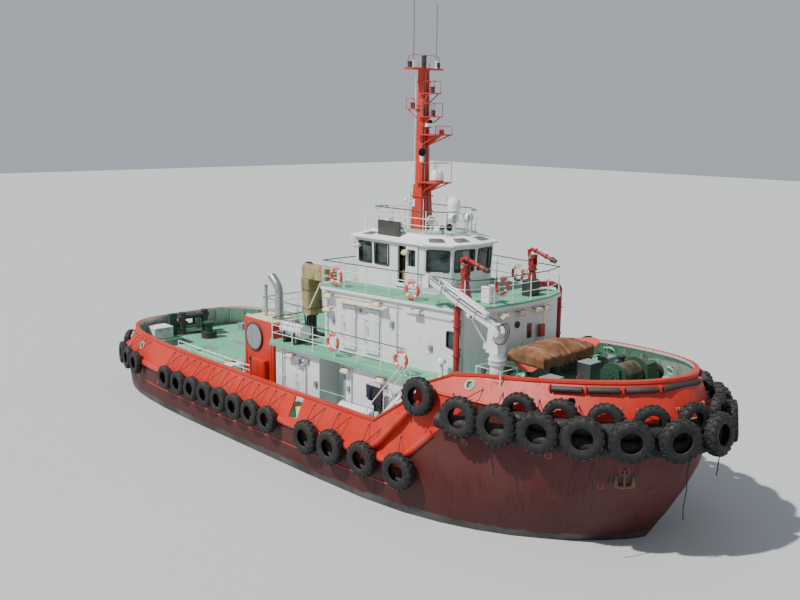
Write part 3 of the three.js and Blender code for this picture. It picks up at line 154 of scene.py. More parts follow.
def add_node(tree, kind, settings=None, **sockets):
    node = tree.nodes.new(kind)
    for key, value in (settings or {}).items():
        setattr(node, key, value)
    for key, value in sockets.items():
        socket = node.inputs[int(key[1:])] if key[0] == "i" and key[1:].isdigit() else node.inputs[key]
        if isinstance(value, bpy.types.NodeSocket):
            tree.links.new(value, socket)
        else:
            socket.default_value = value
    return node


def colour(red, green, blue):
    """A colour from the usual 0 to 255 numbers, as the linear one that shaders take."""
    return (*[(c / 255) ** 2.2 for c in (red, green, blue)], 1)


def calc(tree, operation, a, b=0.0):
    return add_node(tree, "ShaderNodeMath", {"operation": operation}, i0=a, i1=b).outputs[0]


def times(tree, a, b):
    return calc(tree, "MULTIPLY", a, b)


def plus(tree, a, b):
    return calc(tree, "ADD", a, b)


def object_place(tree):
    return tree.nodes.new("ShaderNodeTexCoord").outputs["Object"]


def surface_normal(tree):
    return tree.nodes.new("ShaderNodeNewGeometry").outputs["Normal"]


def height_of(tree, vector):
    return add_node(tree, "ShaderNodeSeparateXYZ", None, Vector=vector).outputs["Z"]


def blend(tree, share, a, b):
    """From colour a to colour b, by a share from 0 to 1."""
    return add_node(tree, "ShaderNodeMix", {"data_type": "RGBA"}, i0=share, i6=a, i7=b).outputs[2]


def between(tree, value, low, high, to_low=0.0, to_high=1.0):
    """value's place from low to high, as to_low to to_high, held at the ends."""
    node = add_node(tree, "ShaderNodeMapRange", None, i0=value, i1=low, i2=high, i3=to_low, i4=to_high)
    return node.outputs[0]


def grain(tree, vector, scale, detail=4.0, stretch=(1, 1, 1)):
    if stretch != (1, 1, 1):
        vector = add_node(tree, "ShaderNodeMapping", None, Vector=vector, Scale=stretch).outputs[0]
    return add_node(tree, "ShaderNodeTexNoise", None, Vector=vector, Scale=scale, Detail=detail).outputs[0]


def new_group(name, inputs, outputs):
    tree = bpy.data.node_groups.new(name, "ShaderNodeTree")
    for label, kind, value in inputs:
        socket = tree.interface.new_socket(label, in_out="INPUT", socket_type=kind)
        socket.default_value = value
    for label, kind in outputs:
        tree.interface.new_socket(label, in_out="OUTPUT", socket_type=kind)
    return tree, tree.nodes.new("NodeGroupInput"), tree.nodes.new("NodeGroupOutput")


# %% [markdown]
# Ship's paint ages in a few ways at once: the sun bleaches it in broad patches, rain draws dirt and rust
# down in thin streaks, and knocks leave small rusty spots. One node group holds all of that, and each
# painted material gives it a paint colour and how much of each kind of wear it has.

# %% Weathered paint group
PAINT_INPUTS = [
    ("Paint", "NodeSocketColor", (0.8, 0.8, 0.8, 1)),
    ("Stain", "NodeSocketColor", colour(104, 62, 38)),
    ("Bleach", "NodeSocketFloat", 0.15),
    ("Streaks", "NodeSocketFloat", 0.3),
    ("Spots", "NodeSocketFloat", 0.2),
    ("Roughness", "NodeSocketFloat", 0.5),
]
PAINT_OUTPUTS = [
    ("Color", "NodeSocketColor"), ("Roughness", "NodeSocketFloat"), ("Height", "NodeSocketFloat")
]


def make_paint_group():
    tree, given, out = new_group("weathered_paint", PAINT_INPUTS, PAINT_OUTPUTS)
    place = object_place(tree)
    patches = between(tree, grain(tree, place, 0.7, 5), 0.35, 0.7)
    blotches = between(tree, grain(tree, place, 4.0, 5), 0.4, 0.75)
    runs = between(tree, grain(tree, place, 2.2, 6, (3, 3, 0.16)), 0.5, 0.72)
    runs = times(tree, runs, between(tree, grain(tree, place, 0.9, 3), 0.35, 0.65))
    spots = between(tree, grain(tree, place, 9.0, 8), 0.62, 0.7)
    pale = blend(tree, 0.2, given.outputs["Paint"], (0.9, 0.86, 0.8, 1))
    shaded = blend(tree, 0.3, given.outputs["Paint"], (0.08, 0.06, 0.05, 1))
    faded = blend(tree, times(tree, patches, given.outputs["Bleach"]), given.outputs["Paint"], pale)
    grubby = blend(tree, times(tree, blotches, given.outputs["Bleach"]), faded, shaded)
    run_share = times(tree, runs, given.outputs["Streaks"])
    streaked = blend(tree, run_share, grubby, given.outputs["Stain"])
    spot_share = times(tree, spots, given.outputs["Spots"])
    final = blend(tree, spot_share, streaked, given.outputs["Stain"])
    worn = calc(tree, "MAXIMUM", run_share, spot_share)
    tree.links.new(final, out.inputs["Color"])
    rough = plus(tree, given.outputs["Roughness"], times(tree, worn, 0.35))
    tree.links.new(calc(tree, "MINIMUM", rough, 0.95), out.inputs["Roughness"])
    fine = times(tree, grain(tree, place, 45.0, 2), 0.25)
    dents = times(tree, grain(tree, place, 1.6, 2), 1.5)
    height = calc(tree, "SUBTRACT", plus(tree, fine, dents), times(tree, worn, 0.3))
    tree.links.new(height, out.inputs["Height"])
    return tree


paint_group = make_paint_group()


def start_material(name):
    made = bpy.data.materials.new(name)
    made.use_nodes = True
    return made, made.node_tree, made.node_tree.nodes["Principled BSDF"]


def finish_shader(tree, shader, base, rough, height, bump=0.25, distance=0.01):
    tree.links.new(base, shader.inputs["Base Color"])
    tree.links.new(rough, shader.inputs["Roughness"])
    ridge = add_node(tree, "ShaderNodeBump", None, Strength=bump, Distance=distance, Height=height)
    tree.links.new(ridge.outputs[0], shader.inputs["Normal"])


def aged(tree, paint, streaks=0.3, spots=0.2, bleach=0.15, rough=0.5, stain=colour(104, 62, 38)):
    group = add_node(tree, "ShaderNodeGroup", {"node_tree": paint_group}, Paint=paint, Stain=stain)
    for label, value in (("Streaks", streaks), ("Spots", spots), ("Bleach", bleach), ("Roughness", rough)):
        group.inputs[label].default_value = value
    return group


def painted(name, paint, metal=0.0, bump=0.25, **wear):
    made, tree, shader = start_material(name)
    group = aged(tree, paint, **wear)
    shader.inputs["Metallic"].default_value = metal
    finish_shader(
        tree, shader, group.outputs["Color"], group.outputs["Roughness"], group.outputs["Height"], bump
    )
    return made


ORANGE = colour(192, 38, 6)
# A darker red for the hull's side under the bulwark: painted shade under its flare.
HULL_RED_IN_PAINTED_SHADE = colour(76, 15, 8)
WHITE = colour(216, 220, 222)
DECK_GREEN = colour(88, 168, 134)
PALE_GREEN = colour(150, 196, 174)
paints = {
    "orange": painted("orange_paint", ORANGE, streaks=0.35, spots=0.25, bleach=0.25, rough=0.42),
    "white": painted(
        "white_paint", WHITE, streaks=0.2, spots=0.3, bleach=0.14, rough=0.45, stain=colour(128, 128, 126)
    ),
    "clean_white": painted("fresh_white_paint", colour(232, 235, 236), streaks=0.12, spots=0.1, bleach=0.1),
    "green_deck": painted("green_deck_paint", DECK_GREEN, streaks=0.1, spots=0.25, bleach=0.5, rough=0.75),
    "pale_green": painted("pale_green_paint", PALE_GREEN, streaks=0.2, spots=0.2, bleach=0.3, rough=0.6),
    "monitor_red": painted("dark_red_paint", colour(150, 28, 30), streaks=0.15, spots=0.15, rough=0.38),
    "winch_green": painted("dark_green_paint", colour(28, 66, 50), streaks=0.2, spots=0.3, rough=0.45),
    "black": painted("black_paint", colour(38, 40, 42), streaks=0.2, spots=0.35, bleach=0.3, rough=0.6),
    "grey": painted("grey_paint", colour(128, 134, 138), streaks=0.25, spots=0.25, rough=0.5),
    "steel": painted("bare_steel", colour(176, 178, 180), metal=0.85, streaks=0.2, spots=0.2, rough=0.34),
    "bronze": painted(
        "propeller_bronze", colour(176, 138, 72), metal=1.0, streaks=0.05, spots=0.1, rough=0.3
    ),
    "buoy": painted("lifebuoy_orange", colour(214, 78, 52), streaks=0.1, spots=0.05, bleach=0.35, rough=0.6),
    "yellow": painted("yellow_lid", colour(232, 200, 50), streaks=0.1, spots=0.1, rough=0.5),
    "dash": painted("dark_console", colour(52, 56, 60), streaks=0.05, spots=0.05, rough=0.55),
    "tan": painted("tan_lining", colour(196, 168, 118), streaks=0.1, spots=0.1, rough=0.6),
    "cream": painted("cream_paint", colour(222, 210, 178), streaks=0.25, spots=0.25, rough=0.5),
    "rust": painted("rusty_iron", colour(112, 66, 42), streaks=0.3, spots=0.5, bleach=0.3, rough=0.85),
    "inner_white": painted(
        "bulwark_white", colour(196, 200, 194), streaks=0.6, spots=0.4, bleach=0.2, rough=0.55
    ),
    "dark_rail": painted("dark_handrail", colour(58, 70, 66), streaks=0.1, spots=0.2, rough=0.5),
}
print("paints:", len(paints))

# %% [markdown]
# Old tyres are not black but a dusty dark grey, palest where spray dries on their upper faces. The share
# of dust follows the surface's own upward tilt, which Geometry's Normal gives without any camera.

# %% Rubber, glass and cloth


def make_rubber():
    made, tree, shader = start_material("old_rubber")
    place = object_place(tree)
    facing = surface_normal(tree)
    tilt = height_of(tree, facing)
    dust = times(tree, between(tree, tilt, -0.2, 1.0), between(tree, grain(tree, place, 5.0, 6), 0.3, 0.7))
    base = blend(tree, times(tree, dust, 0.6), colour(24, 24, 26), colour(78, 76, 74))
    scuffs = between(tree, grain(tree, place, 22.0, 5), 0.6, 0.72)
    base = blend(tree, times(tree, scuffs, 0.25), base, colour(104, 100, 94))
    rough = between(tree, grain(tree, place, 8.0, 3), 0.3, 0.7, 0.6, 0.92)
    finish_shader(tree, shader, base, rough, grain(tree, place, 60.0, 4), 0.35, 0.006)
    return made


def make_glass(name, tint):
    made, tree, shader = start_material(name)
    place = object_place(tree)
    film = between(tree, grain(tree, place, 1.8, 4), 0.35, 0.75)
    base = blend(tree, times(tree, film, 0.35), tint, colour(120, 140, 142))
    rough = between(tree, film, 0.0, 1.0, 0.03, 0.16)
    tree.links.new(base, shader.inputs["Base Color"])
    tree.links.new(rough, shader.inputs["Roughness"])
    shader.inputs["Alpha"].default_value = 0.72
    shader.inputs["IOR"].default_value = 1.5
    shader.inputs["Coat Weight"].default_value = 0.5
    return made


def make_weave_group():
    inputs = [("Threads", "NodeSocketFloat", 220.0), ("Depth", "NodeSocketFloat", 1.0)]
    tree, given, out = new_group(
        "plain_weave", inputs, [("Height", "NodeSocketFloat"), ("Mask", "NodeSocketFloat")]
    )
    place = object_place(tree)
    axes = add_node(tree, "ShaderNodeSeparateXYZ", None, Vector=place)
    across = plus(tree, axes.outputs["X"], axes.outputs["Y"])
    warp = calc(tree, "SINE", times(tree, across, given.outputs["Threads"]))
    weft = calc(tree, "SINE", times(tree, axes.outputs["Z"], given.outputs["Threads"]))
    height = times(tree, times(tree, warp, weft), given.outputs["Depth"])
    tree.links.new(height, out.inputs["Height"])
    tree.links.new(between(tree, height, -1.0, 1.0), out.inputs["Mask"])
    return tree


weave_group = make_weave_group()


def make_cloth(name, dye, faded, threads=220.0):
    made, tree, shader = start_material(name)
    place = object_place(tree)
    weave = add_node(tree, "ShaderNodeGroup", {"node_tree": weave_group}, Threads=threads, Depth=1.0)
    sun = between(tree, grain(tree, place, 1.5, 6), 0.35, 0.68)
    base = blend(tree, sun, dye, faded)
    stains = between(tree, grain(tree, place, 3.0, 6, (1.5, 1.5, 0.4)), 0.52, 0.7)
    base = blend(tree, times(tree, stains, 0.6), base, colour(70, 58, 40))
    base = blend(tree, times(tree, weave.outputs["Mask"], 0.12), base, (0.02, 0.02, 0.02, 1))
    rough = between(tree, sun, 0.0, 1.0, 0.85, 0.97)
    creases = times(tree, grain(tree, place, 9.0, 4), 6.0)
    finish_shader(tree, shader, base, rough, plus(tree, weave.outputs["Height"], creases), 0.5, 0.006)
    return made


def make_rope(name, pale, dark, pitch=130.0):
    made, tree, shader = start_material(name)
    place = object_place(tree)
    axes = add_node(tree, "ShaderNodeSeparateXYZ", None, Vector=place)
    lay = plus(tree, plus(tree, axes.outputs["X"], axes.outputs["Y"]), axes.outputs["Z"])
    twist = calc(tree, "SINE", times(tree, lay, pitch))
    base = blend(tree, between(tree, grain(tree, place, 2.5, 4), 0.35, 0.65), pale, dark)
    # The grooves between the strands are painted darker: painted shade along the lay.
    base = blend(tree, between(tree, twist, -1.0, 0.2, 0.5, 0.0), base, (0.02, 0.02, 0.02, 1))
    rough = between(tree, grain(tree, place, 20.0, 2), 0.3, 0.7, 0.8, 0.95)
    finish_shader(tree, shader, base, rough, twist, 0.7, 0.008)
    return made


rubber = make_rubber()
tinted_glass = make_glass("tinted_glass", colour(34, 48, 50))
canvas = make_cloth("tan_canvas", colour(142, 128, 88), colour(176, 162, 120))
boat_cloth = make_cloth("brown_cover", colour(108, 68, 44), colour(148, 104, 72))
pale_rope = make_rope("mooring_rope", colour(206, 200, 186), colour(150, 132, 96))
tow_rope = make_rope("tow_rope", colour(112, 104, 84), colour(64, 58, 46))
dark_rope = make_rope("tarred_rope", colour(52, 50, 50), colour(30, 30, 32))

# %% [markdown]
# The hull and its decks are one solid, so its paint has to know where it is. Height above the water tells the
# dark red lower side from the orange above it. That dark red is painted shade under the flare of the bulwark,
# and it grows darker towards the waterline. An upward normal at a deck's height means green deck paint, and
# what stands on the decks is black, apart from the chest at the stern.

# %% Hull and bulwark paint
DECK = 2.0
BOAT_DECK = 4.7  # also the foredeck
BRIDGE_DECK = 7.3
ROOF_EDGE = 9.15
TOP_DECK = 9.5
BOOT_TOP = 0.28
FORECASTLE_START = 7.6


def steps_over(tree, value, limit, soft=0.004):
    return between(tree, value, limit - soft, limit + soft)


# Under GUARD_TOP, and under the sloping strake, the side takes the darker red of painted shade.
GUARD_TOP = 1.95  # the hull's side is darker under this height
CHEST_X, CHEST_Y = -14.7, -1.4  # the white chest lies aft and to starboard of these
RISE_LINE = 5.35  # and under a sloping strake, where x less z is this


def deck_half(tree, x, z):
    """Half the width of the green decks, which end at the foot of the bulwark."""
    halves = []
    for half, end, power, root in ((4.75, 16.0, 3.0, 0.5), (5.3, 15.42, 3.0, 0.667), (5.3, -16.6, 4.0, 0.25)):
        taper = calc(tree, "POWER", between(tree, x, math.copysign(2.0, end), end), power)
        halves.append(times(tree, calc(tree, "POWER", calc(tree, "SUBTRACT", 1.0, taper), root), half))
    aft = calc(tree, "MINIMUM", halves[1], halves[2])
    high = steps_over(tree, z, 3.0)
    half = plus(tree, times(tree, halves[0], high), times(tree, aft, calc(tree, "SUBTRACT", 1.0, high)))
    return calc(tree, "SUBTRACT", half, 0.1)


def make_hull_paint():
    made, tree, shader = start_material("hull_paint")
    place = object_place(tree)
    axes = add_node(tree, "ShaderNodeSeparateXYZ", None, Vector=place)
    x, y, z = (axes.outputs[k] for k in "XYZ")
    normal = surface_normal(tree)
    flat = steps_over(tree, height_of(tree, normal), 0.8, 0.05)
    # The side's dark red is painted shade: the plating under the bulwark's flare lies in shadow.
    side = aged(tree, HULL_RED_IN_PAINTED_SHADE, streaks=0.45, spots=0.35, bleach=0.08, rough=0.6, stain=colour(40, 16, 12))
    bright = aged(tree, ORANGE, streaks=0.4, spots=0.3, bleach=0.15, rough=0.48, stain=colour(100, 38, 22))
    deck = aged(tree, DECK_GREEN, streaks=0.1, spots=0.25, bleach=0.5, rough=0.75)
    dark = aged(tree, colour(40, 42, 44), streaks=0.2, spots=0.4, bleach=0.4, rough=0.6)
    white = aged(tree, WHITE, streaks=0.4, spots=0.3)
    # Darker still towards the waterline: more painted shade.
    shade = blend(tree, between(tree, z, 0.2, 2.2, 0.5, 0.0), side.outputs["Color"], colour(44, 12, 8))
    rising = calc(tree, "LESS_THAN", calc(tree, "SUBTRACT", x, z), RISE_LINE)
    upper = times(tree, rising, steps_over(tree, z, GUARD_TOP))
    upper = calc(tree, "MAXIMUM", upper, steps_over(tree, z, BOAT_DECK - 0.05))
    shade = blend(tree, upper, shade, bright.outputs["Color"])
    wobble = times(tree, grain(tree, place, 1.2, 5, (1, 1, 0.3)), 0.3)
    wet = steps_over(tree, plus(tree, z, wobble), BOOT_TOP + 0.15, 0.04)
    skin = blend(tree, wet, dark.outputs["Color"], shade)
    aft = calc(tree, "SUBTRACT", 1.0, steps_over(tree, x, FORECASTLE_START - 0.3))
    above_aft = times(tree, steps_over(tree, z, DECK + 0.02), aft)
    above = calc(tree, "MAXIMUM", above_aft, steps_over(tree, z, BOAT_DECK + 0.02))
    decks = times(tree, flat, steps_over(tree, z, DECK - 0.03))
    inside = calc(tree, "LESS_THAN", calc(tree, "ABSOLUTE", y), deck_half(tree, x, z))
    decks = times(tree, decks, inside)
    skin = blend(tree, decks, skin, deck.outputs["Color"])
    skin = blend(tree, above, skin, dark.outputs["Color"])
    chest = times(tree, above_aft, calc(tree, "LESS_THAN", x, CHEST_X))
    chest = times(tree, chest, calc(tree, "LESS_THAN", y, CHEST_Y))
    skin = blend(tree, chest, skin, white.outputs["Color"])
    rough = plus(tree, side.outputs["Roughness"], times(tree, decks, 0.25))
    finish_shader(tree, shader, skin, rough, side.outputs["Height"], 0.5, 0.02)
    return made


def make_bulwark_paint():
    made, tree, shader = start_material("bulwark_paint")
    place = object_place(tree)
    normal = surface_normal(tree)
    reach = add_node(tree, "ShaderNodeVectorMath", {"operation": "MULTIPLY"}, i0=place, i1=(0.4, 1, 0))
    outward = add_node(
        tree, "ShaderNodeVectorMath", {"operation": "DOT_PRODUCT"}, i0=reach.outputs[0], i1=normal
    )
    tilt = height_of(tree, normal)
    out_share = steps_over(tree, outward.outputs["Value"], 0.0, 0.05)
    rim = steps_over(tree, tilt, 0.75, 0.05)
    outer = aged(tree, ORANGE, streaks=0.35, spots=0.35, bleach=0.14, rough=0.46, stain=colour(104, 40, 24))
    inner = aged(tree, colour(196, 200, 194), streaks=0.5, spots=0.4, bleach=0.2, rough=0.55)
    share = calc(tree, "MAXIMUM", out_share, rim)
    base = blend(tree, share, inner.outputs["Color"], outer.outputs["Color"])
    finish_shader(tree, shader, base, outer.outputs["Roughness"], outer.outputs["Height"], 0.45, 0.015)
    return made


def make_deck_slab_paint():
    """Green on top and at the edge's upper corner, and white below."""
    made, tree, shader = start_material("deck_slab_paint")
    normal = surface_normal(tree)
    tilt = height_of(tree, normal)
    top = aged(tree, DECK_GREEN, streaks=0.1, spots=0.25, bleach=0.5, rough=0.7)
    under = aged(tree, WHITE, streaks=0.2, spots=0.2)
    place = object_place(tree)
    z = height_of(tree, place)
    edge = plus(
        tree, steps_over(tree, z, BRIDGE_DECK - 0.07, 0.01), calc(tree, "LESS_THAN", z, BOAT_DECK + 0.1)
    )
    green = times(tree, steps_over(tree, tilt, -0.6, 0.1), calc(tree, "MINIMUM", edge, 1.0))
    base = blend(tree, green, under.outputs["Color"], top.outputs["Color"])
    finish_shader(tree, shader, base, top.outputs["Roughness"], top.outputs["Height"], 0.3, 0.01)
    return made


def make_roof_paint():
    """White sides and a green top deck."""
    made, tree, shader = start_material("roof_paint")
    place = object_place(tree)
    z = height_of(tree, place)
    normal = surface_normal(tree)
    tilt = height_of(tree, normal)
    level = times(tree, steps_over(tree, tilt, 0.97, 0.01), calc(tree, "LESS_THAN", z, TOP_DECK + 0.02))
    level = times(tree, level, steps_over(tree, z, TOP_DECK - 0.02))
    top = aged(tree, PALE_GREEN, streaks=0.1, spots=0.25, bleach=0.4, rough=0.7)
    side = aged(tree, colour(236, 239, 240), streaks=0.15, spots=0.12, bleach=0.08)
    base = blend(tree, level, side.outputs["Color"], top.outputs["Color"])
    finish_shader(tree, shader, base, side.outputs["Roughness"], side.outputs["Height"], 0.2, 0.01)
    return made


hull_paint = make_hull_paint()
bulwark_paint = make_bulwark_paint()
slab_paint = make_deck_slab_paint()
roof_paint = make_roof_paint()

# %% [markdown]
# Most of a ship's fittings are boxes, bent pipe, plate and turned shapes, so a handful of helpers covers
# them. Each one starts from a bmesh.ops shape, finishes it with bevel, bridge or spin, and adds it to the
# piece's own bmesh. A piece gathers many of them in one mesh, so that it can be turned and shown as a whole.

# %% Shape helpers
BODY = "vessel"
AHEAD, PORT, UP = Vector((1, 0, 0)), Vector((0, 1, 0)), Vector((0, 0, 1))
made_triangles = {}


def gather(bm, small, material=0, place=None):
    """Adds a small bmesh to a larger one, with its material's number and its place."""
    for face in small.faces:
        face.material_index = material
    if place is not None:
        small.transform(place)
    mesh = bpy.data.meshes.new("gathered")
    small.to_mesh(mesh)
    small.free()
    bm.from_mesh(mesh)
    bpy.data.meshes.remove(mesh)


def piece(name, bm, finish, body=BODY, smooth=35, replaces=()):
    """Makes the bmesh an object that rides on a body, shaded smooth but for edges over that many degrees."""
    limit = math.radians(smooth)
    for face in bm.faces:
        face.smooth = True
    for edge in bm.edges:
        edge.smooth = len(edge.link_faces) == 2 and edge.calc_face_angle(0) < limit
    made_triangles[name] = sum(len(face.verts) - 2 for face in bm.faces)
    mesh = bpy.data.meshes.new(name)
    bm.to_mesh(mesh)
    bm.free()
    for each in finish if isinstance(finish, list) else [finish]:
        mesh.materials.append(each)
    made = bpy.data.objects.new(name, mesh)
    bpy.context.scene.collection.objects.link(made)
    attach(made, body)
    if replaces:
        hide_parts(*replaces)
    return made


def spread_turns(count):
    return [math.tau * k / count for k in range(count)]


def thicken(made, thickness):
    made.modifiers.new("thickness", "SOLIDIFY").thickness = thickness


def basis(along, side=None):
    """A 4x4 turn whose Z is along, and whose X is as near side as it can be."""
    z = Vector(along).normalized()
    x = Vector(side) if side is not None else (UP if abs(z.z) < 0.9 else AHEAD).cross(z)
    x = (x - z * x.dot(z)).normalized()
    return Matrix((x, z.cross(x), z)).transposed().to_4x4()


def placed(turn, at):
    made = turn.copy()
    made.translation = Vector(at)
    return made


def round_edges(small, width, segments=1, over=None):
    edges = small.edges if over is None else [e for e in small.edges if e.calc_face_angle(0) > over]
    bmesh.ops.bevel(
        small,
        geom=list(edges),
        offset=width,
        segments=segments,
        profile=0.5,
        affect="EDGES",
        clamp_overlap=True,
        material=-1,
    )


def add_box(bm, low, high, bevel=0.012, material=0, place=None, segments=1):
    """A box between two opposite corners, with its edges bevelled."""
    corners = list(zip(low, high))
    low, high = Vector(map(min, corners)), Vector(map(max, corners))
    size = high - low
    small = bmesh.new()
    bmesh.ops.create_cube(small, size=1)
    bmesh.ops.scale(small, vec=size, verts=small.verts)
    bmesh.ops.translate(small, vec=(low + high) / 2, verts=small.verts)
    width = min(bevel, min(size) * 0.45)
    if width > 0:
        round_edges(small, width, segments)
    gather(bm, small, material, place)


def block(bm, at, size, bevel=0.012, material=0, segments=1):
    """A box of a size that stands with the middle of its foot at a place."""
    (x, y, z), (w, d, h) = at, size
    low, high = (x - w / 2, y - d / 2, z), (x + w / 2, y + d / 2, z + h)
    add_box(bm, low, high, bevel, material, segments=segments)


def add_rod(bm, start, end, radius, radius_end=None, sides=10, material=0, bevel=0):
    start, end = Vector(start), Vector(end)
    small = bmesh.new()
    bmesh.ops.create_cone(
        small,
        cap_ends=True,
        segments=sides,
        radius1=radius,
        radius2=radius if radius_end is None else radius_end,
        depth=(end - start).length,
    )
    if bevel:
        round_edges(small, bevel, 2, math.radians(50))
    gather(bm, small, material, placed(basis(end - start), (start + end) / 2))


def ring_at(small, at, turn, radius, sides):
    made = bmesh.ops.create_circle(
        small, cap_ends=False, segments=sides, radius=radius, matrix=placed(turn, at)
    )
    return made["verts"]


def ring_edges(ring):
    members = set(ring)
    return list({e for v in ring for e in v.link_edges if all(end in members for end in e.verts)})


def add_pipe(bm, points, radius, sides=8, closed=False, material=0):
    """A pipe through the points: a circle of edges at each one, bridged to the next."""
    points = [Vector(p) for p in points]
    count = len(points)
    radii = radius if isinstance(radius, (list, tuple)) else [radius] * count
    small = bmesh.new()
    rings = []
    side = None
    for k, here in enumerate(points):
        ahead = points[(k + 1) % count] if closed else points[min(k + 1, count - 1)]
        behind = points[k - 1] if closed else points[max(k - 1, 0)]
        along = (ahead - here).normalized() + (here - behind).normalized()
        turn = basis(along, side)
        side = turn.col[0].to_3d()
        rings.append(ring_at(small, here, turn, radii[k], sides))
    loops = [ring_edges(ring) for ring in rings]
    for a, b in zip(loops, loops[1:] + loops[:1] if closed else loops[1:]):
        bmesh.ops.bridge_loops(small, edges=a + b)
    if not closed:
        for ring in (rings[0], rings[-1]):
            bmesh.ops.contextual_create(small, geom=ring)
    bmesh.ops.recalc_face_normals(small, faces=small.faces)
    gather(bm, small, material)


def smooth_path(points, rounds=3):
    """The points with their corners cut a few times, so that a pipe bends in a curve."""
    points = [Vector(p) for p in points]
    for _ in range(rounds):
        cut = [points[0]]
        for a, b in zip(points, points[1:]):
            cut += [a.lerp(b, 0.25), a.lerp(b, 0.75)]
        cut[1:2], cut[-1:] = [], [points[-1]]
        points = cut[:-1] + [points[-1]]
    return points


def turned(profile, steps=16):
    """A bmesh of a profile of (radius, height) points spun about Z."""
    small = bmesh.new()
    line = [small.verts.new((r, 0, z)) for r, z in profile]
    edges = [small.edges.new(pair) for pair in zip(line, line[1:])]
    bmesh.ops.spin(
        small, geom=line + edges, axis=(0, 0, 1), cent=(0, 0, 0), angle=math.tau, steps=steps, use_merge=True
    )
    bmesh.ops.remove_doubles(small, verts=small.verts, dist=0.0002)
    bmesh.ops.recalc_face_normals(small, faces=small.faces)
    return small


def add_turned(bm, profile, at, along=UP, steps=16, material=0):
    gather(bm, turned(profile, steps), material, placed(basis(along), at))


def add_disc(bm, at, along, radius, thick, steps=24, material=0):
    add_turned(bm, [(0, 0), (radius, 0), (radius, thick), (0, thick)], at, along, steps, material)


def add_ring(bm, at, along, radius, thick, steps=20, sides=8, material=0):
    """A round ring of round section, such as a chock's lip."""
    small = bmesh.new()
    section = bmesh.ops.create_circle(
        small, segments=sides, radius=thick, matrix=Matrix.Translation((radius, 0, 0)) @ basis(PORT, AHEAD)
    )
    geom = section["verts"] + ring_edges(section["verts"])
    bmesh.ops.spin(
        small, geom=geom, axis=(0, 0, 1), cent=(0, 0, 0), angle=math.tau, steps=steps, use_merge=True
    )
    bmesh.ops.remove_doubles(small, verts=small.verts, dist=0.0002)
    bmesh.ops.recalc_face_normals(small, faces=small.faces)
    gather(bm, small, material, placed(basis(along), at))


def only_verts(geom):
    return [v for v in geom if isinstance(v, bmesh.types.BMVert)]


def add_plate(bm, outline, thick, material=0, bevel=0.0, place=None):
    """A plate: its outline's corners make one face, which is extruded by the vector thick."""
    small = bmesh.new()
    face = small.faces.new([small.verts.new(p) for p in outline])
    made = bmesh.ops.extrude_face_region(small, geom=[face])["geom"]
    bmesh.ops.translate(small, vec=thick, verts=only_verts(made))
    bmesh.ops.recalc_face_normals(small, faces=small.faces)
    if bevel:
        round_edges(small, bevel, 1, math.radians(30))
    gather(bm, small, material, place)


def rounded(outline, cut):
    """An outline with each corner cut in three, for a window or a hatch."""
    made = []
    for k, here in enumerate(outline):
        here, before, after = Vector(here), Vector(outline[k - 1]), Vector(outline[(k + 1) % len(outline)])
        a = here + (before - here).normalized() * cut
        b = here + (after - here).normalized() * cut
        made += [a, (a + b) / 4 + here / 2, b]
    return made


# %% [markdown]
# The solids' own nodes are loose triangles with flat faces. A copy of each, welded and with its flat
# triangles dissolved into whole plates, can be shaded smooth and have its edges softened a little, as
# plating and castings really are. The copy takes the node's place in the picture.

# %% Skins of the solids


SKIN_SMOOTH = 34


def skin(node_name, finish, slot, edge):
    """A welded and softened copy of a node, which takes the node's place."""
    bm = bmesh.new()
    bm.from_mesh(nodes[node_name].data)
    bmesh.ops.remove_doubles(bm, verts=bm.verts, dist=0.0004)
    bmesh.ops.dissolve_limit(bm, angle_limit=math.radians(0.4), verts=bm.verts, edges=bm.edges)
    made = piece(node_name + "_skin", bm, finish, nodes[node_name]["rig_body"], SKIN_SMOOTH, [node_name])
    if edge:
        soften = made.modifiers.new("soft_edges", "BEVEL")
        soften.width = edge
        soften.segments = 2
        soften.limit_method = "ANGLE"
        soften.angle_limit = math.radians(38)
        soften.harden_normals = True
    return made



by_node = {
    "hull": (hull_paint, 0.012),
    "bulwark_aft": (bulwark_paint, 0.012),
    "bulwark_fore": (bulwark_paint, 0.012),
    "boat_deck": (slab_paint, 0.015),
    "bridge_deck": (slab_paint, 0.015),
    "wheelhouse_roof": (roof_paint, 0.02),
    "wheelhouse_glazing": (tinted_glass, 0),
    "towing_posts": (paints["black"], 0.01),
    "alcove_tank": (paints["grey"], 0.01),
    "radar_scanner": (paints["clean_white"], 0.02),
    "ladder_starboard": (paints["clean_white"], 0.004),
    "ladder_port": (paints["clean_white"], 0.004),
    "deckhouse_lower": (paints["white"], 0.02),
    "deckhouse_upper": (paints["white"], 0.03),
    "wheelhouse": (paints["white"], 0.015),
}
by_slot = {
    "hull_orange": paints["orange"],
    "house_white": paints["white"],
    "deck_green": paints["green_deck"],
    "monitor_red": paints["monitor_red"],
    "winch_green": paints["winch_green"],
    "bronze": paints["bronze"],
    "steel_bare": paints["steel"],
    "steel_dark": paints["black"],
    "tyre_black": rubber,
    "canvas_tan": canvas,
    "cover_orange": boat_cloth,
    "glass_dark": tinted_glass,
    "dash_grey": paints["dash"],
    "rope": pale_rope,
}
slot_of = {part["node"]: part["material_slot"] for part in frame["record"]["subparts"]}
remade = {
    "fender_side_starboard",
    "fender_side_port",
    "fender_stern",
    "fender_bow",
    "railing_boat_deck",
    "railing_bridge_deck",
    "railing_top_deck",
    "rope_coil",
    "rescue_boat",
    "rescue_boat_cover",
    "aft_crane_cover",
    "propeller_starboard",
    "propeller_port",
}
for node_name in sorted(set(nodes) - remade):
    finish, edge = by_node.get(node_name, (by_slot[slot_of[node_name]], 0.006))
    skin(node_name, finish, slot_of[node_name], edge)
print("skins:", len(nodes) - len(remade))

# %% [markdown]
# The hull's outline is a table of levels, each with its ends, half its beam and how full its bow is. The
# same table places everything that follows the deck edge: tyres, strakes, ropes and rings.

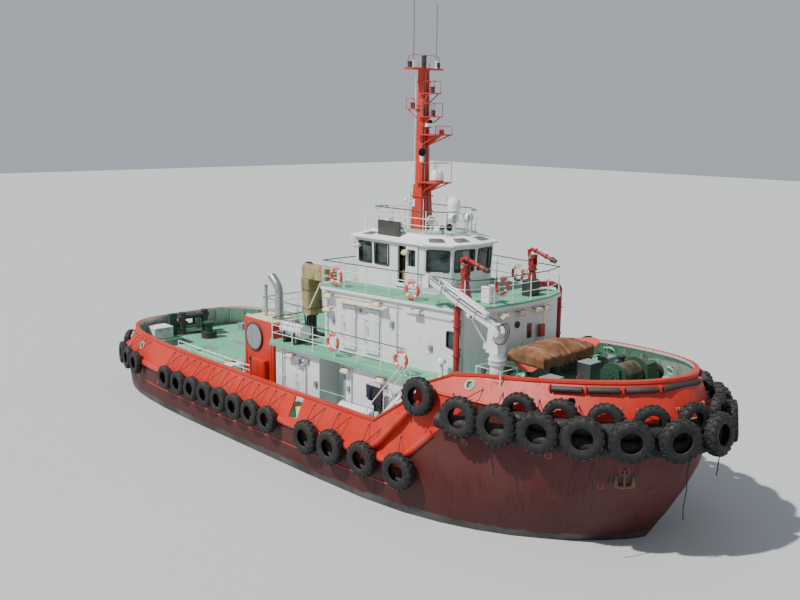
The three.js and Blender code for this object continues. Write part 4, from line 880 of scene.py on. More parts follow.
# %% The hull's edge
LEVELS = [  # height, aft end, fore end, half breadth, bow fullness
    (-0.7, -15.9, 13.85, 5.02, 1.25),
    (0.0, -16.3, 14.2, 5.18, 1.3),
    (1.0, -16.45, 14.85, 5.26, 1.4),
    (2.0, -16.6, 15.42, 5.3, 1.5),
    (2.9, -16.6, 15.8, 5.18, 1.67),
    (3.8, -16.6, 15.95, 4.95, 1.85),
    (4.7, -16.6, 16.0, 4.75, 2.0),
]
MID_AFT, MID_FORE = -2.0, 2.0


def level_at(z):
    z = min(max(z, LEVELS[0][0]), LEVELS[-1][0])
    for low, high in zip(LEVELS, LEVELS[1:]):
        if z <= high[0]:
            share = (z - low[0]) / (high[0] - low[0])
            return [a + (b - a) * share for a, b in zip(low, high)]


def half_breadth(level, x):
    _, aft, fore, half, fill = level
    if x < MID_AFT:
        share = min(1, (MID_AFT - x) / (MID_AFT - aft))
        return half * max(0.0, 1 - share**4) ** 0.25
    share = min(1, max(0, (x - MID_FORE) / (fore - MID_FORE)))
    return half * max(0.0, 1 - share**3) ** (1 / fill)


def edge_at(z, x, side):
    """The hull's point at a height and x, and the level direction out of it."""
    level = level_at(z)
    step = 0.02
    x = min(max(x, level[1] + 2 * step), level[2] - 2 * step)
    slope = (half_breadth(level, x + step) - half_breadth(level, x - step)) / (2 * step)
    return Vector((x, side * half_breadth(level, x), z)), Vector((-slope, side, 0)).normalized()


def bow_line(z, off, spacing, start, reach):
    """Points at even distances from the stem, out from the forecastle's edge, on the port side."""
    level = level_at(z)
    made, travelled, last, wanted = [], 0.0, None, start
    for k in range(4001):
        angle = math.pi / 2 * (1 - k / 4000)
        x = MID_FORE + (level[2] - MID_FORE) * math.sin(angle) ** (2 / 3)
        y = half_breadth(level, min(x, level[2] - 1e-9))
        if last:
            travelled += math.hypot(x - last[0], y - last[1])
        last = (x, y)
        if x < reach:
            break
        if travelled >= wanted:
            _, out = edge_at(z, min(x, level[2] - 0.04), 1)
            made.append((Vector((x, y, z)) + out * off, out))
            wanted += spacing
    return made


def round_the_bow(half, stem=()):
    mirror = Vector((1, -1, 1))
    return [(at * mirror, out * mirror) for at, out in reversed(half)] + list(stem) + half


def stern_at(z, y):
    level = level_at(z)

    def x_of(v):
        share = (1 - (abs(v) / level[3]) ** 4) ** 0.25
        return MID_AFT - (MID_AFT - level[1]) * share

    slope = (x_of(y + 0.02) - x_of(y - 0.02)) / 0.04
    return Vector((x_of(y), y, z)), Vector((-1, slope, 0)).normalized()


# %% [markdown]
# Used lorry and aircraft tyres hang on ropes all round the hull. One profile with its beads, round side
# walls and flat tread, spun about the axle, gives the tyre. Blocks of tread are then raised on it for the
# coarse tyres of the bow, and each tyre is turned by chance so that no two look the same.

# %% Tyres


def tyre_shape(radius, chunky, steps=36):
    half = radius * 0.3
    profile = [
        (0.54, -0.62),
        (0.5, -0.75),
        (0.52, -0.9),
        (0.6, -0.98),
        (0.72, -1.04),
        (0.86, -0.98),
        (0.94, -0.82),
        (0.985, -0.62),
        (1.0, -0.3),
        (1.0, 0.3),
        (0.985, 0.62),
        (0.94, 0.82),
        (0.86, 0.98),
        (0.72, 1.04),
        (0.6, 0.98),
        (0.52, 0.9),
        (0.5, 0.75),
        (0.54, 0.62),
        (0.62, 0.5),
        (0.88, 0.6),
        (0.9, 0),
        (0.88, -0.6),
        (0.62, -0.5),
        (0.54, -0.62),
    ]
    small = turned([(r * radius, z * half) for r, z in profile], steps)
    rim, tread = [], []
    for face in small.faces:
        middle = face.calc_center_median()
        reach = math.hypot(middle.x, middle.y) / radius
        sector = round(math.atan2(middle.y, middle.x) / math.tau * steps) % (2 if chunky else 3)
        outward = face.normal.dot(Vector((middle.x, middle.y, 0))) > 0.5 * radius * reach
        if outward and reach > 0.9 and sector == (0 if middle.z > 0 else 1) and chunky:
            tread.append(face)
        elif outward and reach > 0.955 and not chunky and sector != 0:
            rim.append(face)
    for group, height in ((tread, 0.05), (rim, 0.018)):
        if group:
            bmesh.ops.inset_individual(small, faces=group, thickness=radius * 0.012)
            for face in group:
                bmesh.ops.translate(small, vec=face.normal * radius * height, verts=face.verts)
    mesh = bpy.data.meshes.new("tyre")
    small.to_mesh(mesh)
    small.free()
    return mesh


def stamp(bm, mesh, place, material=0):
    """Adds a ready mesh at a place."""
    small = bmesh.new()
    small.from_mesh(mesh)
    gather(bm, small, material, place)


def hang_tyre(bm, mesh, at, out, tilt=0.0):
    spin = Matrix.Rotation(random.uniform(0, math.tau), 4, "Z")
    lean = Matrix.Rotation(tilt + random.uniform(-0.05, 0.05), 4, "X")
    stamp(bm, mesh, placed(basis(out, UP.cross(out)) @ lean @ spin, at))


SIDE_TYRE, FORE_TYRE = 0.56, 0.65  # radii; the larger tyres hang forward of FORE_START
FORE_START = 1
AFT_XS = [-14.2, -13.05, -11.9, -8.5, -7.25, -6.05, -4.9, -3.75, -2.55, -1.35, -0.15]
FORE_XS = [2.45, 3.95, 5.7, 7.45]
STERN_YS = [-3.1, -2.05, -1.0, 0.15, 1.3, 2.35, 3.35]
GUARD_Z = 1.98
TYRE_OFF = 0.25
STRAKE_Z, STRAKE_OFF, STRAKE_RADIUS = 1.88, 0.02, 0.13
small_tyre = tyre_shape(SIDE_TYRE, False)
fore_tyre = tyre_shape(FORE_TYRE, True)
SIDES = {"starboard": -1, "port": 1}
side_places = {
    name: [
        (*edge_at(GUARD_Z, x, side), *((SIDE_TYRE, 1.8) if x < FORE_START else (FORE_TYRE, 1.72)))
        for x in AFT_XS + FORE_XS
    ]
    for name, side in SIDES.items()
}


def edge_line(z, x_from, x_to, side, off, count):
    """Points along the hull's edge at a height, a little off the plating."""
    spots = [edge_at(z, x_from + (x_to - x_from) * k / count, side) for k in range(count + 1)]
    return [at + out * off for at, out in spots]


for name, side in SIDES.items():
    bm = bmesh.new()
    for at, out, radius, z in side_places[name]:
        place = (at + out * TYRE_OFF).xy.to_3d() + UP * z
        hang_tyre(bm, small_tyre if radius == SIDE_TYRE else fore_tyre, place, out)
    piece(f"side_tyres_{name}", bm, rubber, smooth=28)
    bm = bmesh.new()
    add_pipe(bm, edge_line(STRAKE_Z, -14.6, 7.6, side, STRAKE_OFF, 60), STRAKE_RADIUS, 8)
    piece(f"side_guard_{name}", bm, paints["orange"], replaces=[f"fender_side_{name}"])

bm = bmesh.new()
for y in STERN_YS:
    at, out = stern_at(GUARD_Z, y)
    hang_tyre(bm, small_tyre, (at + out * 0.22).xy.to_3d() + UP * 1.87, out)
piece("stern_tyres", bm, rubber, smooth=28)
bm = bmesh.new()
round_stern = [stern_at(STRAKE_Z, k * 0.35 - 4.9) for k in range(29)]
add_pipe(bm, [at + out * STRAKE_OFF for at, out in round_stern], STRAKE_RADIUS)
piece("stern_guard", bm, paints["orange"], replaces=["fender_stern"])
print("tyres on the sides and stern:", 2 * len(AFT_XS + FORE_XS) + len(STERN_YS))

# %% [markdown]
# The bow pushes ships, so it carries two rows of tyres on thick rubber logs. The upper row stands just under
# the rail, and the lower one overlaps it further out.

# %% Bow fender
BOW_ROWS = [  # height, off the hull, radius, spacing, first share, reach aft, log height, log off, log radius
    (4.74, 0.02, 0.56, 1.36, 0.5, 11.3, 4.4, 0.1, 0.275),
    (4.26, 0.42, 0.68, 1.33, 1.0, 8.7, 3.9, 0.275, 0.29),
]
bow_places = []
bm = bmesh.new()
logs = bmesh.new()
for z, off, radius, spread, first, reach, log_z, log_off, log in BOW_ROWS:
    level = level_at(z)
    stem = [(Vector((level[2] + off, 0, z)), AHEAD)] if first == 1 else []
    places = round_the_bow(bow_line(min(z, 4.7), off, spread, spread * first, reach), stem)
    shape = tyre_shape(radius, True)
    for at, out in places:
        middle = (at + out * radius * 0.3).xy.to_3d() + UP * z
        hang_tyre(bm, shape, middle, out, random.uniform(-0.06, 0.06))
        bow_places.append((middle, out, radius))
    stem = [(Vector((level_at(log_z)[2] + log_off, 0, log_z)), AHEAD)]
    line = round_the_bow(bow_line(log_z, log_off, spread / 4, spread / 4, reach), stem)
    add_pipe(logs, [at for at, _ in line], log, 14)
for side in SIDES.values():
    at, out = edge_at(4.4, 8.0, side)
    lean = (out + UP * 0.25).normalized()
    hang_tyre(bm, fore_tyre, at + out * 0.3 + UP * 0.1, lean, 0.1)
piece("bow_tyres", bm, rubber, smooth=28, replaces=["fender_bow"])
piece("bow_logs", logs, rubber)
print("tyres at the bow:", len(bow_places), "triangles:", made_triangles["bow_tyres"])

# %% [markdown]
# Everything that is fixed to a house wall is placed by how far forward it is, how far out from the plating
# and how high. A matrix for each wall turns such numbers into places on the boat, so that a door's handle
# or a lamp needs only its own small box.

# %% Walls
LOWER_WALL = ((-1.4, 4.17), (7.59, 3.61))
UPPER_WALL = ((0.95, 3.387), (8.0, 2.65))
WHEEL_WALL = ((1.08, 1.8), (4.97, 1.8))


def wall_place(wall, x, side, z=0.0):
    """A turn and place whose X runs forward along a wall, and whose Y points out of it."""
    (x0, y0), (x1, y1) = wall
    along = Vector((x1 - x0, side * (y1 - y0), 0)).normalized()
    out = Vector((-side * along.y, side * along.x, 0))
    at = Vector((x, side * (y0 + (y1 - y0) * (x - x0) / (x1 - x0)), z))
    turn = Matrix((along, out, UP)).transposed().to_4x4()
    return placed(turn, at)


def wall_box(bm, place, s, d, z, bevel=0.01, material=0):
    add_box(bm, (s[0], d[0], z[0]), (s[1], d[1], z[1]), bevel, material, place)


def wall_rod(bm, place, a, b, radius, sides=8, material=0):
    add_rod(bm, place @ Vector(a), place @ Vector(b), radius, sides=sides, material=material)


# %% [markdown]
# A ship's door is a plate with a pressed panel, a rubber seal and a row of dogs that clamp it. The dogs,
# hinges' straps and handle are small, but at this distance they are what makes a door look like one.

# %% Doors
LOWER_DOOR_X, LOWER_LEAF = 0.3, 0.51
DOORS = [  # name, wall, x, side, deck, half width, height
    ("door_lower_starboard", LOWER_WALL, LOWER_DOOR_X, -1, DECK, LOWER_LEAF / 2, 1.75),
    ("door_lower_port", LOWER_WALL, LOWER_DOOR_X, 1, DECK, LOWER_LEAF / 2, 1.75),
    ("door_upper_aft_starboard", UPPER_WALL, 2.37, -1, BOAT_DECK, 0.325, 1.75),
    ("door_upper_fore_starboard", UPPER_WALL, 3.63, -1, BOAT_DECK, 0.325, 1.75),
    ("door_upper_port", UPPER_WALL, 3.0, 1, BOAT_DECK, 0.325, 1.75),
]
DOOR_SILL = 0.18
LEAF_FACE = 0.074
trim = [paints["white"], paints["black"], paints["steel"], paints["cream"], paints["grey"]]
WHITE_TRIM, BLACK_TRIM, STEEL_TRIM, CREAM_TRIM, GREY_TRIM = range(5)

frames = bmesh.new()
for name, wall, x, side, deck, half, tall in DOORS:
    place = wall_place(wall, x, side)
    z0 = deck + DOOR_SILL
    bm = bmesh.new()
    panel = rounded(
        [
            (-half + 0.09, 0, z0 + 0.1), (half - 0.09, 0, z0 + 0.1), (half - 0.09, 0, z0 + tall - 0.1),
            (-half + 0.09, 0, z0 + tall - 0.1),
        ],
        0.1,
    )
    add_plate(
        bm, [Vector((p.x, LEAF_FACE - 0.002, p.z)) for p in panel], (0, 0.014, 0), WHITE_TRIM, 0.006, place
    )
    for level in (0.14, 0.42, 0.7, 1.0, 1.28, 1.58):
        if level != 0.7:
            wall_box(
                bm, place, (-half + 0.015, -half + 0.065), (LEAF_FACE - 0.01, LEAF_FACE + 0.03),
                (z0 + level, z0 + level + 0.03), 0.006, STEEL_TRIM,
            )
            wall_rod(
                bm, place, (-half + 0.04, LEAF_FACE, z0 + level + 0.015),
                (-half + 0.04, LEAF_FACE + 0.05, z0 + level + 0.015), 0.013, 6, BLACK_TRIM,
            )
            add_rod(
                bm, place @ Vector((-half + 0.04, LEAF_FACE + 0.04, z0 + level + 0.015)),
                place @ Vector((-half + 0.13, LEAF_FACE + 0.04, z0 + level - 0.06)), 0.009, sides=6,
                material=STEEL_TRIM,
            )
        wall_box(
            bm, place, (half - 0.2, half - 0.005), (LEAF_FACE - 0.01, LEAF_FACE + 0.012),
            (z0 + level, z0 + level + 0.05), 0.005, WHITE_TRIM,
        )
    add_pipe(
        bm,
        smooth_path(
            [
                place @ Vector((-half + 0.12, LEAF_FACE, z0 + 0.87 - 0.17)),
                place @ Vector((-half + 0.12, LEAF_FACE + 0.06, z0 + 0.87 - 0.17)),
                place @ Vector((-half + 0.12, LEAF_FACE + 0.06, z0 + 0.87 + 0.17)),
                place @ Vector((-half + 0.12, LEAF_FACE, z0 + 0.87 + 0.17)),
            ],
            2,
        ),
        0.011, 6, material=STEEL_TRIM,
    )
    piece(name + "_fittings", bm, trim, body=name)
    for s, proud in ((-half - 0.045, 0.035), (half + 0.075, 0.018)):
        wall_box(frames, place, (s - 0.012, s + 0.012), (-0.01, proud), (z0 - 0.03, z0 + tall + 0.03), 0.005)
    for z in (z0 - 0.045, z0 + tall + 0.02):
        wall_box(frames, place, (-half - 0.057, half + 0.087), (-0.01, 0.035), (z, z + 0.025), 0.005)
    wall_box(frames, place, (-half - 0.1, half + 0.1), (0.0, 0.16), (z0 - 0.17, z0 - 0.14), 0.006, GREY_TRIM)
    grab = -half - 0.14
    wall_rod(frames, place, (grab, 0.07, z0 + 0.5), (grab, 0.07, z0 + 1.35), 0.014, 6)
    for z in (z0 + 0.5, z0 + 1.35):
        wall_rod(frames, place, (grab, 0, z), (grab, 0.07, z), 0.014, 6)
print("doors dressed:", len(DOORS))

# %% [markdown]
# The plating of the houses was welded from sheets, so it shows seams and shallow swelling between frames.
# Thin raised beads carry the seams here. Long rain hoods, cream flood lamps, pipes and junction boxes are
# spread over it as they are on the real wall.

# %% House plating and fittings
SEAM = 0.006


def seams(bm, wall, side, xs, zs):
    for x in xs:
        place = wall_place(wall, x, side)
        wall_box(bm, place, (-0.008, 0.008), (-0.01, SEAM), (zs[0], zs[-1]), 0.003)
    length = Vector((wall[1][0] - wall[0][0], wall[1][1] - wall[0][1])).length
    start = wall_place(wall, wall[0][0], side)
    for z in zs[1:-1]:
        wall_box(bm, start, (0.03, length - 0.03), (-0.01, SEAM), (z - 0.008, z + 0.008), 0.003)


LAMP_TILT = math.radians(-28)
LAMPS = [  # wall, how far off it, width, and each lamp's x and z
    (UPPER_WALL, 0, 0.4, ((1.24, 6.42), (1.28, 6.98), (3.88, 6.98), (5.89, 6.98))),
    (LOWER_WALL, 0, 0.42, ((-0.32, 4.32), (3.02, 4.32), (4.94, 4.32))),
    (WHEEL_WALL, 0.05, 0.3, ((1.36, 8.93), (4.2, 8.93))),
]
WALL_BOXES = [  # wall, depth, and each box's x, z, width and height
    (
        LOWER_WALL, 0.1,
        ((0.64, 4.15, 0.22, 0.18), (1.15, 3.3, 0.16, 0.24), (3.1, 3.5, 0.14, 0.2), (5.6, 3.7, 0.2, 0.28)),
    ),
    (UPPER_WALL, 0.09, (
        (1.45, 5.9, 0.14, 0.2), (4.6, 6.2, 0.16, 0.24), (6.5, 5.6, 0.16, 0.2), (7.75, 6.4, 0.12, 0.18),
        (2.95, 6.5, 0.1, 0.12),
    )),
]


def flood_lamp(bm, place, width=0.42):
    """A cream flood lamp with its bracket and a pale front that looks down and out."""
    tilt = place @ Matrix.Rotation(LAMP_TILT, 4, "X")
    half = width / 2
    add_box(bm, (-half, 0.1, -0.08), (half, 0.3, 0.04), 0.02, CREAM_TRIM, tilt, 2)
    add_box(bm, (-half + 0.03, 0.12, -0.092), (half - 0.03, 0.28, -0.078), 0.004, STEEL_TRIM, tilt)
    for s in (-half - 0.015, half + 0.003):
        add_box(bm, (s, -0.02, -0.05), (s + 0.012, 0.22, 0.0), 0.003, GREY_TRIM, place)
    add_box(bm, (-half + 0.05, 0.14, 0.035), (half - 0.05, 0.26, 0.07), 0.01, CREAM_TRIM, tilt)


bm = bmesh.new()
for side in SIDES.values():
    seams(bm, UPPER_WALL, side, (1.6, 4.45, 6.0, 7.85), (BOAT_DECK + 0.02, 5.35, BRIDGE_DECK - 0.22))
    seams(bm, LOWER_WALL, side, (-1.2, 3.4, 5.2), (DECK + 0.02, 3.1, BOAT_DECK - 0.24))
    seams(bm, WHEEL_WALL, side, (2.95,), (BRIDGE_DECK + 0.02, 8.0, ROOF_EDGE - 0.1))
    hood = wall_place(UPPER_WALL, 3.12, side, BOAT_DECK + 2.1)
    add_plate(
        bm, [(-1.28, -0.01, 0.05), (1.28, -0.01, 0.05), (1.28, 0.28, 0.0), (-1.28, 0.28, 0.0)], (0, 0, -0.03),
        CREAM_TRIM, 0.006, hood,
    )
    add_box(bm, (-1.28, 0.265, -0.055), (1.28, 0.285, 0.005), 0.005, CREAM_TRIM, hood)
    for wall, off, width, lamps in LAMPS:
        for x, z in lamps:
            flood_lamp(bm, wall_place(wall, x, side, z) @ Matrix.Translation((0, off, 0)), width)
    for wall, deep, boxes in WALL_BOXES:
        for x, z, w, h in boxes:
            wall_box(
                bm, wall_place(wall, x, side), (-w / 2, w / 2), (0, deep), (z - h / 2, z + h / 2), 0.012,
                GREY_TRIM,
            )
    for wall, x, low, high, r in (
        (LOWER_WALL, -0.95, DECK, 4.45, 0.035),
        (LOWER_WALL, -0.83, DECK, 4.45, 0.025),
        (LOWER_WALL, 3.25, DECK, 4.45, 0.03),
        (UPPER_WALL, 1.12, BOAT_DECK, 7.05, 0.03),
        (UPPER_WALL, 4.85, BOAT_DECK, 7.05, 0.022),
        (UPPER_WALL, 7.92, BOAT_DECK, 7.05, 0.025),
        (WHEEL_WALL, 4.88, BRIDGE_DECK, 8.1, 0.02),
    ):
        place = wall_place(wall, x, side)
        wall_rod(bm, place, (0, 0.05, low + 0.01), (0, 0.05, high), r, 8)
        for share in (0.15, 0.5, 0.85):
            z = low + (high - low) * share
            wall_box(bm, place, (-r - 0.02, r + 0.02), (-0.01, 0.06 + r * 0.6), (z, z + 0.03), 0.004)
    for x, z in ((1.0, 6.9), (5.3, 6.75)):
        place = wall_place(UPPER_WALL, x, side)
        wall_rod(bm, place, (0.0, 0.04, z), (4.1 if x < 2 else 2.5, 0.04, z), 0.012, 6, GREY_TRIM)
front = placed(Matrix((PORT, AHEAD, UP)).transposed().to_4x4(), Vector((8.45, 0, 0)))
for y, z in ((-1.15, 7.0), (-0.2, 7.0), (0.75, 7.0), (1.3, 7.0)):
    flood_lamp(bm, front @ Matrix.Translation((y, 0, z)), 0.34)
for y in (-1.1, 1.2):
    wall_rod(bm, front, (y, 0.04, BOAT_DECK), (y, 0.04, 7.05), 0.022, 8)
piece("house_trim", bm, trim)

bm = frames
bulge = wall_place(LOWER_WALL, 3.55, -1, 0)
section = smooth_path([(0, -0.01, 2.95), (0, 0.18, 2.93), (0, 0.34, 2.75), (0, 0.34, 2.02)], 2)
add_plate(
    bm, [Vector((-0.85, 0, 0)) + p for p in section] + [Vector((-0.85, -0.01, 2.02))], (1.75, 0, 0),
    WHITE_TRIM, 0.02, bulge,
)
wall_box(bm, bulge, (-0.87, 0.92), (-0.01, 0.02), (2.955, 2.985), 0.008, GREY_TRIM)
piece("door_frames", bm, trim)

# %% [markdown]
# Wheelhouse panes are set in black rubber with rounded corners, between white mullions. Each rubber starts
# as one flat face: an inset leaves a ring of faces round it, the middle goes, and the ring is pushed out.

# %% Window rubbers
WINDOW_SILL, WINDOW_HEAD = 8.15, 8.98
LIP = 0.028  # how far a rubber's outer edge lies outside its opening
SIDE_PANE_X = 7.4
AFT_PANES = ((-1.55, -0.8), (-0.6, 0.6), (0.8, 1.55))
AFT_SILL_X, AFT_HEAD_X = 0.9984, 0.9434
HEAD_LINE = [(0.96, 1.8), (5.02, 1.8), (5.92, 1.15), (6.1, 0.0)]
FOOT_LINE = [(1.08, 1.8), (4.97, 1.8), (5.8, 1.1), (5.97, 0.0)]
WINDOWS = [(0, 0.05, 0.25), (0, 0.29, 0.51), (0, 0.8, 0.92), (1, 0.1, 0.9), (2, 0.1, 0.92)]


def wall_point(index, share, side, z):
    """The wheelhouse wall's point, leaning from its foot line to its head line."""
    rise = (z - BRIDGE_DECK) / (ROOF_EDGE - BRIDGE_DECK)
    ends = []
    for k in (index, index + 1):
        foot, head = Vector(FOOT_LINE[k]), Vector(HEAD_LINE[k])
        ends.append(foot.lerp(head, rise))
    flat = ends[0].lerp(ends[1], share)
    return Vector((flat.x, side * flat.y, z))


RUBBER_DEPTH = 0.03  # how far a rubber reaches into the wall


def rubber_round(bm, corners, out, width=0.055, proud=0.012):
    """A rounded frame round an opening whose four corners are given."""
    line = rounded(corners, 0.09)
    small = bmesh.new()
    face = small.faces.new([small.verts.new(p) for p in line])
    face.normal_update()
    bmesh.ops.inset_region(small, faces=[face], thickness=width, use_even_offset=True, use_boundary=True)
    bmesh.ops.delete(small, geom=[face], context="FACES_ONLY")
    walls = bmesh.ops.extrude_face_region(small, geom=list(small.faces))["geom"]
    bmesh.ops.translate(small, vec=out * (proud + RUBBER_DEPTH), verts=only_verts(walls))
    bmesh.ops.translate(small, vec=out * -RUBBER_DEPTH, verts=small.verts)
    bmesh.ops.recalc_face_normals(small, faces=small.faces)
    gather(bm, small)


bm = bmesh.new()
windows_done = 0
for side in SIDES.values():
    for index, start, end in WINDOWS:
        run = (Vector(HEAD_LINE[index + 1]) - Vector(HEAD_LINE[index])).length
        a, b = start - LIP / run, end + LIP / run
        corners = [
            wall_point(index, a, side, WINDOW_SILL - LIP),
            wall_point(index, b, side, WINDOW_SILL - LIP),
            wall_point(index, b, side, WINDOW_HEAD + LIP),
            wall_point(index, a, side, WINDOW_HEAD + LIP),
        ]
        out = (corners[1] - corners[0]).cross(corners[3] - corners[0]).normalized()
        if out.dot(Vector((0.3, side, 0))) < 0:
            out = -out
        rubber_round(bm, corners, out)
        windows_done += 1
low, high = (AFT_SILL_X, WINDOW_SILL - LIP), (AFT_HEAD_X, WINDOW_HEAD + LIP)
for y0, y1 in AFT_PANES:
    corners = [
        Vector((x, y, z))
        for (x, z), y in ((low, y0 - LIP), (low, y1 + LIP), (high, y1 + LIP), (high, y0 - LIP))
    ]
    rubber_round(bm, corners, Vector((-1, 0, -0.06)).normalized())
for side in SIDES.values():
    place = wall_place(UPPER_WALL, SIDE_PANE_X, side)
    corners = [
        place @ Vector(p)
        for p in ((-0.21, 0.0, 5.73), (0.21, 0.0, 5.73), (0.21, 0.0, 6.37), (-0.21, 0.0, 6.37))
    ]
    rubber_round(bm, corners, place.to_3x3() @ Vector((0, 1, 0)), 0.04, 0.02)
piece("window_rubbers", bm, paints["black"])
print("windows:", windows_done)

bm = bmesh.new()
for side in SIDES.values():
    place = wall_place(UPPER_WALL, SIDE_PANE_X, side)
    wall_box(bm, place, (-0.2, 0.2), (-0.06, -0.045), (5.74, 6.36), 0.002)
for y0, z0, w, h in ((0.32, 5.84, 0.26, 0.56), (-1.35, 5.84, 0.26, 0.56)):
    add_box(bm, (8.43, y0, z0), (8.465, y0 + w, z0 + h), 0.03)
piece("house_panes", bm, tinted_glass)

# %% [markdown]
# Dark skylights with round corners lie in the sloping white visor above the windows, so that the crew can
# look up at a ship's side. Each is a plate that lies in the slope between the roof's edge and its crown.

# %% Visor, board and roof gear
ROOF_LINE = [(0.83, 1.95), (5.07, 1.95), (6.07, 1.26), (6.28, 0)]
CROWN_LINE = [(1.5, 1.4), (4.6, 1.38), (5.3, 0.9), (5.45, 0)]
SLOPE_FOOT, SLOPE_TOP = 9.22, 9.44
SKYLIGHTS = [(0, 0.1, 0.24), (1, 0.2, 0.8), (2, 0.2, 0.76)]
bm = bmesh.new()
for side in SIDES.values():
    for index, start, end in SKYLIGHTS:
        corners = []
        for share, height in ((start, 0.25), (end, 0.25), (end, 0.75), (start, 0.75)):
            low = Vector(ROOF_LINE[index]).lerp(Vector(ROOF_LINE[index + 1]), share)
            high = Vector(CROWN_LINE[index]).lerp(Vector(CROWN_LINE[index + 1]), share)
            flat = low.lerp(high, height)
            corners.append(Vector((flat.x, side * flat.y, SLOPE_FOOT + (SLOPE_TOP - SLOPE_FOOT) * height)))
        line = rounded(corners, 0.09)
        out = (corners[1] - corners[0]).cross(corners[3] - corners[0]).normalized()
        out = out if out.z > 0 else -out
        add_plate(bm, [p - out * 0.01 for p in line], out * 0.022, 0, 0.004)
piece("skylights", bm, [tinted_glass])

bm = bmesh.new()
add_box(bm, (2.225, -1.695, 9.25), (3.505, -1.605, 9.915), 0.01)
for x in (2.4, 3.35):
    add_rod(bm, (x, -1.6, 9.8), (x, -1.28, 9.49), 0.02, sides=6)
piece("dark_board", bm, paints["black"])

# %% [markdown]
# Railings are round tube: posts on small feet about every 1.3 m, two lower rails and a hand rail. They run
# along the same lines as their solids, and the posts stand on the deck a little inside its edge.

# %% Railings


def along_line(line, pitch):
    """The corners of a line with points between them at most a pitch apart."""
    made = []
    for a, b in zip(line, line[1:]):
        a, b = Vector(a), Vector(b)
        parts = max(1, math.ceil((b - a).length / pitch))
        made += [a.lerp(b, k / parts) for k in range(parts)]
    return made + [Vector(line[-1])]


def railing(bm, line, deck, tall, levels, pitch=1.35):
    corners = [Vector((x, y, deck + tall)) for x, y in line]
    for k, share in enumerate(levels):
        rail = smooth_path([Vector((c.x, c.y, deck + tall * share)) for c in corners], 0)
        add_pipe(bm, rail, 0.021 if k == 0 else 0.014, 8, material=1 if k == 0 else 0)
    for spot in along_line(line, pitch):
        add_rod(bm, (spot.x, spot.y, deck), (spot.x, spot.y, deck + tall), 0.019, sides=8)
        add_rod(bm, (spot.x, spot.y, deck), (spot.x, spot.y, deck + 0.02), 0.05, sides=8)
        add_box(
            bm, (spot.x - 0.006, spot.y - 0.05, deck), (spot.x + 0.006, spot.y + 0.05, deck + 0.12), 0.003
        )


BOAT_RAIL = [
    (6.3, -3.88), (-1.42, -4.33), (-1.42, -2.04), (-5.42, -2.04), (-5.42, 2.04), (-1.42, 2.04), (-1.42, 4.33),
    (6.3, 3.88),
]
BRIDGE_RAIL = [
    (0.88, -0.7), (0.88, -3.427), (8.02, -2.68), (8.4, -1.53), (8.4, 1.53), (8.02, 2.68), (0.88, 3.427),
    (0.88, 0.7),
]
TOP_RAIL = [(1.6, -0.6), (1.6, -1.31), (4.57, -1.29), (5.21, -0.84), (5.34, -0.4)]
rail_paints = [paints["clean_white"], paints["dark_rail"]]
for node_name, lines, deck, tall in (
    ("railing_boat_deck", [BOAT_RAIL], BOAT_DECK, 1.0),
    ("railing_bridge_deck", [BRIDGE_RAIL], BRIDGE_DECK, 1.0),
    ("railing_top_deck", [TOP_RAIL, [(x, -y) for x, y in TOP_RAIL]], TOP_DECK, 0.9),
):
    bm = bmesh.new()
    for line in lines:
        railing(bm, line, deck, tall, (0.98, 0.66, 0.34))
    piece(node_name + "_tubes", bm, rail_paints, replaces=[node_name])

# %% [markdown]
# A lifebuoy is a fat ring with four pale bands, and it hangs in a small cradle on a rail or wall. The bands
# are short stretches of the same ring, a little fatter than it, so they need no drawing on the surface.

# %% Lifebuoys
buoy_mats = [paints["buoy"], paints["clean_white"], dark_rope, paints["white"]]


def add_arc(bm, place, radius, thick, start, sweep, steps, sides=10, material=0):
    small = bmesh.new()
    section = bmesh.ops.create_circle(
        small, segments=sides, radius=thick,
        matrix=Matrix.Rotation(start, 4, "Z") @ Matrix.Translation((radius, 0, 0)) @ basis(PORT, AHEAD),
    )
    ring = section["verts"]
    bmesh.ops.contextual_create(small, geom=list(ring))
    bmesh.ops.spin(
        small, geom=list(small.verts) + list(small.edges) + list(small.faces), axis=(0, 0, 1), cent=(0, 0, 0),
        angle=sweep, steps=steps,
    )
    bmesh.ops.recalc_face_normals(small, faces=small.faces)
    gather(bm, small, material, place)


def lifebuoy(bm, at, out):
    place = placed(basis(out, UP.cross(Vector(out))), Vector(at) + Vector(out) * 0.07)
    add_ring(bm, place.translation, out, 0.29, 0.06, 32, 10, 0)
    for k in range(4):
        angle = math.tau * (k + 0.5) / 4
        add_arc(bm, place, 0.29, 0.064, angle - 0.16, 0.32, 4, 10, 1)
        line = []
        for j in range(9):
            turn = math.tau * (k + 0.5 + j / 8) / 4
            sag = 0.375 + 0.015 * math.sin(math.pi * j / 8)
            line.append(place @ Vector((math.cos(turn) * sag, math.sin(turn) * sag, 0.02)))
        add_pipe(bm, line, 0.007, 5, material=2)
    for s in (-0.2, 0.2):
        hook = [
            place @ Vector((s, -0.36, -0.1)), place @ Vector((s, -0.36, 0.08)),
            place @ Vector((s, -0.27, 0.09)),
        ]
        add_pipe(bm, hook, 0.008, 5, material=3)


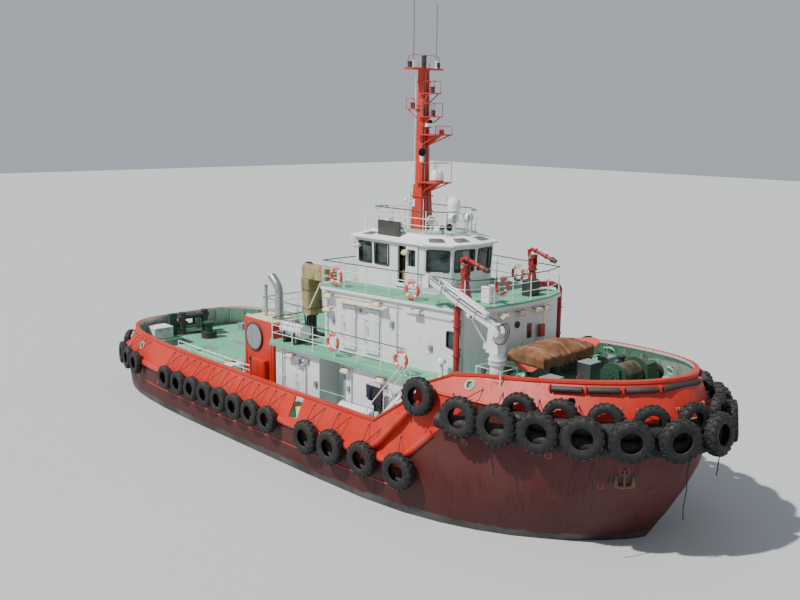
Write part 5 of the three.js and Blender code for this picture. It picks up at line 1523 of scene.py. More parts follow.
bm = bmesh.new()
RAIL_BUOYS = (
    (2.42, 5.29, BOAT_RAIL), (6.1, 5.28, BOAT_RAIL), (1.68, 7.72, BRIDGE_RAIL), (5.63, 7.68, BRIDGE_RAIL)
)
for x, z, line in RAIL_BUOYS:
    (x0, y0), (x1, y1) = (line[0], line[1]) if line is BOAT_RAIL else (line[1], line[2])
    for side in SIDES.values():
        y = -(y0 + (y1 - y0) * (x - x0) / (x1 - x0)) * side
        lifebuoy(bm, (x, y, z), Vector((abs(y1 - y0) / abs(x1 - x0), side, 0)).normalized())
lifebuoy(bm, (8.4, -1.2, 8.0), AHEAD)
lifebuoy(bm, (0.88, 1.6, 7.8), -AHEAD)
piece("lifebuoys", bm, buoy_mats)
print("lifebuoys:", 10)

# %% [markdown]
# Through the open wheelhouse door the tan lining of the far side shows. Thin boards stand inside the walls,
# well clear of the helm.

# %% Wheelhouse lining
bm = bmesh.new()
for side in SIDES.values():
    add_box(bm, (1.4, side * 1.3, 7.36), (2.2, side * 1.33, 9.05), 0.004)
    add_box(bm, (3.5, side * 1.48, 7.36), (4.4, side * 1.53, 8.0), 0.004)
add_box(bm, (2.85, -0.9, 7.36), (2.9, 0.9, 9.05), 0.004)
piece("wheelhouse_lining", bm, paints["tan"])

# %% [markdown]
# The mast is a square red post with a climbing ladder up its face, small platforms with rails, black
# navigation lamps and a white dome. Lamps are turned: a profile of radius and height is spun round its
# axis, which is the quickest way to any round fitting.

# %% Mast
MAST_X = 3.0
mast_mats = [paints["orange"], paints["black"], paints["clean_white"], paints["grey"]]
RED, DARK, PALE, GREY = range(4)
bm = bmesh.new()
LAMP = [
    (0, 0), (0.1, 0), (0.1, 0.05), (0.08, 0.06), (0.098, 0.08), (0.098, 0.2), (0.11, 0.21), (0.105, 0.235),
    (0, 0.245),
]
LAMPS = [
    (3.0, -0.76, 15.85), (3.0, 0.76, 15.85), (3.0, 0, 15.85), (3.0, 0, 16.09), (3.5, 0, 14.89),
    (3.55, 0, 13.99), (2.4, 0, 14.29),
]
for at in LAMPS:
    add_turned(bm, LAMP, at, UP, 16, DARK)
    add_disc(bm, at, UP, 0.12, 0.012, 16, GREY)
DOME = [
    (0, 0), (0.21, 0), (0.212, 0.05), (0.262, 0.1), (0.262, 0.2), (0.255, 0.32), (0.225, 0.42), (0.15, 0.49),
    (0, 0.515),
]
add_turned(bm, DOME, (3.85, 0, 11.425), UP, 32, PALE)
add_disc(bm, (3.85, 0, 11.432), UP, 0.255, 0.012, 32, GREY)
BRACKETS = [
    (3.0, 4.25, 0.42, 11.43, 0.75),
    (3.0, 4.25, 0.42, 13.3, 0.3),
    (3.0, 3.8, 0.32, 13.99, 0.5),
    (3.0, 3.7, 0.3, 14.89, 0.45),
    (2.25, 3.0, 0.26, 14.29, 0.4),
]
for x0, x1, half, z, tall in BRACKETS:
    corners = [
        (x0 + 0.3, -half + 0.02), (x1 - 0.02, -half + 0.02), (x1 - 0.02, half - 0.02), (x0 + 0.3, half - 0.02)
    ]
    if x1 <= MAST_X:
        corners = [
            (x1 - 0.3, -half + 0.02), (x0 + 0.02, -half + 0.02), (x0 + 0.02, half - 0.02),
            (x1 - 0.3, half - 0.02),
        ]
    for x, y in corners:
        add_rod(bm, (x, y, z), (x, y, z + tall), 0.014, sides=6, material=RED)
    add_pipe(bm, [(x, y, z + tall) for x, y in corners], 0.012, 6, material=RED)
    for side in SIDES.values():
        far = x1 if x1 > MAST_X else x0
        add_rod(
            bm, (MAST_X, side * 0.16, z - 0.5),
            (far - math.copysign(0.12, far - MAST_X), side * (half - 0.05), z - 0.04), 0.025, sides=6,
            material=RED,
        )
for side in (-0.17, 0.17):
    add_pipe(
        bm, [(2.5, side, 9.6), (2.5, side, 11.4), (2.72, side, 11.5), (2.74, side, 15.6)], 0.02, 6,
        material=PALE,
    )
rungs = 21
for k in range(rungs):
    z = 9.8 + k * 0.28
    add_rod(
        bm, (2.5 if z < 11.4 else 2.73, -0.17, z), (2.5 if z < 11.4 else 2.73, 0.17, z), 0.012, sides=6,
        material=PALE,
    )
for y, r in ((-0.1, 0.014), (0.1, 0.02)):
    add_pipe(
        bm, smooth_path([(3.32, y, 9.6), (3.27, y, 11.25), (3.22, y, 11.34), (3.19, y, 15.7)], 1), r, 6,
        material=GREY,
    )
for z in (10.2, 10.8, 12.0, 12.6, 13.1, 14.4, 15.3):
    half = 0.33 if z < 11.3 else 0.205
    add_box(bm, (MAST_X - half, -half, z), (MAST_X + half, half, z + 0.05), 0.006, RED)
for x, y, z, w, t in (
    (3.24, -0.28, 12.2, 0.12, 0.25), (2.85, -0.27, 10.4, 0.14, 0.3), (3.2, 0.22, 13.55, 0.12, 0.3),
    (3.22, -0.2, 14.1, 0.1, 0.24),
):
    block(bm, (x, y, z), (w, w, t), 0.012, DARK if z > 13 else PALE)
add_turned(
    bm, [(0, 0), (0.05, 0), (0.1, 0.05), (0.16, 0.26), (0.17, 0.27), (0.15, 0.27), (0.09, 0.06), (0, 0.03)],
    (3.25, -0.36, 12.62), Vector((1, -0.5, -0.1)), 18, DARK,
)
for y, z in ((-0.4, 15.85), (0.5, 15.85)):
    x = MAST_X - 0.18 if y < 0 else MAST_X + 0.18
    add_turned(
        bm, [(0, 0), (0.06, 0), (0.06, 0.02), (0.035, 0.05), (0.03, 0.3), (0.02, 0.32), (0, 0.32)], (x, y, z),
        UP, 12, PALE,
    )
    add_rod(bm, (x, y, z), (x, y, 18.69 if y < 0 else 18.29), 0.026, sides=6, material=GREY)
for y in (-0.84, -0.3, 0.3, 0.84):
    add_rod(
        bm, (MAST_X, y, 15.83), (MAST_X, y, 16.28 if abs(y) > 0.5 else 16.05), 0.013, sides=6, material=RED
    )
add_pipe(
    bm, [(MAST_X, -0.84, 16.28), (MAST_X, -0.55, 16.35), (MAST_X, 0.55, 16.35), (MAST_X, 0.84, 16.28)], 0.012,
    6, material=RED,
)
piece("mast_fittings", bm, mast_mats)

# %% [markdown]
# The aerials stand beside the mast, and a tug's roof is crowded with white posts, searchlights and domes.
# They are small rods and turned shapes on the roof's rail line, spread by a short table.

# %% Roof gear
bm = bmesh.new()
SEARCHLIGHT = [(0, 0), (0.12, 0.01), (0.17, 0.06), (0.18, 0.3), (0.165, 0.3), (0.15, 0.08), (0, 0.05)]
roof_mats = [paints["clean_white"], paints["black"], paints["steel"], tinted_glass]


def searchlight(bm, at, turn, size=1.0, tone=0):
    look = Vector((math.cos(turn), math.sin(turn), -0.05)).normalized()
    x, y, z = at
    add_rod(bm, (x, y, z), (x, y, z + 0.42 * size), 0.03, sides=8, material=tone)
    add_turned(
        bm, [(r * size, h * size) for r, h in SEARCHLIGHT],
        Vector((x, y, z + 0.62 * size)) - look * 0.15 * size, look, 20, tone,
    )
    add_turned(
        bm, [(0, 0), (0.16 * size, 0), (0.16 * size, 0.01), (0, 0.012)],
        Vector((x, y, z + 0.62 * size)) + look * 0.12 * size, look, 20, 2,
    )
    sideways = UP.cross(look) * 0.2 * size
    lift = [
        Vector((x, y, z + 0.42 * size)), Vector((x, y, z + 0.42 * size)) + sideways,
        Vector((x, y, z + 0.62 * size)) + sideways,
    ]
    for sign in (1, -1):
        yoke = [lift[0], lift[0] + sideways * sign, lift[0] + sideways * sign + UP * 0.2 * size]
        add_pipe(bm, yoke, 0.012, 6, material=tone)


for side in SIDES.values():
    searchlight(bm, (5.15, side * 0.42, TOP_DECK), 0.0)
    searchlight(bm, (4.6, side * 1.05, TOP_DECK), side * 0.6, 0.9)
    for x, y, tall, r in (
        (1.75, 1.2, 1.5, 0.02), (1.75, 0.9, 1.9, 0.014), (2.6, 1.2, 1.7, 0.018), (3.3, 1.18, 1.2, 0.03),
        (4.3, 1.18, 1.35, 0.016),
    ):
        add_rod(bm, (x, side * y, TOP_DECK), (x, side * y, TOP_DECK + tall), r, r * 0.6, sides=8)
        add_turned(bm, [(0, 0), (0.05, 0), (0.05, 0.02), (r, 0.05)], (x, side * y, TOP_DECK), UP, 12)
    for x, y, w, d, h in (
        (2.35, 0.8, 0.5, 0.35, 0.3), (4.25, 0.3, 0.3, 0.24, 0.22), (1.95, 0.85, 0.3, 0.3, 0.45)
    ):
        block(bm, (x, side * y, TOP_DECK), (w, d, h), 0.03)
for x, y, z in ((3.3, -1.18, 10.7), (2.6, 1.2, 11.2)):
    add_turned(bm, [(0, 0), (0.07, 0.01), (0.08, 0.05), (0.05, 0.12), (0, 0.14)], (x, y, z), UP, 16)
add_turned(
    bm, [(0, 0), (0.1, 0), (0.07, 0.06), (0.05, 0.12), (0.13, 0.42), (0.15, 0.45), (0.13, 0.45), (0, 0.16)],
    (4.85, -0.72, TOP_DECK + 0.25), Vector((1, 0, 0.12)), 20, 1,
)
add_rod(bm, (4.95, -0.72, TOP_DECK), (4.95, -0.72, TOP_DECK + 0.3), 0.025, sides=8, material=1)
ARCH = [(1.25, -1.5, 9.3), (1.25, -1.5, 10.3), (1.25, 1.5, 10.3), (1.25, 1.5, 9.3)]
add_pipe(bm, smooth_path(ARCH, 2), 0.022, 8)
for y in (-0.9, -0.3, 0.3, 0.9):
    add_rod(bm, (1.25, y, 9.34), (1.25, y, 10.3), 0.015, sides=6)
piece("roof_gear", bm, roof_mats)
bm = bmesh.new()
add_turned(
    bm, [(0, 0), (0.26, 0), (0.265, 0.1), (0.24, 0.24), (0.16, 0.34), (0, 0.38)], (4.8, 0, 10.53), UP, 28
)
piece("roof_dome", bm, paints["clean_white"])

# %% [markdown]
# A fire monitor turns on a flanged swivel and tilts on a fork. Flanges with bolts, hand wheels and a hose
# make it a machine. Everything that turns with a joint rides on that joint's body.

# %% Fire monitors
MONITOR_X, MONITOR_Y, SLEW_Z, TILT_Z = 7.3, 1.9, 8.25, 8.65
FEED_X, FEED_Y = 7.88, 2.9
BOX_TONES = {-1: 3, 1: 1}  # which of its paints the box beside each monitor has
gear_mats = [paints["monitor_red"], paints["black"], paints["steel"], paints["clean_white"]]


def flange(bm, at, along, radius, thick=0.04, bolts=8, material=0):
    add_disc(bm, at, along, radius, thick, 24, material)
    turn = basis(along)
    for angle in spread_turns(bolts):
        spot = Vector(at) + turn.to_3x3() @ Vector((math.cos(angle), math.sin(angle), 0)) * radius * 0.85
        add_rod(
            bm, spot - turn.col[2].to_3d() * 0.012, spot + turn.col[2].to_3d() * (thick + 0.014), 0.012,
            sides=6, material=material,
        )


def hand_wheel(bm, at, along, radius, material=0):
    add_ring(bm, at, along, radius, radius * 0.09, 20, 6, material)
    turn = basis(along).to_3x3()
    for k in range(2):
        arm = turn @ Vector((math.cos(k * math.pi / 2), math.sin(k * math.pi / 2), 0)) * radius
        add_rod(bm, Vector(at) - arm, Vector(at) + arm, radius * 0.07, sides=6, material=material)


for name, side in SIDES.items():
    y = side * MONITOR_Y
    bm = bmesh.new()
    flange(bm, (MONITOR_X, y, BRIDGE_DECK), UP, 0.36, 0.04, 10)
    add_turned(
        bm, [(0.15, 0), (0.34, 0), (0.3, 0.06), (0.19, 0.42), (0.17, 0.5), (0.14, 0.5)],
        (MONITOR_X, y, BRIDGE_DECK), UP, 28,
    )
    flange(bm, (MONITOR_X, y, SLEW_Z - 0.1), UP, 0.2, 0.035, 8)
    hand_wheel(bm, (MONITOR_X - 0.34, y, 7.95), AHEAD, 0.14)
    add_rod(bm, (MONITOR_X - 0.36, y, 7.95), (MONITOR_X - 0.1, y, 7.95), 0.025, sides=8)
    px, py = FEED_X, side * FEED_Y
    flange(bm, (px, py, BOAT_DECK), UP, 0.22, 0.04, 8)
    for z in (5.55, 6.6):
        add_turned(
            bm, [(0, 0), (0.118, 0), (0.15, 0.01), (0.15, 0.05), (0.118, 0.06), (0, 0.06)], (px, py, z), UP,
            20,
        )
        add_box(
            bm, (px - 0.25, py - 0.05 if side < 0 else py - 0.3, z + 0.2),
            (px + 0.02, py + 0.3 if side < 0 else py + 0.05, z + 0.24), 0.006,
        )
    bx = MONITOR_X + 0.35
    add_box(
        bm, (bx, y - side * 0.75 - 0.3, BRIDGE_DECK), (bx + 0.42, y - side * 0.75 + 0.3, BRIDGE_DECK + 0.62),
        0.03, BOX_TONES[side],
    )
    add_box(
        bm, (bx + 0.41, y - side * 0.75 - 0.24, BRIDGE_DECK + 0.06),
        (bx + 0.435, y - side * 0.75 + 0.24, BRIDGE_DECK + 0.56), 0.01, BOX_TONES[side],
    )
    piece("monitor_pedestal_fittings_" + name, bm, gear_mats)
    bm = bmesh.new()
    add_ring(bm, (MONITOR_X, y, SLEW_Z + 0.035), UP, 0.142, 0.02, 28, 8)
    for reach in (-1, 1):
        at = Vector((MONITOR_X, y + reach * 0.18, TILT_Z))
        add_turned(bm, [(0, 0), (0.075, 0), (0.07, 0.03), (0.03, 0.045), (0, 0.045)], at, PORT * reach, 16, 2)
    piece("monitor_head_fittings_" + name, bm, gear_mats, body=f"monitor_{name}_head")
    bm = bmesh.new()
    tip = Vector((MONITOR_X + 1.12, y, TILT_Z - 0.051))
    root = Vector((MONITOR_X + 0.88, y, TILT_Z + 0.026))
    nose = (tip - root).normalized()
    add_turned(
        bm,
        [
            (0.09, -0.22), (0.112, -0.2), (0.112, -0.14), (0.1, -0.12), (0.085, -0.02), (0.088, 0.0),
            (0.078, 0.01), (0.05, -0.02), (0, -0.02),
        ],
        tip, nose, 24, 1,
    )
    for share, radius in ((0.2, 0.1), (0.75, 0.1)):
        spot = Vector((MONITOR_X - 0.05, y, TILT_Z + 0.32)).lerp(
            Vector((MONITOR_X + 0.9, y, TILT_Z + 0.02)), share
        )
        along = Vector((0.95, 0, -0.3)).normalized()
        flange(bm, spot - along * 0.02, along, radius, 0.035, 6)
    piece("monitor_barrel_fittings_" + name, bm, gear_mats, body=f"monitor_{name}_barrel")
print("monitors dressed")

# %% [markdown]
# The deck crane's boom carries two white oil cylinders along its back with hoses that loop from the column.
# The hoses that cross a joint are kept to one body, with slack at the joint, so nothing tears when it moves.

# %% Crane
crane_mats = [paints["white"], paints["black"], paints["steel"], dark_rope]
CRANE_X, CRANE_Y = 10.15, -3.3
BOOM_FOOT, BOOM_TIP = Vector((10.0, CRANE_Y, 7.05)), Vector((6.7, CRANE_Y, 8.29))
boom_along = (BOOM_TIP - BOOM_FOOT).normalized()
boom_up = boom_along.cross(PORT)
boom_up = boom_up if boom_up.z > 0 else -boom_up


def on_boom(share, lift=0.0, across=0.0):
    return BOOM_FOOT.lerp(BOOM_TIP, share) + boom_up * lift + PORT * across


bm = bmesh.new()
for across, near, far in ((-0.09, 0.12, 0.5), (0.09, 0.2, 0.62)):
    add_rod(bm, on_boom(near, 0.26, across), on_boom(far, 0.26, across), 0.06, sides=14, bevel=0.01)
    add_rod(bm, on_boom(far, 0.26, across), on_boom(far + 0.22, 0.26, across), 0.025, sides=10, material=2)
    for share in (near, far, far + 0.21):
        add_box(
            bm, (-0.03, -0.05, -0.16), (0.03, 0.05, 0.1), 0.01, 0,
            placed(basis(boom_up, boom_along), on_boom(share, 0.2, across)),
        )
for across, lift in ((0.15, 0.1), (0.175, 0.02), (-0.16, 0.1)):
    add_pipe(
        bm,
        smooth_path(
            [
                on_boom(0.02, lift + 0.1, across), on_boom(0.12, lift, across), on_boom(0.55, lift, across),
                on_boom(0.8, lift + 0.05, across * 0.7), on_boom(0.96, 0.14, across * 0.5),
            ],
            2,
        ),
        0.013, 6, material=3,
    )
for share in (0.25, 0.5, 0.75):
    add_box(
        bm, (-0.14, -0.165, -0.02), (0.14, 0.165, 0.02), 0.006, 0,
        placed(basis(boom_along, PORT), on_boom(share)),
    )
tip = on_boom(1.0, -0.05)
for across in (-0.14, 0.1):
    add_box(
        bm, (-0.16, across, -0.3), (0.16, across + 0.04, 0.12), 0.015, 0,
        placed(Matrix.Identity(4), tip + Vector((0.1, 0, 0))),
    )
add_turned(
    bm, [(0, 0), (0.13, 0), (0.1, 0.03), (0.1, 0.05), (0.13, 0.08), (0, 0.08)],
    tip + Vector((0.1, -0.04, -0.2)), PORT, 22, 2,
)
piece("crane_boom_fittings", bm, crane_mats, body="crane_boom")

bm = bmesh.new()
add_turned(
    bm, [(0, 0), (0.17, 0), (0.19, 0.03), (0.19, 0.3), (0.14, 0.36), (0.06, 0.38), (0, 0.38)],
    (10.35, CRANE_Y - 0.22, 6.75), Vector((0.6, -0.5, 0.1)), 22, 2,
)
for across in (-0.1, 0.0, 0.1):
    add_pipe(
        bm,
        smooth_path(
            [
                (10.36, CRANE_Y + across, 6.5), (10.62, CRANE_Y + across, 6.9), (10.5, CRANE_Y + across, 7.3),
                (10.25, CRANE_Y + across, 7.12),
            ],
            3,
        ),
        0.014, 6, material=3,
    )
flange(bm, (CRANE_X, CRANE_Y, 5.94), UP, 0.3, 0.05, 12)
piece("crane_column_fittings", bm, crane_mats, body="crane_column")

bm = bmesh.new()
flange(bm, (CRANE_X, CRANE_Y, 4.75), UP, 0.34, 0.04, 10)
flange(bm, (CRANE_X, CRANE_Y, 5.8), UP, 0.29, 0.05, 12)
cage = [(9.62, -0.42), (10.7, -0.42), (10.7, 0.42), (9.62, 0.42)]
for x, across in cage:
    add_rod(bm, (x, CRANE_Y + across, BOAT_DECK), (x, CRANE_Y + across, 5.72), 0.024, sides=8)
for z in (5.0, 5.35, 5.7):
    add_pipe(bm, [(x, CRANE_Y + across, z) for x, across in cage], 0.02, 8, closed=True)
for z in (5.1, 5.3, 5.5):
    add_box(bm, (9.8, CRANE_Y - 0.4, z), (9.98, CRANE_Y - 0.3, z + 0.16), 0.015, 1)
piece("crane_cage", bm, crane_mats)

# %% [markdown]
# Around the casings, the rafts and the ladder there are many small things: bands on the raft cases, a black
# cradle under each, flanged pipe ends and a few boxes. They are placed for one side and mirrored where the
# boat has them on both.

# %% Casings, rafts and ladders
RAFT_Y, LADDER_Y = 3.86, 4.19
DISC_X, DISC_Y, DISC_Z = -3.8, 3.65, 4.35
EXHAUST_Y, PIPE_X, ELBOW_X, SMALL_PIPE_X = 2.9, -2.9, -3.42, -3.9
bm = bmesh.new()
side_mats = [
    paints["white"], paints["black"], paints["steel"], paints["orange"], paints["cream"], paints["yellow"],
    paints["grey"],
]
W, B, S, O, C, Y, G = range(7)
for side in SIDES.values():
    for x in (-1.02, -0.62, -0.28, 0.12):
        add_ring(bm, (x, side * RAFT_Y, 5.26), AHEAD, 0.3, 0.014, 28, 6, S)
    for x in (-0.8, -0.1):
        add_box(
            bm, (x - 0.05, side * RAFT_Y - 0.26, BOAT_DECK), (x + 0.05, side * RAFT_Y + 0.26, 4.98), 0.01, B
        )
        add_box(
            bm, (x - 0.05, side * RAFT_Y - 0.34, BOAT_DECK), (x + 0.05, side * RAFT_Y - 0.28, 5.2), 0.01, B
        )
        add_box(
            bm, (x - 0.05, side * RAFT_Y + 0.28, BOAT_DECK), (x + 0.05, side * RAFT_Y + 0.34, 5.2), 0.01, B
        )
    ring_y = side * DISC_Y
    add_ring(bm, (DISC_X, ring_y, DISC_Z), PORT, 0.6, 0.04, 40, 8, B)
    add_disc(bm, (DISC_X, ring_y, DISC_Z), PORT * side, 0.57, 0.012, 40, G)
    add_box(bm, (-4.58, side * 2.22, 5.14), (-2.42, side * 3.58, 5.165), 0.006, C)
    out = side * 3.6
    add_box(bm, (-3.86, out, 2.63), (-2.79, out + side * 0.22, 3.42), 0.02, O)
    add_box(bm, (-3.8, out + side * 0.21, 2.7), (-3.34, out + side * 0.235, 3.35), 0.006, O)
    add_box(bm, (-3.3, out + side * 0.21, 2.7), (-2.85, out + side * 0.235, 3.35), 0.006, O)
    for x in (-4.45, -2.55):
        add_box(bm, (x - 0.02, out, 2.05), (x + 0.02, out + side * 0.02, 4.95), 0.004, O)
    for z in (5.3, 5.75, 6.2):
        add_ring(bm, (PIPE_X, side * EXHAUST_Y, z), UP, 0.187, 0.014, 28, 6, S)
    tilt = Vector((ELBOW_X - PIPE_X, 0, 0.72)).normalized()
    add_ring(bm, (ELBOW_X, side * EXHAUST_Y, 7.02), tilt, 0.175, 0.022, 28, 8, S)
    add_disc(bm, Vector((ELBOW_X, side * EXHAUST_Y, 7.02)) + tilt * 0.004, tilt, 0.16, 0.004, 28, B)
    add_turned(
        bm, [(0, 0), (0.1, 0), (0.1, 0.02), (0.04, 0.1), (0, 0.1)], (SMALL_PIPE_X, side * EXHAUST_Y, 6.49),
        Vector((-0.4, side * -0.3, 1)), 20, S,
    )
    add_rod(
        bm, (SMALL_PIPE_X, side * EXHAUST_Y, 5.15), (SMALL_PIPE_X, side * EXHAUST_Y, 6.5), 0.074, sides=18,
        material=S,
    )
    for z in (5.6, 6.1):
        add_ring(bm, (SMALL_PIPE_X, side * EXHAUST_Y, z), UP, 0.078, 0.012, 20, 6, S)
    for across in (-0.25, 0.25):
        foot, head = Vector(
            (4.45, side * LADDER_Y + across, 2.0)
        ), Vector((7.0, side * LADDER_Y + across, 4.5))
        rail = [
            foot + Vector((-0.1, 0, 0.55)), foot + Vector((0.1, 0, 0.95)), head + Vector((-0.15, 0, 0.95))
        ]
        add_pipe(bm, smooth_path(rail, 2), 0.02, 8, material=W)
        for share in (0.15, 0.5, 0.85):
            post = foot.lerp(head, share)
            add_rod(bm, post, post + Vector((0, 0, 0.82)), 0.016, sides=8, material=W)
    for x, y in ((1.0, 4.72), (1.32, 4.86)):
        add_turned(
            bm, [(0, 0), (0.15, 0), (0.175, 0.36), (0.18, 0.36), (0.18, 0.37), (0, 0.37)],
            (x, side * y, DECK), UP, 24, W,
        )
        add_turned(
            bm, [(0, 0), (0.19, 0), (0.19, 0.045), (0.16, 0.06), (0, 0.065)], (x, side * y, DECK + 0.36), UP,
            24, Y,
        )
        add_pipe(
            bm,
            smooth_path(
                [
                    (x - 0.18, side * y, DECK + 0.3), (x - 0.05, side * (y + 0.16), DECK + 0.2),
                    (x + 0.18, side * y, DECK + 0.3),
                ],
                2,
            ),
            0.006, 5, material=S,
        )
    add_box(bm, (0.1, side * 4.25 - 0.12, 4.0), (0.45, side * 4.25 + 0.06, 4.25), 0.02, G)
    for x in (-0.1, 0.08):
        add_rod(bm, (x, side * 3.6, 3.95), (x, side * 4.2, 3.95), 0.018, sides=6, material=W)
piece("side_details", bm, side_mats)

# %% [markdown]
# Work clothes hang over the ladder's rail to dry. A short cloth simulation would give them folds, but at this
# size a sheet that is bent over the rail, with noise for its folds, reads the same and is always the same
# from one run to the next.

# %% Clothes on the rail


def hung_sheet(name, finish, top, along, width, drop_front, drop_back, radius=0.03, seed=0.0, **declared):
    """A cloth hung over a rail: rows of points down one side, over the rail and down the other."""
    along = Vector(along).normalized()
    out = UP.cross(along)
    rows = []
    fine = 0.035
    down = int(drop_front / fine)
    for k in range(down, 0, -1):
        rows.append((radius, -k * fine))
    for k in range(7):
        angle = math.pi * k / 6
        rows.append((math.cos(angle) * radius, math.sin(angle) * radius))
    for k in range(1, int(drop_back / fine) + 1):
        rows.append((-radius, -k * fine))
    across = int(width / fine)
    small = bmesh.new()
    grid = []
    for i in range(across + 1):
        s = (i / across - 0.5) * width
        line = []
        for push, lift in rows:
            fall = min(1, max(0, -lift) / 0.35)
            fold = math.sin(s * 24 + seed + lift * 1.5) * 0.028 * fall + noise.noise(
                Vector((s * 3, lift * 2, seed))
            ) * 0.05 * fall
            hem = noise.noise(Vector((s * 2.2, seed, 5))) * 0.16 * fall if lift < -0.1 else 0
            spot = Vector(top) + along * s * (1 - 0.18 * fall) + out * (
                push + abs(fold) * (1 if push > 0 else -1)
            ) + UP * (lift - hem)
            line.append(small.verts.new(spot))
        grid.append(line)
    for a, b in zip(grid, grid[1:]):
        for j in range(len(a) - 1):
            small.faces.new((a[j], b[j], b[j + 1], a[j + 1]))
    bmesh.ops.recalc_face_normals(small, faces=small.faces)
    made = piece(name, small, finish, smooth=60)
    thicken(made, 0.003)
    return made


black_cloth = make_cloth("black_cotton", colour(24, 24, 28), colour(48, 48, 54), 400.0)
blue_cloth = make_cloth("blue_cotton", colour(30, 38, 62), colour(52, 62, 88), 400.0)
CLOTHES_Y, CLOTHES_Z = -4.02, 3.95
hung_sheet("black_overalls", black_cloth, (4.9, CLOTHES_Y, CLOTHES_Z), AHEAD, 0.6, 0.95, 0.7, 0.025, 0.0)
hung_sheet("blue_overalls", blue_cloth, (4.42, CLOTHES_Y, CLOTHES_Z), AHEAD, 0.3, 0.6, 0.5, 0.025, 2.0)
bm = bmesh.new()
add_rod(bm, (4.15, CLOTHES_Y, CLOTHES_Z), (5.4, CLOTHES_Y, CLOTHES_Z), 0.014, sides=8)
for x in (4.17, 5.38):
    add_rod(bm, (x, CLOTHES_Y, CLOTHES_Z), (x, -3.7, CLOTHES_Z), 0.014, sides=8)
piece("drying_rail", bm, paints["white"])

# %% [markdown]
# Along the hull's edge hang the working parts: chocks with thick rims, black cylinder fenders under the bow
# rail between orange brackets, and thin lashings that run in a V from small eyes to each tyre. All of them
# take their places from the same edge table as the tyres.

# %% Chocks and hull openings
edge_mats = [
    paints["pale_green"], paints["black"], paints["orange"], paints["grey"], paints["rust"], dark_rope
]
# The second finish is black paint that stands for the shade inside hull openings and the anchor pocket.
CHOCK, RECESS_SHADE, HULL, METAL, RUST, LASHING = range(6)


def ray_shape(name):
    mesh = nodes[name].data
    return BVHTree.FromPolygons([v.co for v in mesh.vertices], [p.vertices for p in mesh.polygons])


plate_shapes = {name: ray_shape(name) for name in ("bulwark_aft", "bulwark_fore")}
OUTBOARD = 3.0  # a ray towards the plating starts this far out


def on_plate(name, at, out, z):
    """The outer face of a plate at a height, found by a ray from outboard."""
    start = at.xy.to_3d() + UP * z + out * OUTBOARD
    hit = plate_shapes[name].ray_cast(start, -out)
    return (hit[0], hit[1]) if hit[0] else (at.xy.to_3d() + UP * z, out)


def add_patch(bm, at, out, radius, depth=0.012, material=1, steps=24):
    """A shallow disc on the plating."""
    add_turned(bm, [(0, 0), (radius, 0), (radius * 0.96, depth), (0, depth)], at, out, steps, material)


bm = bmesh.new()
chock_places = []
for side in SIDES.values():
    for x, z in ((-15.1, 2.5), (-12.4, 2.5), (9.65, 5.08), (13.1, 5.08)):
        at, out = edge_at(z, x, side)
        chock_places.append((at, out))
for at, out in chock_places:
    plate = "bulwark_fore" if at.x > 0 else "bulwark_aft"
    rim, face = on_plate(plate, at + UP.cross(out) * 0.2, out, at.z)
    spot = rim - UP.cross(out) * 0.2
    add_ring(bm, spot, face, 0.165, 0.04, 28, 10, CHOCK)
    add_ring(bm, spot - face * 0.1, face, 0.165, 0.035, 28, 8, CHOCK)
for side in SIDES.values():
    for x, z, radius in (
        (9.9, 3.25, 0.1), (12.7, 3.35, 0.11), (14.0, 2.4, 0.07), (-9.9, 1.2, 0.06), (1.6, 1.05, 0.05)
    ):
        at, out = edge_at(z, x, side)
        # A black disc inside each opening is painted shade for the inside of the hole.
        add_patch(bm, at - out * 0.004, out, radius, 0.008, RECESS_SHADE)
        add_ring(bm, at, out, radius + 0.012, 0.016, 24, 6, HULL)
piece("chock_rims", bm, edge_mats)
print("chocks:", len(chock_places))

# %% [markdown]
# A sloping half-round strake runs up the plating where the deck edge rises to the forecastle, and another
# lies along the forecastle itself. A half-round is a pipe that is half sunk in the plate.

# %% Strakes
bm = bmesh.new()
for side in SIDES.values():
    for path in (
        [(5.45, 1.72), (6.1, 2.3), (6.9, 3.2), (7.5, 3.95), (7.9, 4.25)],
        [(7.15, 1.9), (7.9, 2.6), (8.6, 3.3)],
    ):
        line = []
        for x, z in path:
            at, out = edge_at(z, x, side)
            line.append(at + out * 0.01)
        add_pipe(bm, smooth_path(line, 2), 0.12, 12, material=HULL)
    add_pipe(bm, edge_line(4.66, 7.75, 15.85, side, -0.02, 40), 0.055, 10, material=HULL)
    add_pipe(bm, edge_line(0.95, -16.1, 7.2, side, -0.012, 29), 0.022, 6, material=HULL)
piece("strakes", bm, edge_mats)

# %% [markdown]
# The lashings are thin lines, each held by an eye at the top and by its tyre below, so they don't hang free.
# Ropes' ends that hang from the bow are a few long thin pipes with a little sway.

# %% Lashings
bm = bmesh.new()
for name, side in SIDES.items():
    for at, out, radius, z in side_places[name]:
        along = UP.cross(out)
        crown = (at + out * (TYRE_OFF + 0.02)).xy.to_3d() + UP * (z + radius * 0.8)
        for lean in (-0.3, 0.34):
            eye, face = on_plate("bulwark_aft", at + along * lean, out, 2.82)
            add_pipe(
                bm, [eye, eye + face * 0.03, eye.lerp(crown, 0.5) + face * 0.02, crown], 0.013, 5,
                material=LASHING,
            )
            add_ring(bm, eye + face * 0.015, along, 0.045, 0.014, 10, 5, METAL)
for middle, out, radius in bow_places:
    along = UP.cross(out)
    crown = middle + UP * radius * 0.8
    for lean in (-0.25, 0.28):
        head, face = on_plate("bulwark_fore", middle + along * lean, out, 5.02)
        if (head - crown).length < 1.6:
            add_pipe(
                bm, [head, head + face * 0.02, head.lerp(crown, 0.6) + out * 0.03, crown], 0.014, 5,
                material=LASHING,
            )
            add_ring(bm, head + face * 0.015, along, 0.045, 0.014, 10, 5, METAL)
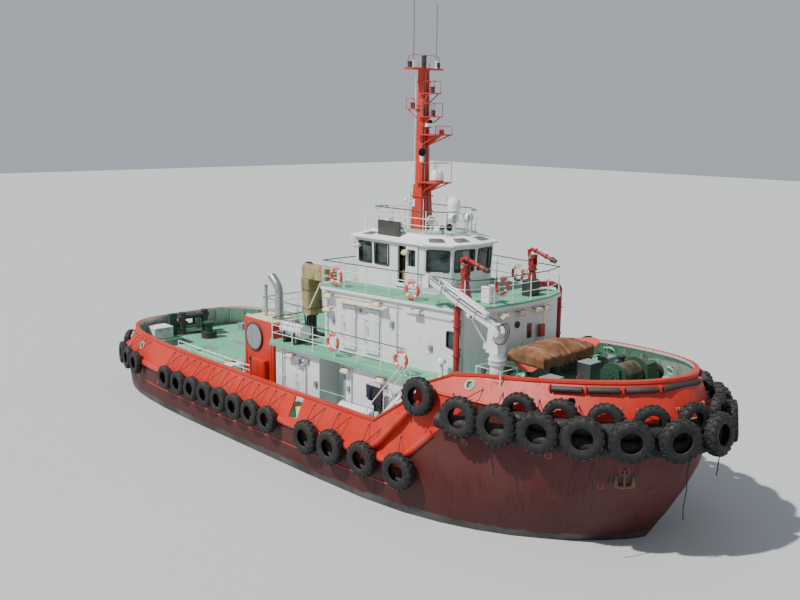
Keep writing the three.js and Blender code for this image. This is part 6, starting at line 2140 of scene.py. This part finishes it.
HANGING = [
    (11.2, -1, 2.7, 0.8), (13.9, -1, 2.4, 1.1), (15.6, -1, 2.4, 1.3), (8.1, -1, 3.3, 0.5),
    (15.0, 1, 2.4, 1.0), (12.0, 1, 2.6, 0.9),
]
for x, side, z, drop in HANGING:
    at, out = edge_at(z + 0.6, x, side)
    line = [at + out * 0.75 + UP * 0.5]
    for k in range(1, 7):
        line.append(
            at + out * (0.72 - 0.02 * k) + UP * (
                0.5 - drop * k / 4
            ) + UP.cross(out) * 0.03 * math.sin(k * 1.7 + x)
        )
    add_pipe(bm, smooth_path(line, 1), 0.02, 6, material=LASHING)
piece("lashings", bm, edge_mats)

# %% [markdown]
# Short black rubber cylinders follow the outside of the bow's rail, each held by orange brackets at its ends.
# Rays against the bulwark's solid give the places, so that they touch the plate all the way round.

# %% Rail fenders
bm = bmesh.new()
FENDER_RADIUS = 0.1
rail_line = []
for side in (-1, 1):
    half_line = []
    for k in range(161):
        x = 12.3 + (15.98 - 12.3) * (k / 160) ** 0.5
        at, out = edge_at(BOAT_DECK, x, side)
        top = BOAT_DECK + 0.7 + max(0.0, (x - 8.9) / 7.1) * 0.55
        spot, face = on_plate("bulwark_fore", at, out, top - 0.3)
        half_line.append((spot + face * FENDER_RADIUS, face))
    rail_line += half_line if side < 0 else list(reversed(half_line))
travelled, start, gap = 0.0, None, 0.16
long, last = 0.98, rail_line[0][0]
made_fenders = 0
for spot, face in rail_line:
    travelled += (spot - last).length
    last = spot
    if start is None and travelled >= gap:
        start, travelled = spot, 0.0
        add_box(
            bm, (-0.1, -0.035, -0.09), (0.05, 0.035, 0.12), 0.01, 2,
            placed(basis(UP, face), spot - (face.cross(UP) * -0.08)),
        )
    elif start is not None and travelled >= long:
        add_rod(bm, start, spot, FENDER_RADIUS, sides=14, material=1, bevel=0.012)
        made_fenders += 1
        start, travelled = None, 0.0
piece("rail_fenders", bm, edge_mats)
print("rail fenders:", made_fenders)

# %% [markdown]
# The anchor is stowed with its flukes against a pocket in the bow's plating, and rust runs down from it. The
# pocket's dark inside is painted shade: a shallow black plate whose corners follow the hull. The anchor is a
# few bevelled blocks.

# %% Anchors
bm = bmesh.new()
for side in SIDES.values():
    at, out = edge_at(2.75, 14.6, side)
    turn = placed(basis(out, UP.cross(out)), at)
    outline = rounded([(-0.5, -0.3, 0), (0.34, -0.46, 0), (0.5, 0.36, 0), (-0.34, 0.44, 0)], 0.16)
    # The pocket's black plate is painted shade for the recess in the plating.
    add_plate(bm, [p - Vector((0, 0, 0.03)) for p in outline], (0, 0, 0.05), RECESS_SHADE, 0.006, turn)
    add_ring(bm, at + UP * 0.25 + out * 0.05, out, 0.15, 0.035, 24, 8, RUST)
    add_rod(bm, at + UP * 0.3 + out * 0.06, at - UP * 0.3 + out * 0.1, 0.05, sides=10, material=RUST)
    sideways = UP.cross(out)
    for sign in (-1, 1):
        root = at - UP * 0.28 + out * 0.1
        add_rod(bm, root, root + sideways * 0.3 * sign + UP * 0.05, 0.055, sides=8, material=RUST)
        fluke = [
            root + sideways * sign * 0.3, root + sideways * sign * 0.36 + UP * 0.1,
            root + sideways * sign * 0.27 + UP * 0.42, root + sideways * sign * 0.2 + UP * 0.05,
        ]
        add_plate(bm, fluke, out * 0.05, RUST, 0.01)
piece("anchors", bm, edge_mats)

# %% [markdown]
# Inside the bulwarks a row of ribs holds the plate to the deck, each a thin bracket that is deep at its foot.
# They show best inside the port bulwark, which faces the sun across the deck.

# %% Bulwark ribs
rib_mats = [paints["inner_white"], paints["rust"]]
PLATE = 0.085  # the bulwark's thickness, from its outer face


def rib(bm, plate, at, out, base, top):
    """A bracket from the deck to just under the cap rail, on the inner face of a plate."""
    tall = top - base
    foot = (on_plate(plate, at, out, base + 0.06)[0] - out * PLATE).xy.to_3d()
    head = (on_plate(plate, at, out, top - 0.1)[0] - out * PLATE).xy.to_3d()
    outline = [
        foot + UP * base,
        foot - out * 0.42 + UP * base,
        foot - out * 0.4 + UP * (base + 0.06),
        head - out * 0.12 + UP * (base + tall * 0.8),
        head - out * 0.1 + UP * top,
        head + UP * top,
    ]
    side = UP.cross(out).normalized()
    add_plate(bm, [p - side * 0.006 for p in outline], side * 0.012, 0, 0)


bm = bmesh.new()
count = 0
for side in SIDES.values():
    for k in range(23):
        x = -15.6 + k * 0.98
        if x > 5.6 or 0.6 < x < 1.6:
            continue
        at, out = edge_at(DECK, x, side)
        rib(bm, "bulwark_aft", at, out, DECK, 2.96)
        count += 1
    for k in range(9):
        x = 8.0 + k * 0.92
        at, out = edge_at(BOAT_DECK, x, side)
        share = min(1, (x - 7.52) / 1.38)
        rib(bm, "bulwark_fore", at, out, BOAT_DECK, BOAT_DECK + share * 0.66)
        count += 1
for k in range(7):
    y = -3.0 + k
    if abs(y) > 0.9:
        rib(bm, "bulwark_aft", *stern_at(DECK, y), DECK, 2.9)
piece("bulwark_ribs", bm, rib_mats, smooth=20)
print("ribs:", count)

# %% [markdown]
# Aft, the working deck has a black frame for the tow line in the stern, towing posts, bollards with caps, a
# capstan and a white bar rail along the side of the bulwark. On the deck lie round hatches and bolted plates.

# %% Aft deck
deck_mats = [
    paints["black"], paints["winch_green"], paints["green_deck"], paints["steel"], paints["clean_white"],
    paints["grey"], paints["monitor_red"],
]
K, DG, DK, ST, WH, GR, RD = range(7)


def bollard_caps(bm, x, y, base, tall, radius, material=K):
    for reach in (-1, 1):
        add_turned(
            bm,
            [
                (0, 0), (radius + 0.035, 0), (radius + 0.045, 0.02), (radius + 0.045, 0.05),
                (radius + 0.02, 0.07), (0, 0.075),
            ],
            (x + reach * 0.21, y, base + tall - 0.03), UP, 24, material,
        )
        add_turned(
            bm, [(0, 0), (radius + 0.04, 0), (radius + 0.01, 0.03), (0, 0.03)],
            (x + reach * 0.21, y, base + 0.05), UP, 24, material,
        )


def deck_hatch(bm, x, y, base, radius):
    add_turned(
        bm, [(0, 0), (radius, 0), (radius, 0.05), (radius * 0.94, 0.07), (radius * 0.3, 0.085), (0, 0.085)],
        (x, y, base), UP, 32, DK,
    )
    add_ring(bm, (x, y, base + 0.05), UP, radius + 0.02, 0.016, 32, 6, DK)
    for angle in spread_turns(6):
        spot = Vector((x + math.cos(angle) * radius * 1.02, y + math.sin(angle) * radius * 1.02, base))
        add_rod(bm, spot, spot + UP * 0.1, 0.022, sides=6, material=ST)
    add_rod(bm, (x - 0.1, y, base + 0.13), (x + 0.1, y, base + 0.13), 0.012, sides=6, material=ST)
    for reach in (-0.1, 0.1):
        add_rod(bm, (x + reach, y, base + 0.06), (x + reach, y, base + 0.13), 0.012, sides=6, material=ST)


bm = bmesh.new()
for side in SIDES.values():
    bollard_caps(bm, -13.0, side * 3.65, DECK, 0.62, 0.13)
    bollard_caps(bm, 11.4, side * 2.5, BOAT_DECK, 0.62, 0.13)
    deck_hatch(bm, -11.6, side * 1.9, DECK, 0.34)
    deck_hatch(bm, -9.4, side * 3.2, DECK, 0.3)
    add_box(bm, (-12.1, side * 0.9 - 0.5, DECK), (-11.0, side * 0.9 - 0.1, DECK + 0.02), 0.004, GR)
    for x, y in ((-6.2, 0.9), (-6.2, 2.9), (9.3, 1.7)):
        base = DECK if x < 0 else BOAT_DECK
        add_turned(
            bm, [(0, 0), (0.09, 0), (0.09, 0.3), (0.17, 0.36), (0.2, 0.46), (0.17, 0.52), (0, 0.55)],
            (x, side * y, base), UP, 24, WH if x < 0 else DG,
        )
for y in (-0.7, 0.7):
    for z, r in ((2.35, 0.2), (3.18, 0.2)):
        add_ring(bm, (-15.2, y, z), UP, r, 0.02, 24, 6, K)
for z in (2.28, 2.86):
    add_rod(bm, (-16.2, -0.6, z), (-16.2, 0.6, z), 0.06, sides=12, material=K)
for y in (-0.6, 0.6):
    add_rod(bm, (-16.2, y, 2.24), (-16.2, y, 2.92), 0.08, sides=14, material=K)
add_box(bm, (-14.9, 0.2, DECK), (-13.9, 1.5, DECK + 0.02), 0.004, DG)
add_box(bm, (-14.4, -2.6, DECK), (-13.1, -1.2, DECK + 0.025), 0.004, DG)
add_box(bm, (-15.55, -1.42, DECK), (-15.3, -0.95, 3.2), 0.02, DG)
add_ring(bm, (-13.6, 0, 2.3), UP, 0.4, 0.025, 32, 6, K)
for angle in spread_turns(8):
    add_rod(
        bm, (-13.6 + math.cos(angle) * 0.36, math.sin(angle) * 0.36, 2.26),
        (-13.6 + math.cos(angle) * 0.36, math.sin(angle) * 0.36, 2.3), 0.022, sides=6, material=K,
    )
add_box(bm, (-15.68, -2.58, 2.6), (-14.72, -1.52, 2.66), 0.02, WH)
for y in (-2.3, -1.8):
    add_box(bm, (-14.72, y - 0.04, 2.45), (-14.69, y + 0.04, 2.64), 0.006, ST)
    add_box(bm, (-15.7, y - 0.06, 2.52), (-15.66, y + 0.06, 2.66), 0.006, ST)
for x, y, w, d, h, tone in (
    (-14.2, 2.6, 0.5, 0.4, 0.35, GR), (-10.3, -3.7, 0.3, 0.3, 0.12, ST), (-6.4, -3.2, 0.6, 0.4, 0.5, WH),
    (-5.3, 1.5, 0.5, 0.9, 0.7, WH),
):
    block(bm, (x, y, DECK), (w, d, h), 0.02, tone)
piece("aft_deck_gear", bm, deck_mats)
bm = bmesh.new()
for side in SIDES.values():
    line = []
    for k in range(12):
        x = -8.7 + k * 0.56
        at, out = edge_at(DECK, x, side)
        spot = at - out * 0.6
        line.append(spot + UP * 1.42)
        if k % 2 == 0:
            add_rod(bm, spot + UP * 1.0, spot + UP * 1.42, 0.016, sides=8, material=WH)
    for drop in (0.0, 0.2):
        add_pipe(bm, [p - UP * drop for p in line], 0.02 if drop == 0 else 0.014, 8, material=WH)
    add_rod(bm, line[-1] - UP * 0.4, line[-1] + UP * 0.3, 0.045, sides=10, material=RD)
    add_turned(bm, [(0, 0), (0.06, 0), (0.06, 0.12), (0, 0.13)], line[-1] + UP * 0.28, UP, 16, K)
piece("aft_bar_rail", bm, deck_mats)

# %% [markdown]
# On the foredeck the green winch holds a thick tow rope on its drum. The turns are wound as one pipe on a
# helix, in two layers, and ride with the drum. Around it stand boxes, warping drums, bollards and vents.

# %% Foredeck
WINCH = Vector((13.0, 0, 5.45))
bm = bmesh.new()
for layer, (radius, turns, reach) in enumerate(((0.3, 15, 0.6), (0.37, 14, 0.56))):
    line = []
    steps = turns * 16
    for k in range(steps + 1):
        angle = math.tau * k / 16
        y = -reach + 2 * reach * k / steps
        line.append(WINCH + Vector((math.cos(angle) * radius, y, math.sin(angle) * radius)))
    add_pipe(bm, line, 0.038, 6)
piece("winch_rope", bm, tow_rope, body="winch_drum")
bm = bmesh.new()
for y in (-0.66, 0.66):
    for radius in (0.3, 0.45):
        add_ring(bm, WINCH + PORT * y, PORT, radius, 0.018, 32, 6, DG)
    for angle in spread_turns(6):
        spoke = Vector((math.cos(angle), 0, math.sin(angle)))
        add_rod(
            bm, WINCH + PORT * y + spoke * 0.16, WINCH + PORT * y + spoke * 0.47, 0.03, sides=6, material=DG
        )
piece("winch_drum_rims", bm, deck_mats, body="winch_drum")
bm = bmesh.new()
for y in (-0.83, 0.73):
    for angle in spread_turns(8):
        add_rod(
            bm, WINCH + Vector((math.cos(angle) * 0.2, y, math.sin(angle) * 0.2)),
            WINCH + Vector((math.cos(angle) * 0.2, y + 0.1, math.sin(angle) * 0.2)), 0.02, sides=6,
            material=ST,
        )
add_rod(bm, WINCH + PORT * 1.45, WINCH + PORT * 1.75, 0.22, sides=24, material=DG, bevel=0.02)
add_rod(bm, WINCH + PORT * 1.75, WINCH + PORT * 1.85, 0.14, sides=24, material=GR, bevel=0.01)
add_box(bm, (12.75, 1.5, BOAT_DECK), (13.25, 1.8, 5.3), 0.02, DG)
add_pipe(
    bm, smooth_path([(12.7, 1.5, 5.5), (12.3, 1.6, 5.6), (12.1, 1.6, 5.0), (12.0, 1.6, BOAT_DECK)], 2), 0.03,
    8, material=K,
)
add_pipe(
    bm, smooth_path([(12.7, 1.4, 5.4), (12.2, 1.45, 5.45), (12.05, 1.45, 5.0), (11.95, 1.45, BOAT_DECK)], 2),
    0.03, 8, material=K,
)
for x in (12.45, 13.55):
    add_box(bm, (x - 0.04, -0.95, BOAT_DECK), (x + 0.04, 1.6, BOAT_DECK + 0.14), 0.01, DG)
GEAR = [
    (11.55, -2.1, 0.55, 0.6, 0.72, GR), (12.35, -2.25, 0.4, 0.5, 0.5, K), (10.4, 2.7, 0.5, 0.5, 0.45, GR),
    (9.15, 2.5, 0.4, 0.6, 0.7, WH), (14.2, 1.4, 0.35, 0.35, 0.5, DG), (
        14.2, -1.4, 0.35, 0.35, 0.5, DG
    ), (14.9, 0.0, 0.3, 0.9, 0.35, K),
]
for x, y, w, d, h, tone in GEAR:
    block(bm, (x, y, BOAT_DECK), (w, d, h), 0.03, tone, 2)
    block(bm, (x, y, BOAT_DECK + h - 0.05), (w + 0.04, d + 0.04, 0.062), 0.01, tone)
for y in (-1.9, 1.9):
    add_rod(bm, (12.9, y - 0.28, 5.15), (12.9, y + 0.28, 5.15), 0.2, sides=24, material=K, bevel=0.02)
    for reach in (-0.3, 0.26):
        add_disc(bm, (12.9, y + reach, 5.15), PORT, 0.28, 0.04, 28, K)
    add_box(bm, (12.7, y - 0.1, BOAT_DECK), (13.1, y + 0.1, 5.0), 0.02, K)
    hand_wheel(bm, (12.55, y, 5.5), AHEAD, 0.18, RD)
    add_rod(bm, (12.56, y, 5.5), (12.9, y, 5.3), 0.02, sides=8, material=K)
for x, y in ((13.9, -2.2), (13.9, 2.2), (15.1, -0.95), (15.1, 0.95)):
    add_turned(
        bm,
        [(0, 0), (0.16, 0), (0.16, 0.03), (0.09, 0.08), (0.09, 0.3), (0.15, 0.36), (0.15, 0.4), (0, 0.41)],
        (x, y, BOAT_DECK), UP, 22, DG,
    )
add_box(bm, (10.93, 0.13, 5.44), (11.52, 0.77, 5.49), 0.015, GR)
VENT = [
    (0, 0), (0.12, 0), (0.12, 0.03), (0.07, 0.05), (0.07, 0.52), (0.17, 0.55), (0.17, 0.62), (0.1, 0.72),
    (0, 0.75),
]
for side in SIDES.values():
    add_turned(bm, VENT, (7.35, side * 3.1, BOAT_DECK), UP, 24, WH)
    add_turned(bm, VENT, (9.2, side * 0.6, BOAT_DECK), UP, 24, WH)
add_box(bm, (8.45, 0.93, 5.82), (8.58, 1.23, 6.3), 0.02, RD)
add_turned(bm, [(0, 0), (0.13, 0), (0.13, 0.03), (0.1, 0.05), (0, 0.05)], (8.45, -0.27, 6.45), AHEAD, 24, K)
deck_hatch(bm, 10.1, 1.2, BOAT_DECK, 0.3)
deck_hatch(bm, 14.4, 0.55, BOAT_DECK, 0.26)
piece("foredeck_gear", bm, deck_mats)
print("foredeck dressed")

# %% [markdown]
# A mooring rope lies in a flat coil beside the casing. One curve winds outward, then steps up and winds
# inward, layer on layer, so that it never crosses itself. It replaces the plain ring of the solid model.

# %% Rope coil
ROPE = 0.08
COIL = Vector((-7.2, -2.6, DECK))
coil_line = []
COIL_STEP, COIL_RISE, COIL_IN, COIL_OUT, COIL_LAYERS = 0.0855, 0.083, 0.245, 0.575, 4
per_turn = 40
turns_per_layer = (COIL_OUT - COIL_IN) / COIL_STEP
points_per_layer = int(turns_per_layer * per_turn)
angle = 0.0
for layer in range(COIL_LAYERS):
    for k in range(points_per_layer + 1):
        share = k / points_per_layer
        share = share if layer % 2 == 0 else 1 - share
        radius = COIL_IN + (COIL_OUT - COIL_IN) * share
        lift = 0.042 + COIL_RISE * layer
        if layer < COIL_LAYERS - 1 and k > points_per_layer - 6:
            continue
        coil_line.append(COIL + Vector((math.cos(angle) * radius, math.sin(angle) * radius, lift)))
        angle += math.tau / per_turn
curve = bpy.data.curves.new("rope_coil_line", "CURVE")
curve.dimensions = "3D"
spline = curve.splines.new("POLY")
spline.points.add(len(coil_line) - 1)
for point, spot in zip(spline.points, coil_line):
    point.co = (*spot, 1)
curve.bevel_depth = ROPE / 2
curve.bevel_resolution = 3
curve.use_fill_caps = True
coil = bpy.data.objects.new("mooring_coil", curve)
bpy.context.scene.collection.objects.link(coil)
curve.materials.append(pale_rope)
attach(coil, BODY)
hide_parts("rope_coil")

# %% [markdown]
# The folded crane on the boat deck wears a canvas cover. The cover is one surface that is wrapped round the
# column and, at its top, round the jib that lies forward: each row of points is a rounded box, and the rows
# just under the jib step out to its longer shape. Noise gives the folds, and the hem hangs slack.

# %% Canvas cover
COLUMN = (-1.27, -0.67, -2.99, -2.18)  # its ends along X and along Y
JIB = (-1.27, 0.4, -2.98, -2.5)
CANVAS_HEM, CANVAS_LEDGE, CANVAS_TOP = 5.7, 7.24, 7.85
AROUND = 112


def mixed(a, b, share):
    return a + (b - a) * min(1.0, max(0.0, share))


def canvas_point(turn, z):
    """The cover's point at a turn round its middle and at a height."""
    step = (z - CANVAS_LEDGE) / 0.03 if z < CANVAS_LEDGE + 0.03 else 1.0
    x0, x1, y0, y1 = (mixed(c, j, step) for c, j in zip(COLUMN, JIB))
    y1 = mixed(COLUMN[3], JIB[3], (z - 7.62) / 0.1)
    crown = max(0.0, (z - 7.68) / (CANVAS_TOP - 7.68))
    draw = 0.1 * crown**2
    c, s = math.cos(turn), math.sin(turn)
    square = (abs(c) ** 7 + abs(s) ** 7) ** (-1 / 7)
    flare = 0.05 * max(0.0, (6.0 - z) / 0.3)
    half_x, half_y = (x1 - x0) / 2 - draw + flare, (y1 - y0) / 2 - draw + flare
    spot = Vector(((x0 + x1) / 2 + c * square * half_x, (y0 + y1) / 2 + s * square * half_y, z))
    push = Vector((c, s, 0))
    folds = noise.noise(Vector((spot.x * 2.5, spot.y * 2.5, z * 1.2))) * 0.07
    folds += abs(noise.noise(Vector((spot.x * 6, spot.y * 6, z * 1.7 + 7)))) * 0.045
    folds += noise.noise(Vector((spot.x * 11, spot.y * 11, z * 1.6 + 4))) * 0.022
    hem = noise.noise(Vector((c * 2, s * 2, 9))) * 0.07 * max(0.0, (6.3 - z) / 0.6)
    top_sag = noise.noise(Vector((spot.x * 3, spot.y * 3, 2))) * 0.03 * crown
    return spot + push * (folds - 0.035) * (1 - 0.6 * crown) + UP * (hem + top_sag)


heights = [CANVAS_HEM + (CANVAS_LEDGE - CANVAS_HEM) * k / 46 for k in range(47)]
heights += [CANVAS_LEDGE + 0.03 * k / 5 for k in range(1, 6)]
heights += [CANVAS_LEDGE + 0.03 + (CANVAS_TOP - CANVAS_LEDGE - 0.03) * k / 20 for k in range(1, 21)]
bm = bmesh.new()
rows = [[bm.verts.new(canvas_point(math.tau * i / AROUND, z)) for i in range(AROUND)] for z in heights]
for low, high in zip(rows, rows[1:]):
    for i in range(AROUND):
        bm.faces.new((low[i], low[(i + 1) % AROUND], high[(i + 1) % AROUND], high[i]))
bm.faces.new(rows[-1])
bmesh.ops.recalc_face_normals(bm, faces=bm.faces)
cover = piece("crane_canvas", bm, canvas, smooth=60, replaces=["aft_crane_cover"])
thicken(cover, 0.004)
bm = bmesh.new()
for tie in (5.95, 6.75):
    ring = [canvas_point(math.tau * i / AROUND, tie) for i in range(0, AROUND, 2)]
    middle = sum(ring, Vector()) / len(ring)
    add_pipe(bm, [p + (p - middle).xy.to_3d().normalized() * 0.008 for p in ring], 0.011, 6, closed=True)
STRUT = [(-0.72, -2.9, 6.0), (-0.5, -2.93, 6.3), (0.1, -2.93, 7.2)]
add_pipe(bm, STRUT, 0.035, 8, material=1)
LOOP = [
    (-1.3, -2.75, 7.5), (-1.33, -2.75, 7.72), (-1.12, -2.75, 7.88), (-0.8, -2.75, 7.93), (-0.66, -2.75, 7.84)
]
add_pipe(bm, smooth_path(LOOP, 3), 0.035, 8)
piece("canvas_lashings", bm, [dark_rope, paints["cream"]])
bm = bmesh.new()
FOOT = Vector((-0.97, -2.585, 0))
for k, (dx, dy) in enumerate([(-0.15, -0.27), (0.08, -0.3), (0.18, -0.05), (-0.2, 0.12)]):
    base = FOOT + Vector((dx, dy, BOAT_DECK))
    add_pipe(
        bm, smooth_path([base, base + UP * 0.5 + Vector((0.06 * (-1) ** k, 0, 0)), base + UP * 1.0], 2), 0.03,
        8, material=1,
    )
add_box(bm, (-1.35, -2.95, BOAT_DECK), (-0.55, -2.22, BOAT_DECK + 0.14), 0.02)
flange(bm, (FOOT.x, FOOT.y, BOAT_DECK + 0.14), UP, 0.26, 0.05, 10)
piece("aft_crane_foot", bm, [paints["black"], dark_rope, paints["steel"]])

# %% [markdown]
# The rescue boat sits on cradles across the foredeck. Its hull is lofted: a row of cross-sections, each
# rounder and narrower towards the bow, is bridged into one skin, and a fat orange rim runs round its edge.

# %% Rescue boat
BOAT_Y0, BOAT_Y1 = -1.45, 2.588
BOAT_X, BOAT_HALF = 9.9, 0.8
BOAT_KEEL, BOAT_EDGE = 5.17, 5.74
boat_length = BOAT_Y1 - BOAT_Y0


def boat_half(share):
    """Half the boat's breadth along its length: full at the stern, pointed at the bow."""
    return BOAT_HALF * (
        1 - max(0.0, (share - 0.45) / 0.55) ** 2.4
    ) ** 0.62 * (0.94 + 0.06 * min(1, share * 4))


def boat_section(share, inset=0.0, points=17):
    half = max(0.02, boat_half(share) - inset)
    y = BOAT_Y0 + boat_length * share
    rise = max(0.0, (share - 0.7) / 0.3) ** 2 * 0.3
    line = []
    for k in range(points):
        t = -1 + 2 * k / (points - 1)
        depth = (1 - abs(t) ** 2.6) * (BOAT_EDGE - BOAT_KEEL - rise - inset)
        line.append(Vector((BOAT_X + half * t, y, BOAT_EDGE + rise * 0.12 - depth)))
    return line


bm = bmesh.new()
stations = [0.0, 0.02] + [0.02 + 0.97 * k / 26 for k in range(1, 26)] + [0.985, 0.997]
rows = [[bm.verts.new(p) for p in boat_section(share)] for share in stations]
for a, b in zip(rows, rows[1:]):
    for k in range(len(a) - 1):
        bm.faces.new((a[k], a[k + 1], b[k + 1], b[k]))
bm.faces.new(rows[0])
bm.faces.new(list(reversed(rows[-1])))
for row_a, row_b in zip(rows, rows[1:]):
    bm.faces.new((row_a[0], row_b[0], row_b[-1], row_a[-1]))
bmesh.ops.recalc_face_normals(bm, faces=bm.faces)
port_edge = [boat_section(s)[-1] for s in stations]
starboard_edge = [boat_section(s)[0] for s in stations]
rim = starboard_edge + list(reversed(port_edge))
add_pipe(bm, [p - UP * 0.05 for p in rim], 0.055, 10, closed=True)
add_pipe(
    bm, [Vector((BOAT_X, p.y, boat_section(s)[8].z - 0.012)) for s, p in zip(stations[:-3], port_edge)],
    0.022, 6,
)
for share in (0.2, 0.62):
    section = boat_section(share)
    y = section[0].y
    outline = [section[k] - UP * 0.002 for k in range(4, 13)] + [
        Vector((section[12].x, y, BOAT_DECK)), Vector((section[4].x, y, BOAT_DECK))
    ]
    add_plate(bm, [p - PORT * 0.05 for p in outline], PORT * 0.1, 1)
add_box(bm, (BOAT_X - 0.5, BOAT_Y0 + 0.6, BOAT_DECK), (BOAT_X + 0.5, BOAT_Y0 + 0.7, BOAT_DECK + 0.1), 0.01, 1)
piece("rescue_boat_hull", bm, [paints["buoy"], paints["grey"]], replaces=["rescue_boat"])

# %% [markdown]
# Its brown cover is drawn over the after part and hangs down its sides and its stern, so the bow's orange
# deck shows. The ridge follows the gear beneath, and wrinkles run down to each lacing along the hem.

# %% Boat cover
LACES = 13
bm = bmesh.new()
across, along_count = 44, 90
STERN_HANG, COVER_END = 0.1, 0.72


def cover_share(j):
    """How far along the boat a row of the cover lies; the first rows hang over the stern."""
    return -STERN_HANG + (COVER_END + STERN_HANG) * j / along_count


def cover_point(i, j):
    t = -1 + 2 * i / across
    along = cover_share(j)
    share = max(0.005, along)
    side_hang, stern_hang = max(0.0, (abs(t) - 0.8) / 0.2), max(0.0, -along / STERN_HANG)
    u = math.copysign(min(abs(t) / 0.8, 1), t)
    hang = max(side_hang, stern_hang)
    bulk = math.sin(math.pi * min(1, share * 1.1 + 0.04)) ** 0.55
    ridge = 0.2 + 0.13 * math.exp(-(((share - 0.38) / 0.14) ** 2))
    pull = 0.5 + 0.5 * math.cos(share * math.tau * LACES + u)
    wrinkle = noise.noise(Vector((u * 2.5, share * 16, 1))) * 0.07 + abs(
        noise.noise(Vector((u * 5, share * 26, 6)))
    ) * 0.05
    fold = noise.noise(Vector((u * 3, share * 34, 3))) * 0.05 * hang
    z = BOAT_EDGE + 0.04 + ridge * bulk * (
        1 - abs(u) ** 1.7
    ) + wrinkle * (1 - hang) - hang * (0.3 + 0.08 * pull)
    x = BOAT_X + (boat_half(share) + 0.06) * u + math.copysign(
        side_hang * 0.02 + abs(fold), u
    ) * min(1, side_hang * 4)
    y = BOAT_Y0 + boat_length * share - min(1, stern_hang * 4) * (0.07 + abs(fold))
    return Vector((x, y, z))


grid = [[bm.verts.new(cover_point(i, j)) for i in range(across + 1)] for j in range(along_count + 1)]
for a, b in zip(grid, grid[1:]):
    for i in range(across):
        bm.faces.new((a[i], a[i + 1], b[i + 1], b[i]))
bmesh.ops.recalc_face_normals(bm, faces=bm.faces)
cover = piece("boat_cover", bm, boat_cloth, smooth=60, replaces=["rescue_boat_cover"])
thicken(cover, 0.004)
bm = bmesh.new()
for j in (24, 48, 74):
    add_pipe(bm, [cover_point(i, j) + UP * 0.014 for i in range(4, across - 3)], 0.01, 6)
piece("boat_lashings", bm, pale_rope)

# %% [markdown]
# Each thruster's propeller turns in a nozzle under the stern. A blade is a grid whose sections twist less
# towards the tip: the pitch stays the same, so the angle is steep at the hub and flat at the tip.

# %% Propellers
PROP_X, PROP_Y, PROP_Z = -11.63, 2.3, -3.76
BLADES, HUB, TIP, PITCH = 4, 0.22, 1.08, 2.4
for name, side in SIDES.items():
    bm = bmesh.new()
    for blade in range(BLADES):
        turn = math.tau * blade / BLADES
        faces_rows = []
        for i in range(13):
            share = i / 12
            radius = HUB * 0.8 + (TIP - HUB * 0.8) * share
            twist = math.atan(PITCH / (math.tau * radius))
            chord = 0.62 * math.sqrt(max(0.02, 1 - (share * 1.02 - 0.45) ** 2 / 0.36))
            thick = 0.05 * (1 - share) + 0.012
            loop = []
            for k in range(12):
                angle = math.tau * k / 12
                u, w = math.cos(angle) * chord / 2, math.sin(angle) * thick / 2
                around_by = (u * math.cos(twist) - w * math.sin(twist)) / radius
                ahead = side * (u * math.sin(twist) + w * math.cos(twist)) + 0.08 * share * share
                a = turn + around_by
                loop.append(
                    Vector(
                        (PROP_X - ahead, side * PROP_Y + math.cos(a) * radius, PROP_Z + math.sin(a) * radius)
                    )
                )
            faces_rows.append([bm.verts.new(p) for p in loop])
        for a, b in zip(faces_rows, faces_rows[1:]):
            for k in range(12):
                bm.faces.new((a[k], a[(k + 1) % 12], b[(k + 1) % 12], b[k]))
        bm.faces.new(faces_rows[0])
        bm.faces.new(faces_rows[-1])
    bmesh.ops.recalc_face_normals(bm, faces=bm.faces)
    hub = [(0, 0.3), (0.08, 0.28), (0.15, 0.2), (HUB, 0.1), (HUB, -0.16), (0.18, -0.2), (0, -0.2)]
    add_turned(bm, [(r, -h) for r, h in hub], (PROP_X, side * PROP_Y, PROP_Z), AHEAD, 32)
    piece(
        "propeller_" + name + "_blades", bm, paints["bronze"], body="propeller_" + name,
        smooth=50, replaces=["propeller_" + name],
    )
print("propellers:", 2)

# %% Sizes and finish
print("triangles added:", sum(made_triangles.values()), "in", len(made_triangles), "pieces")
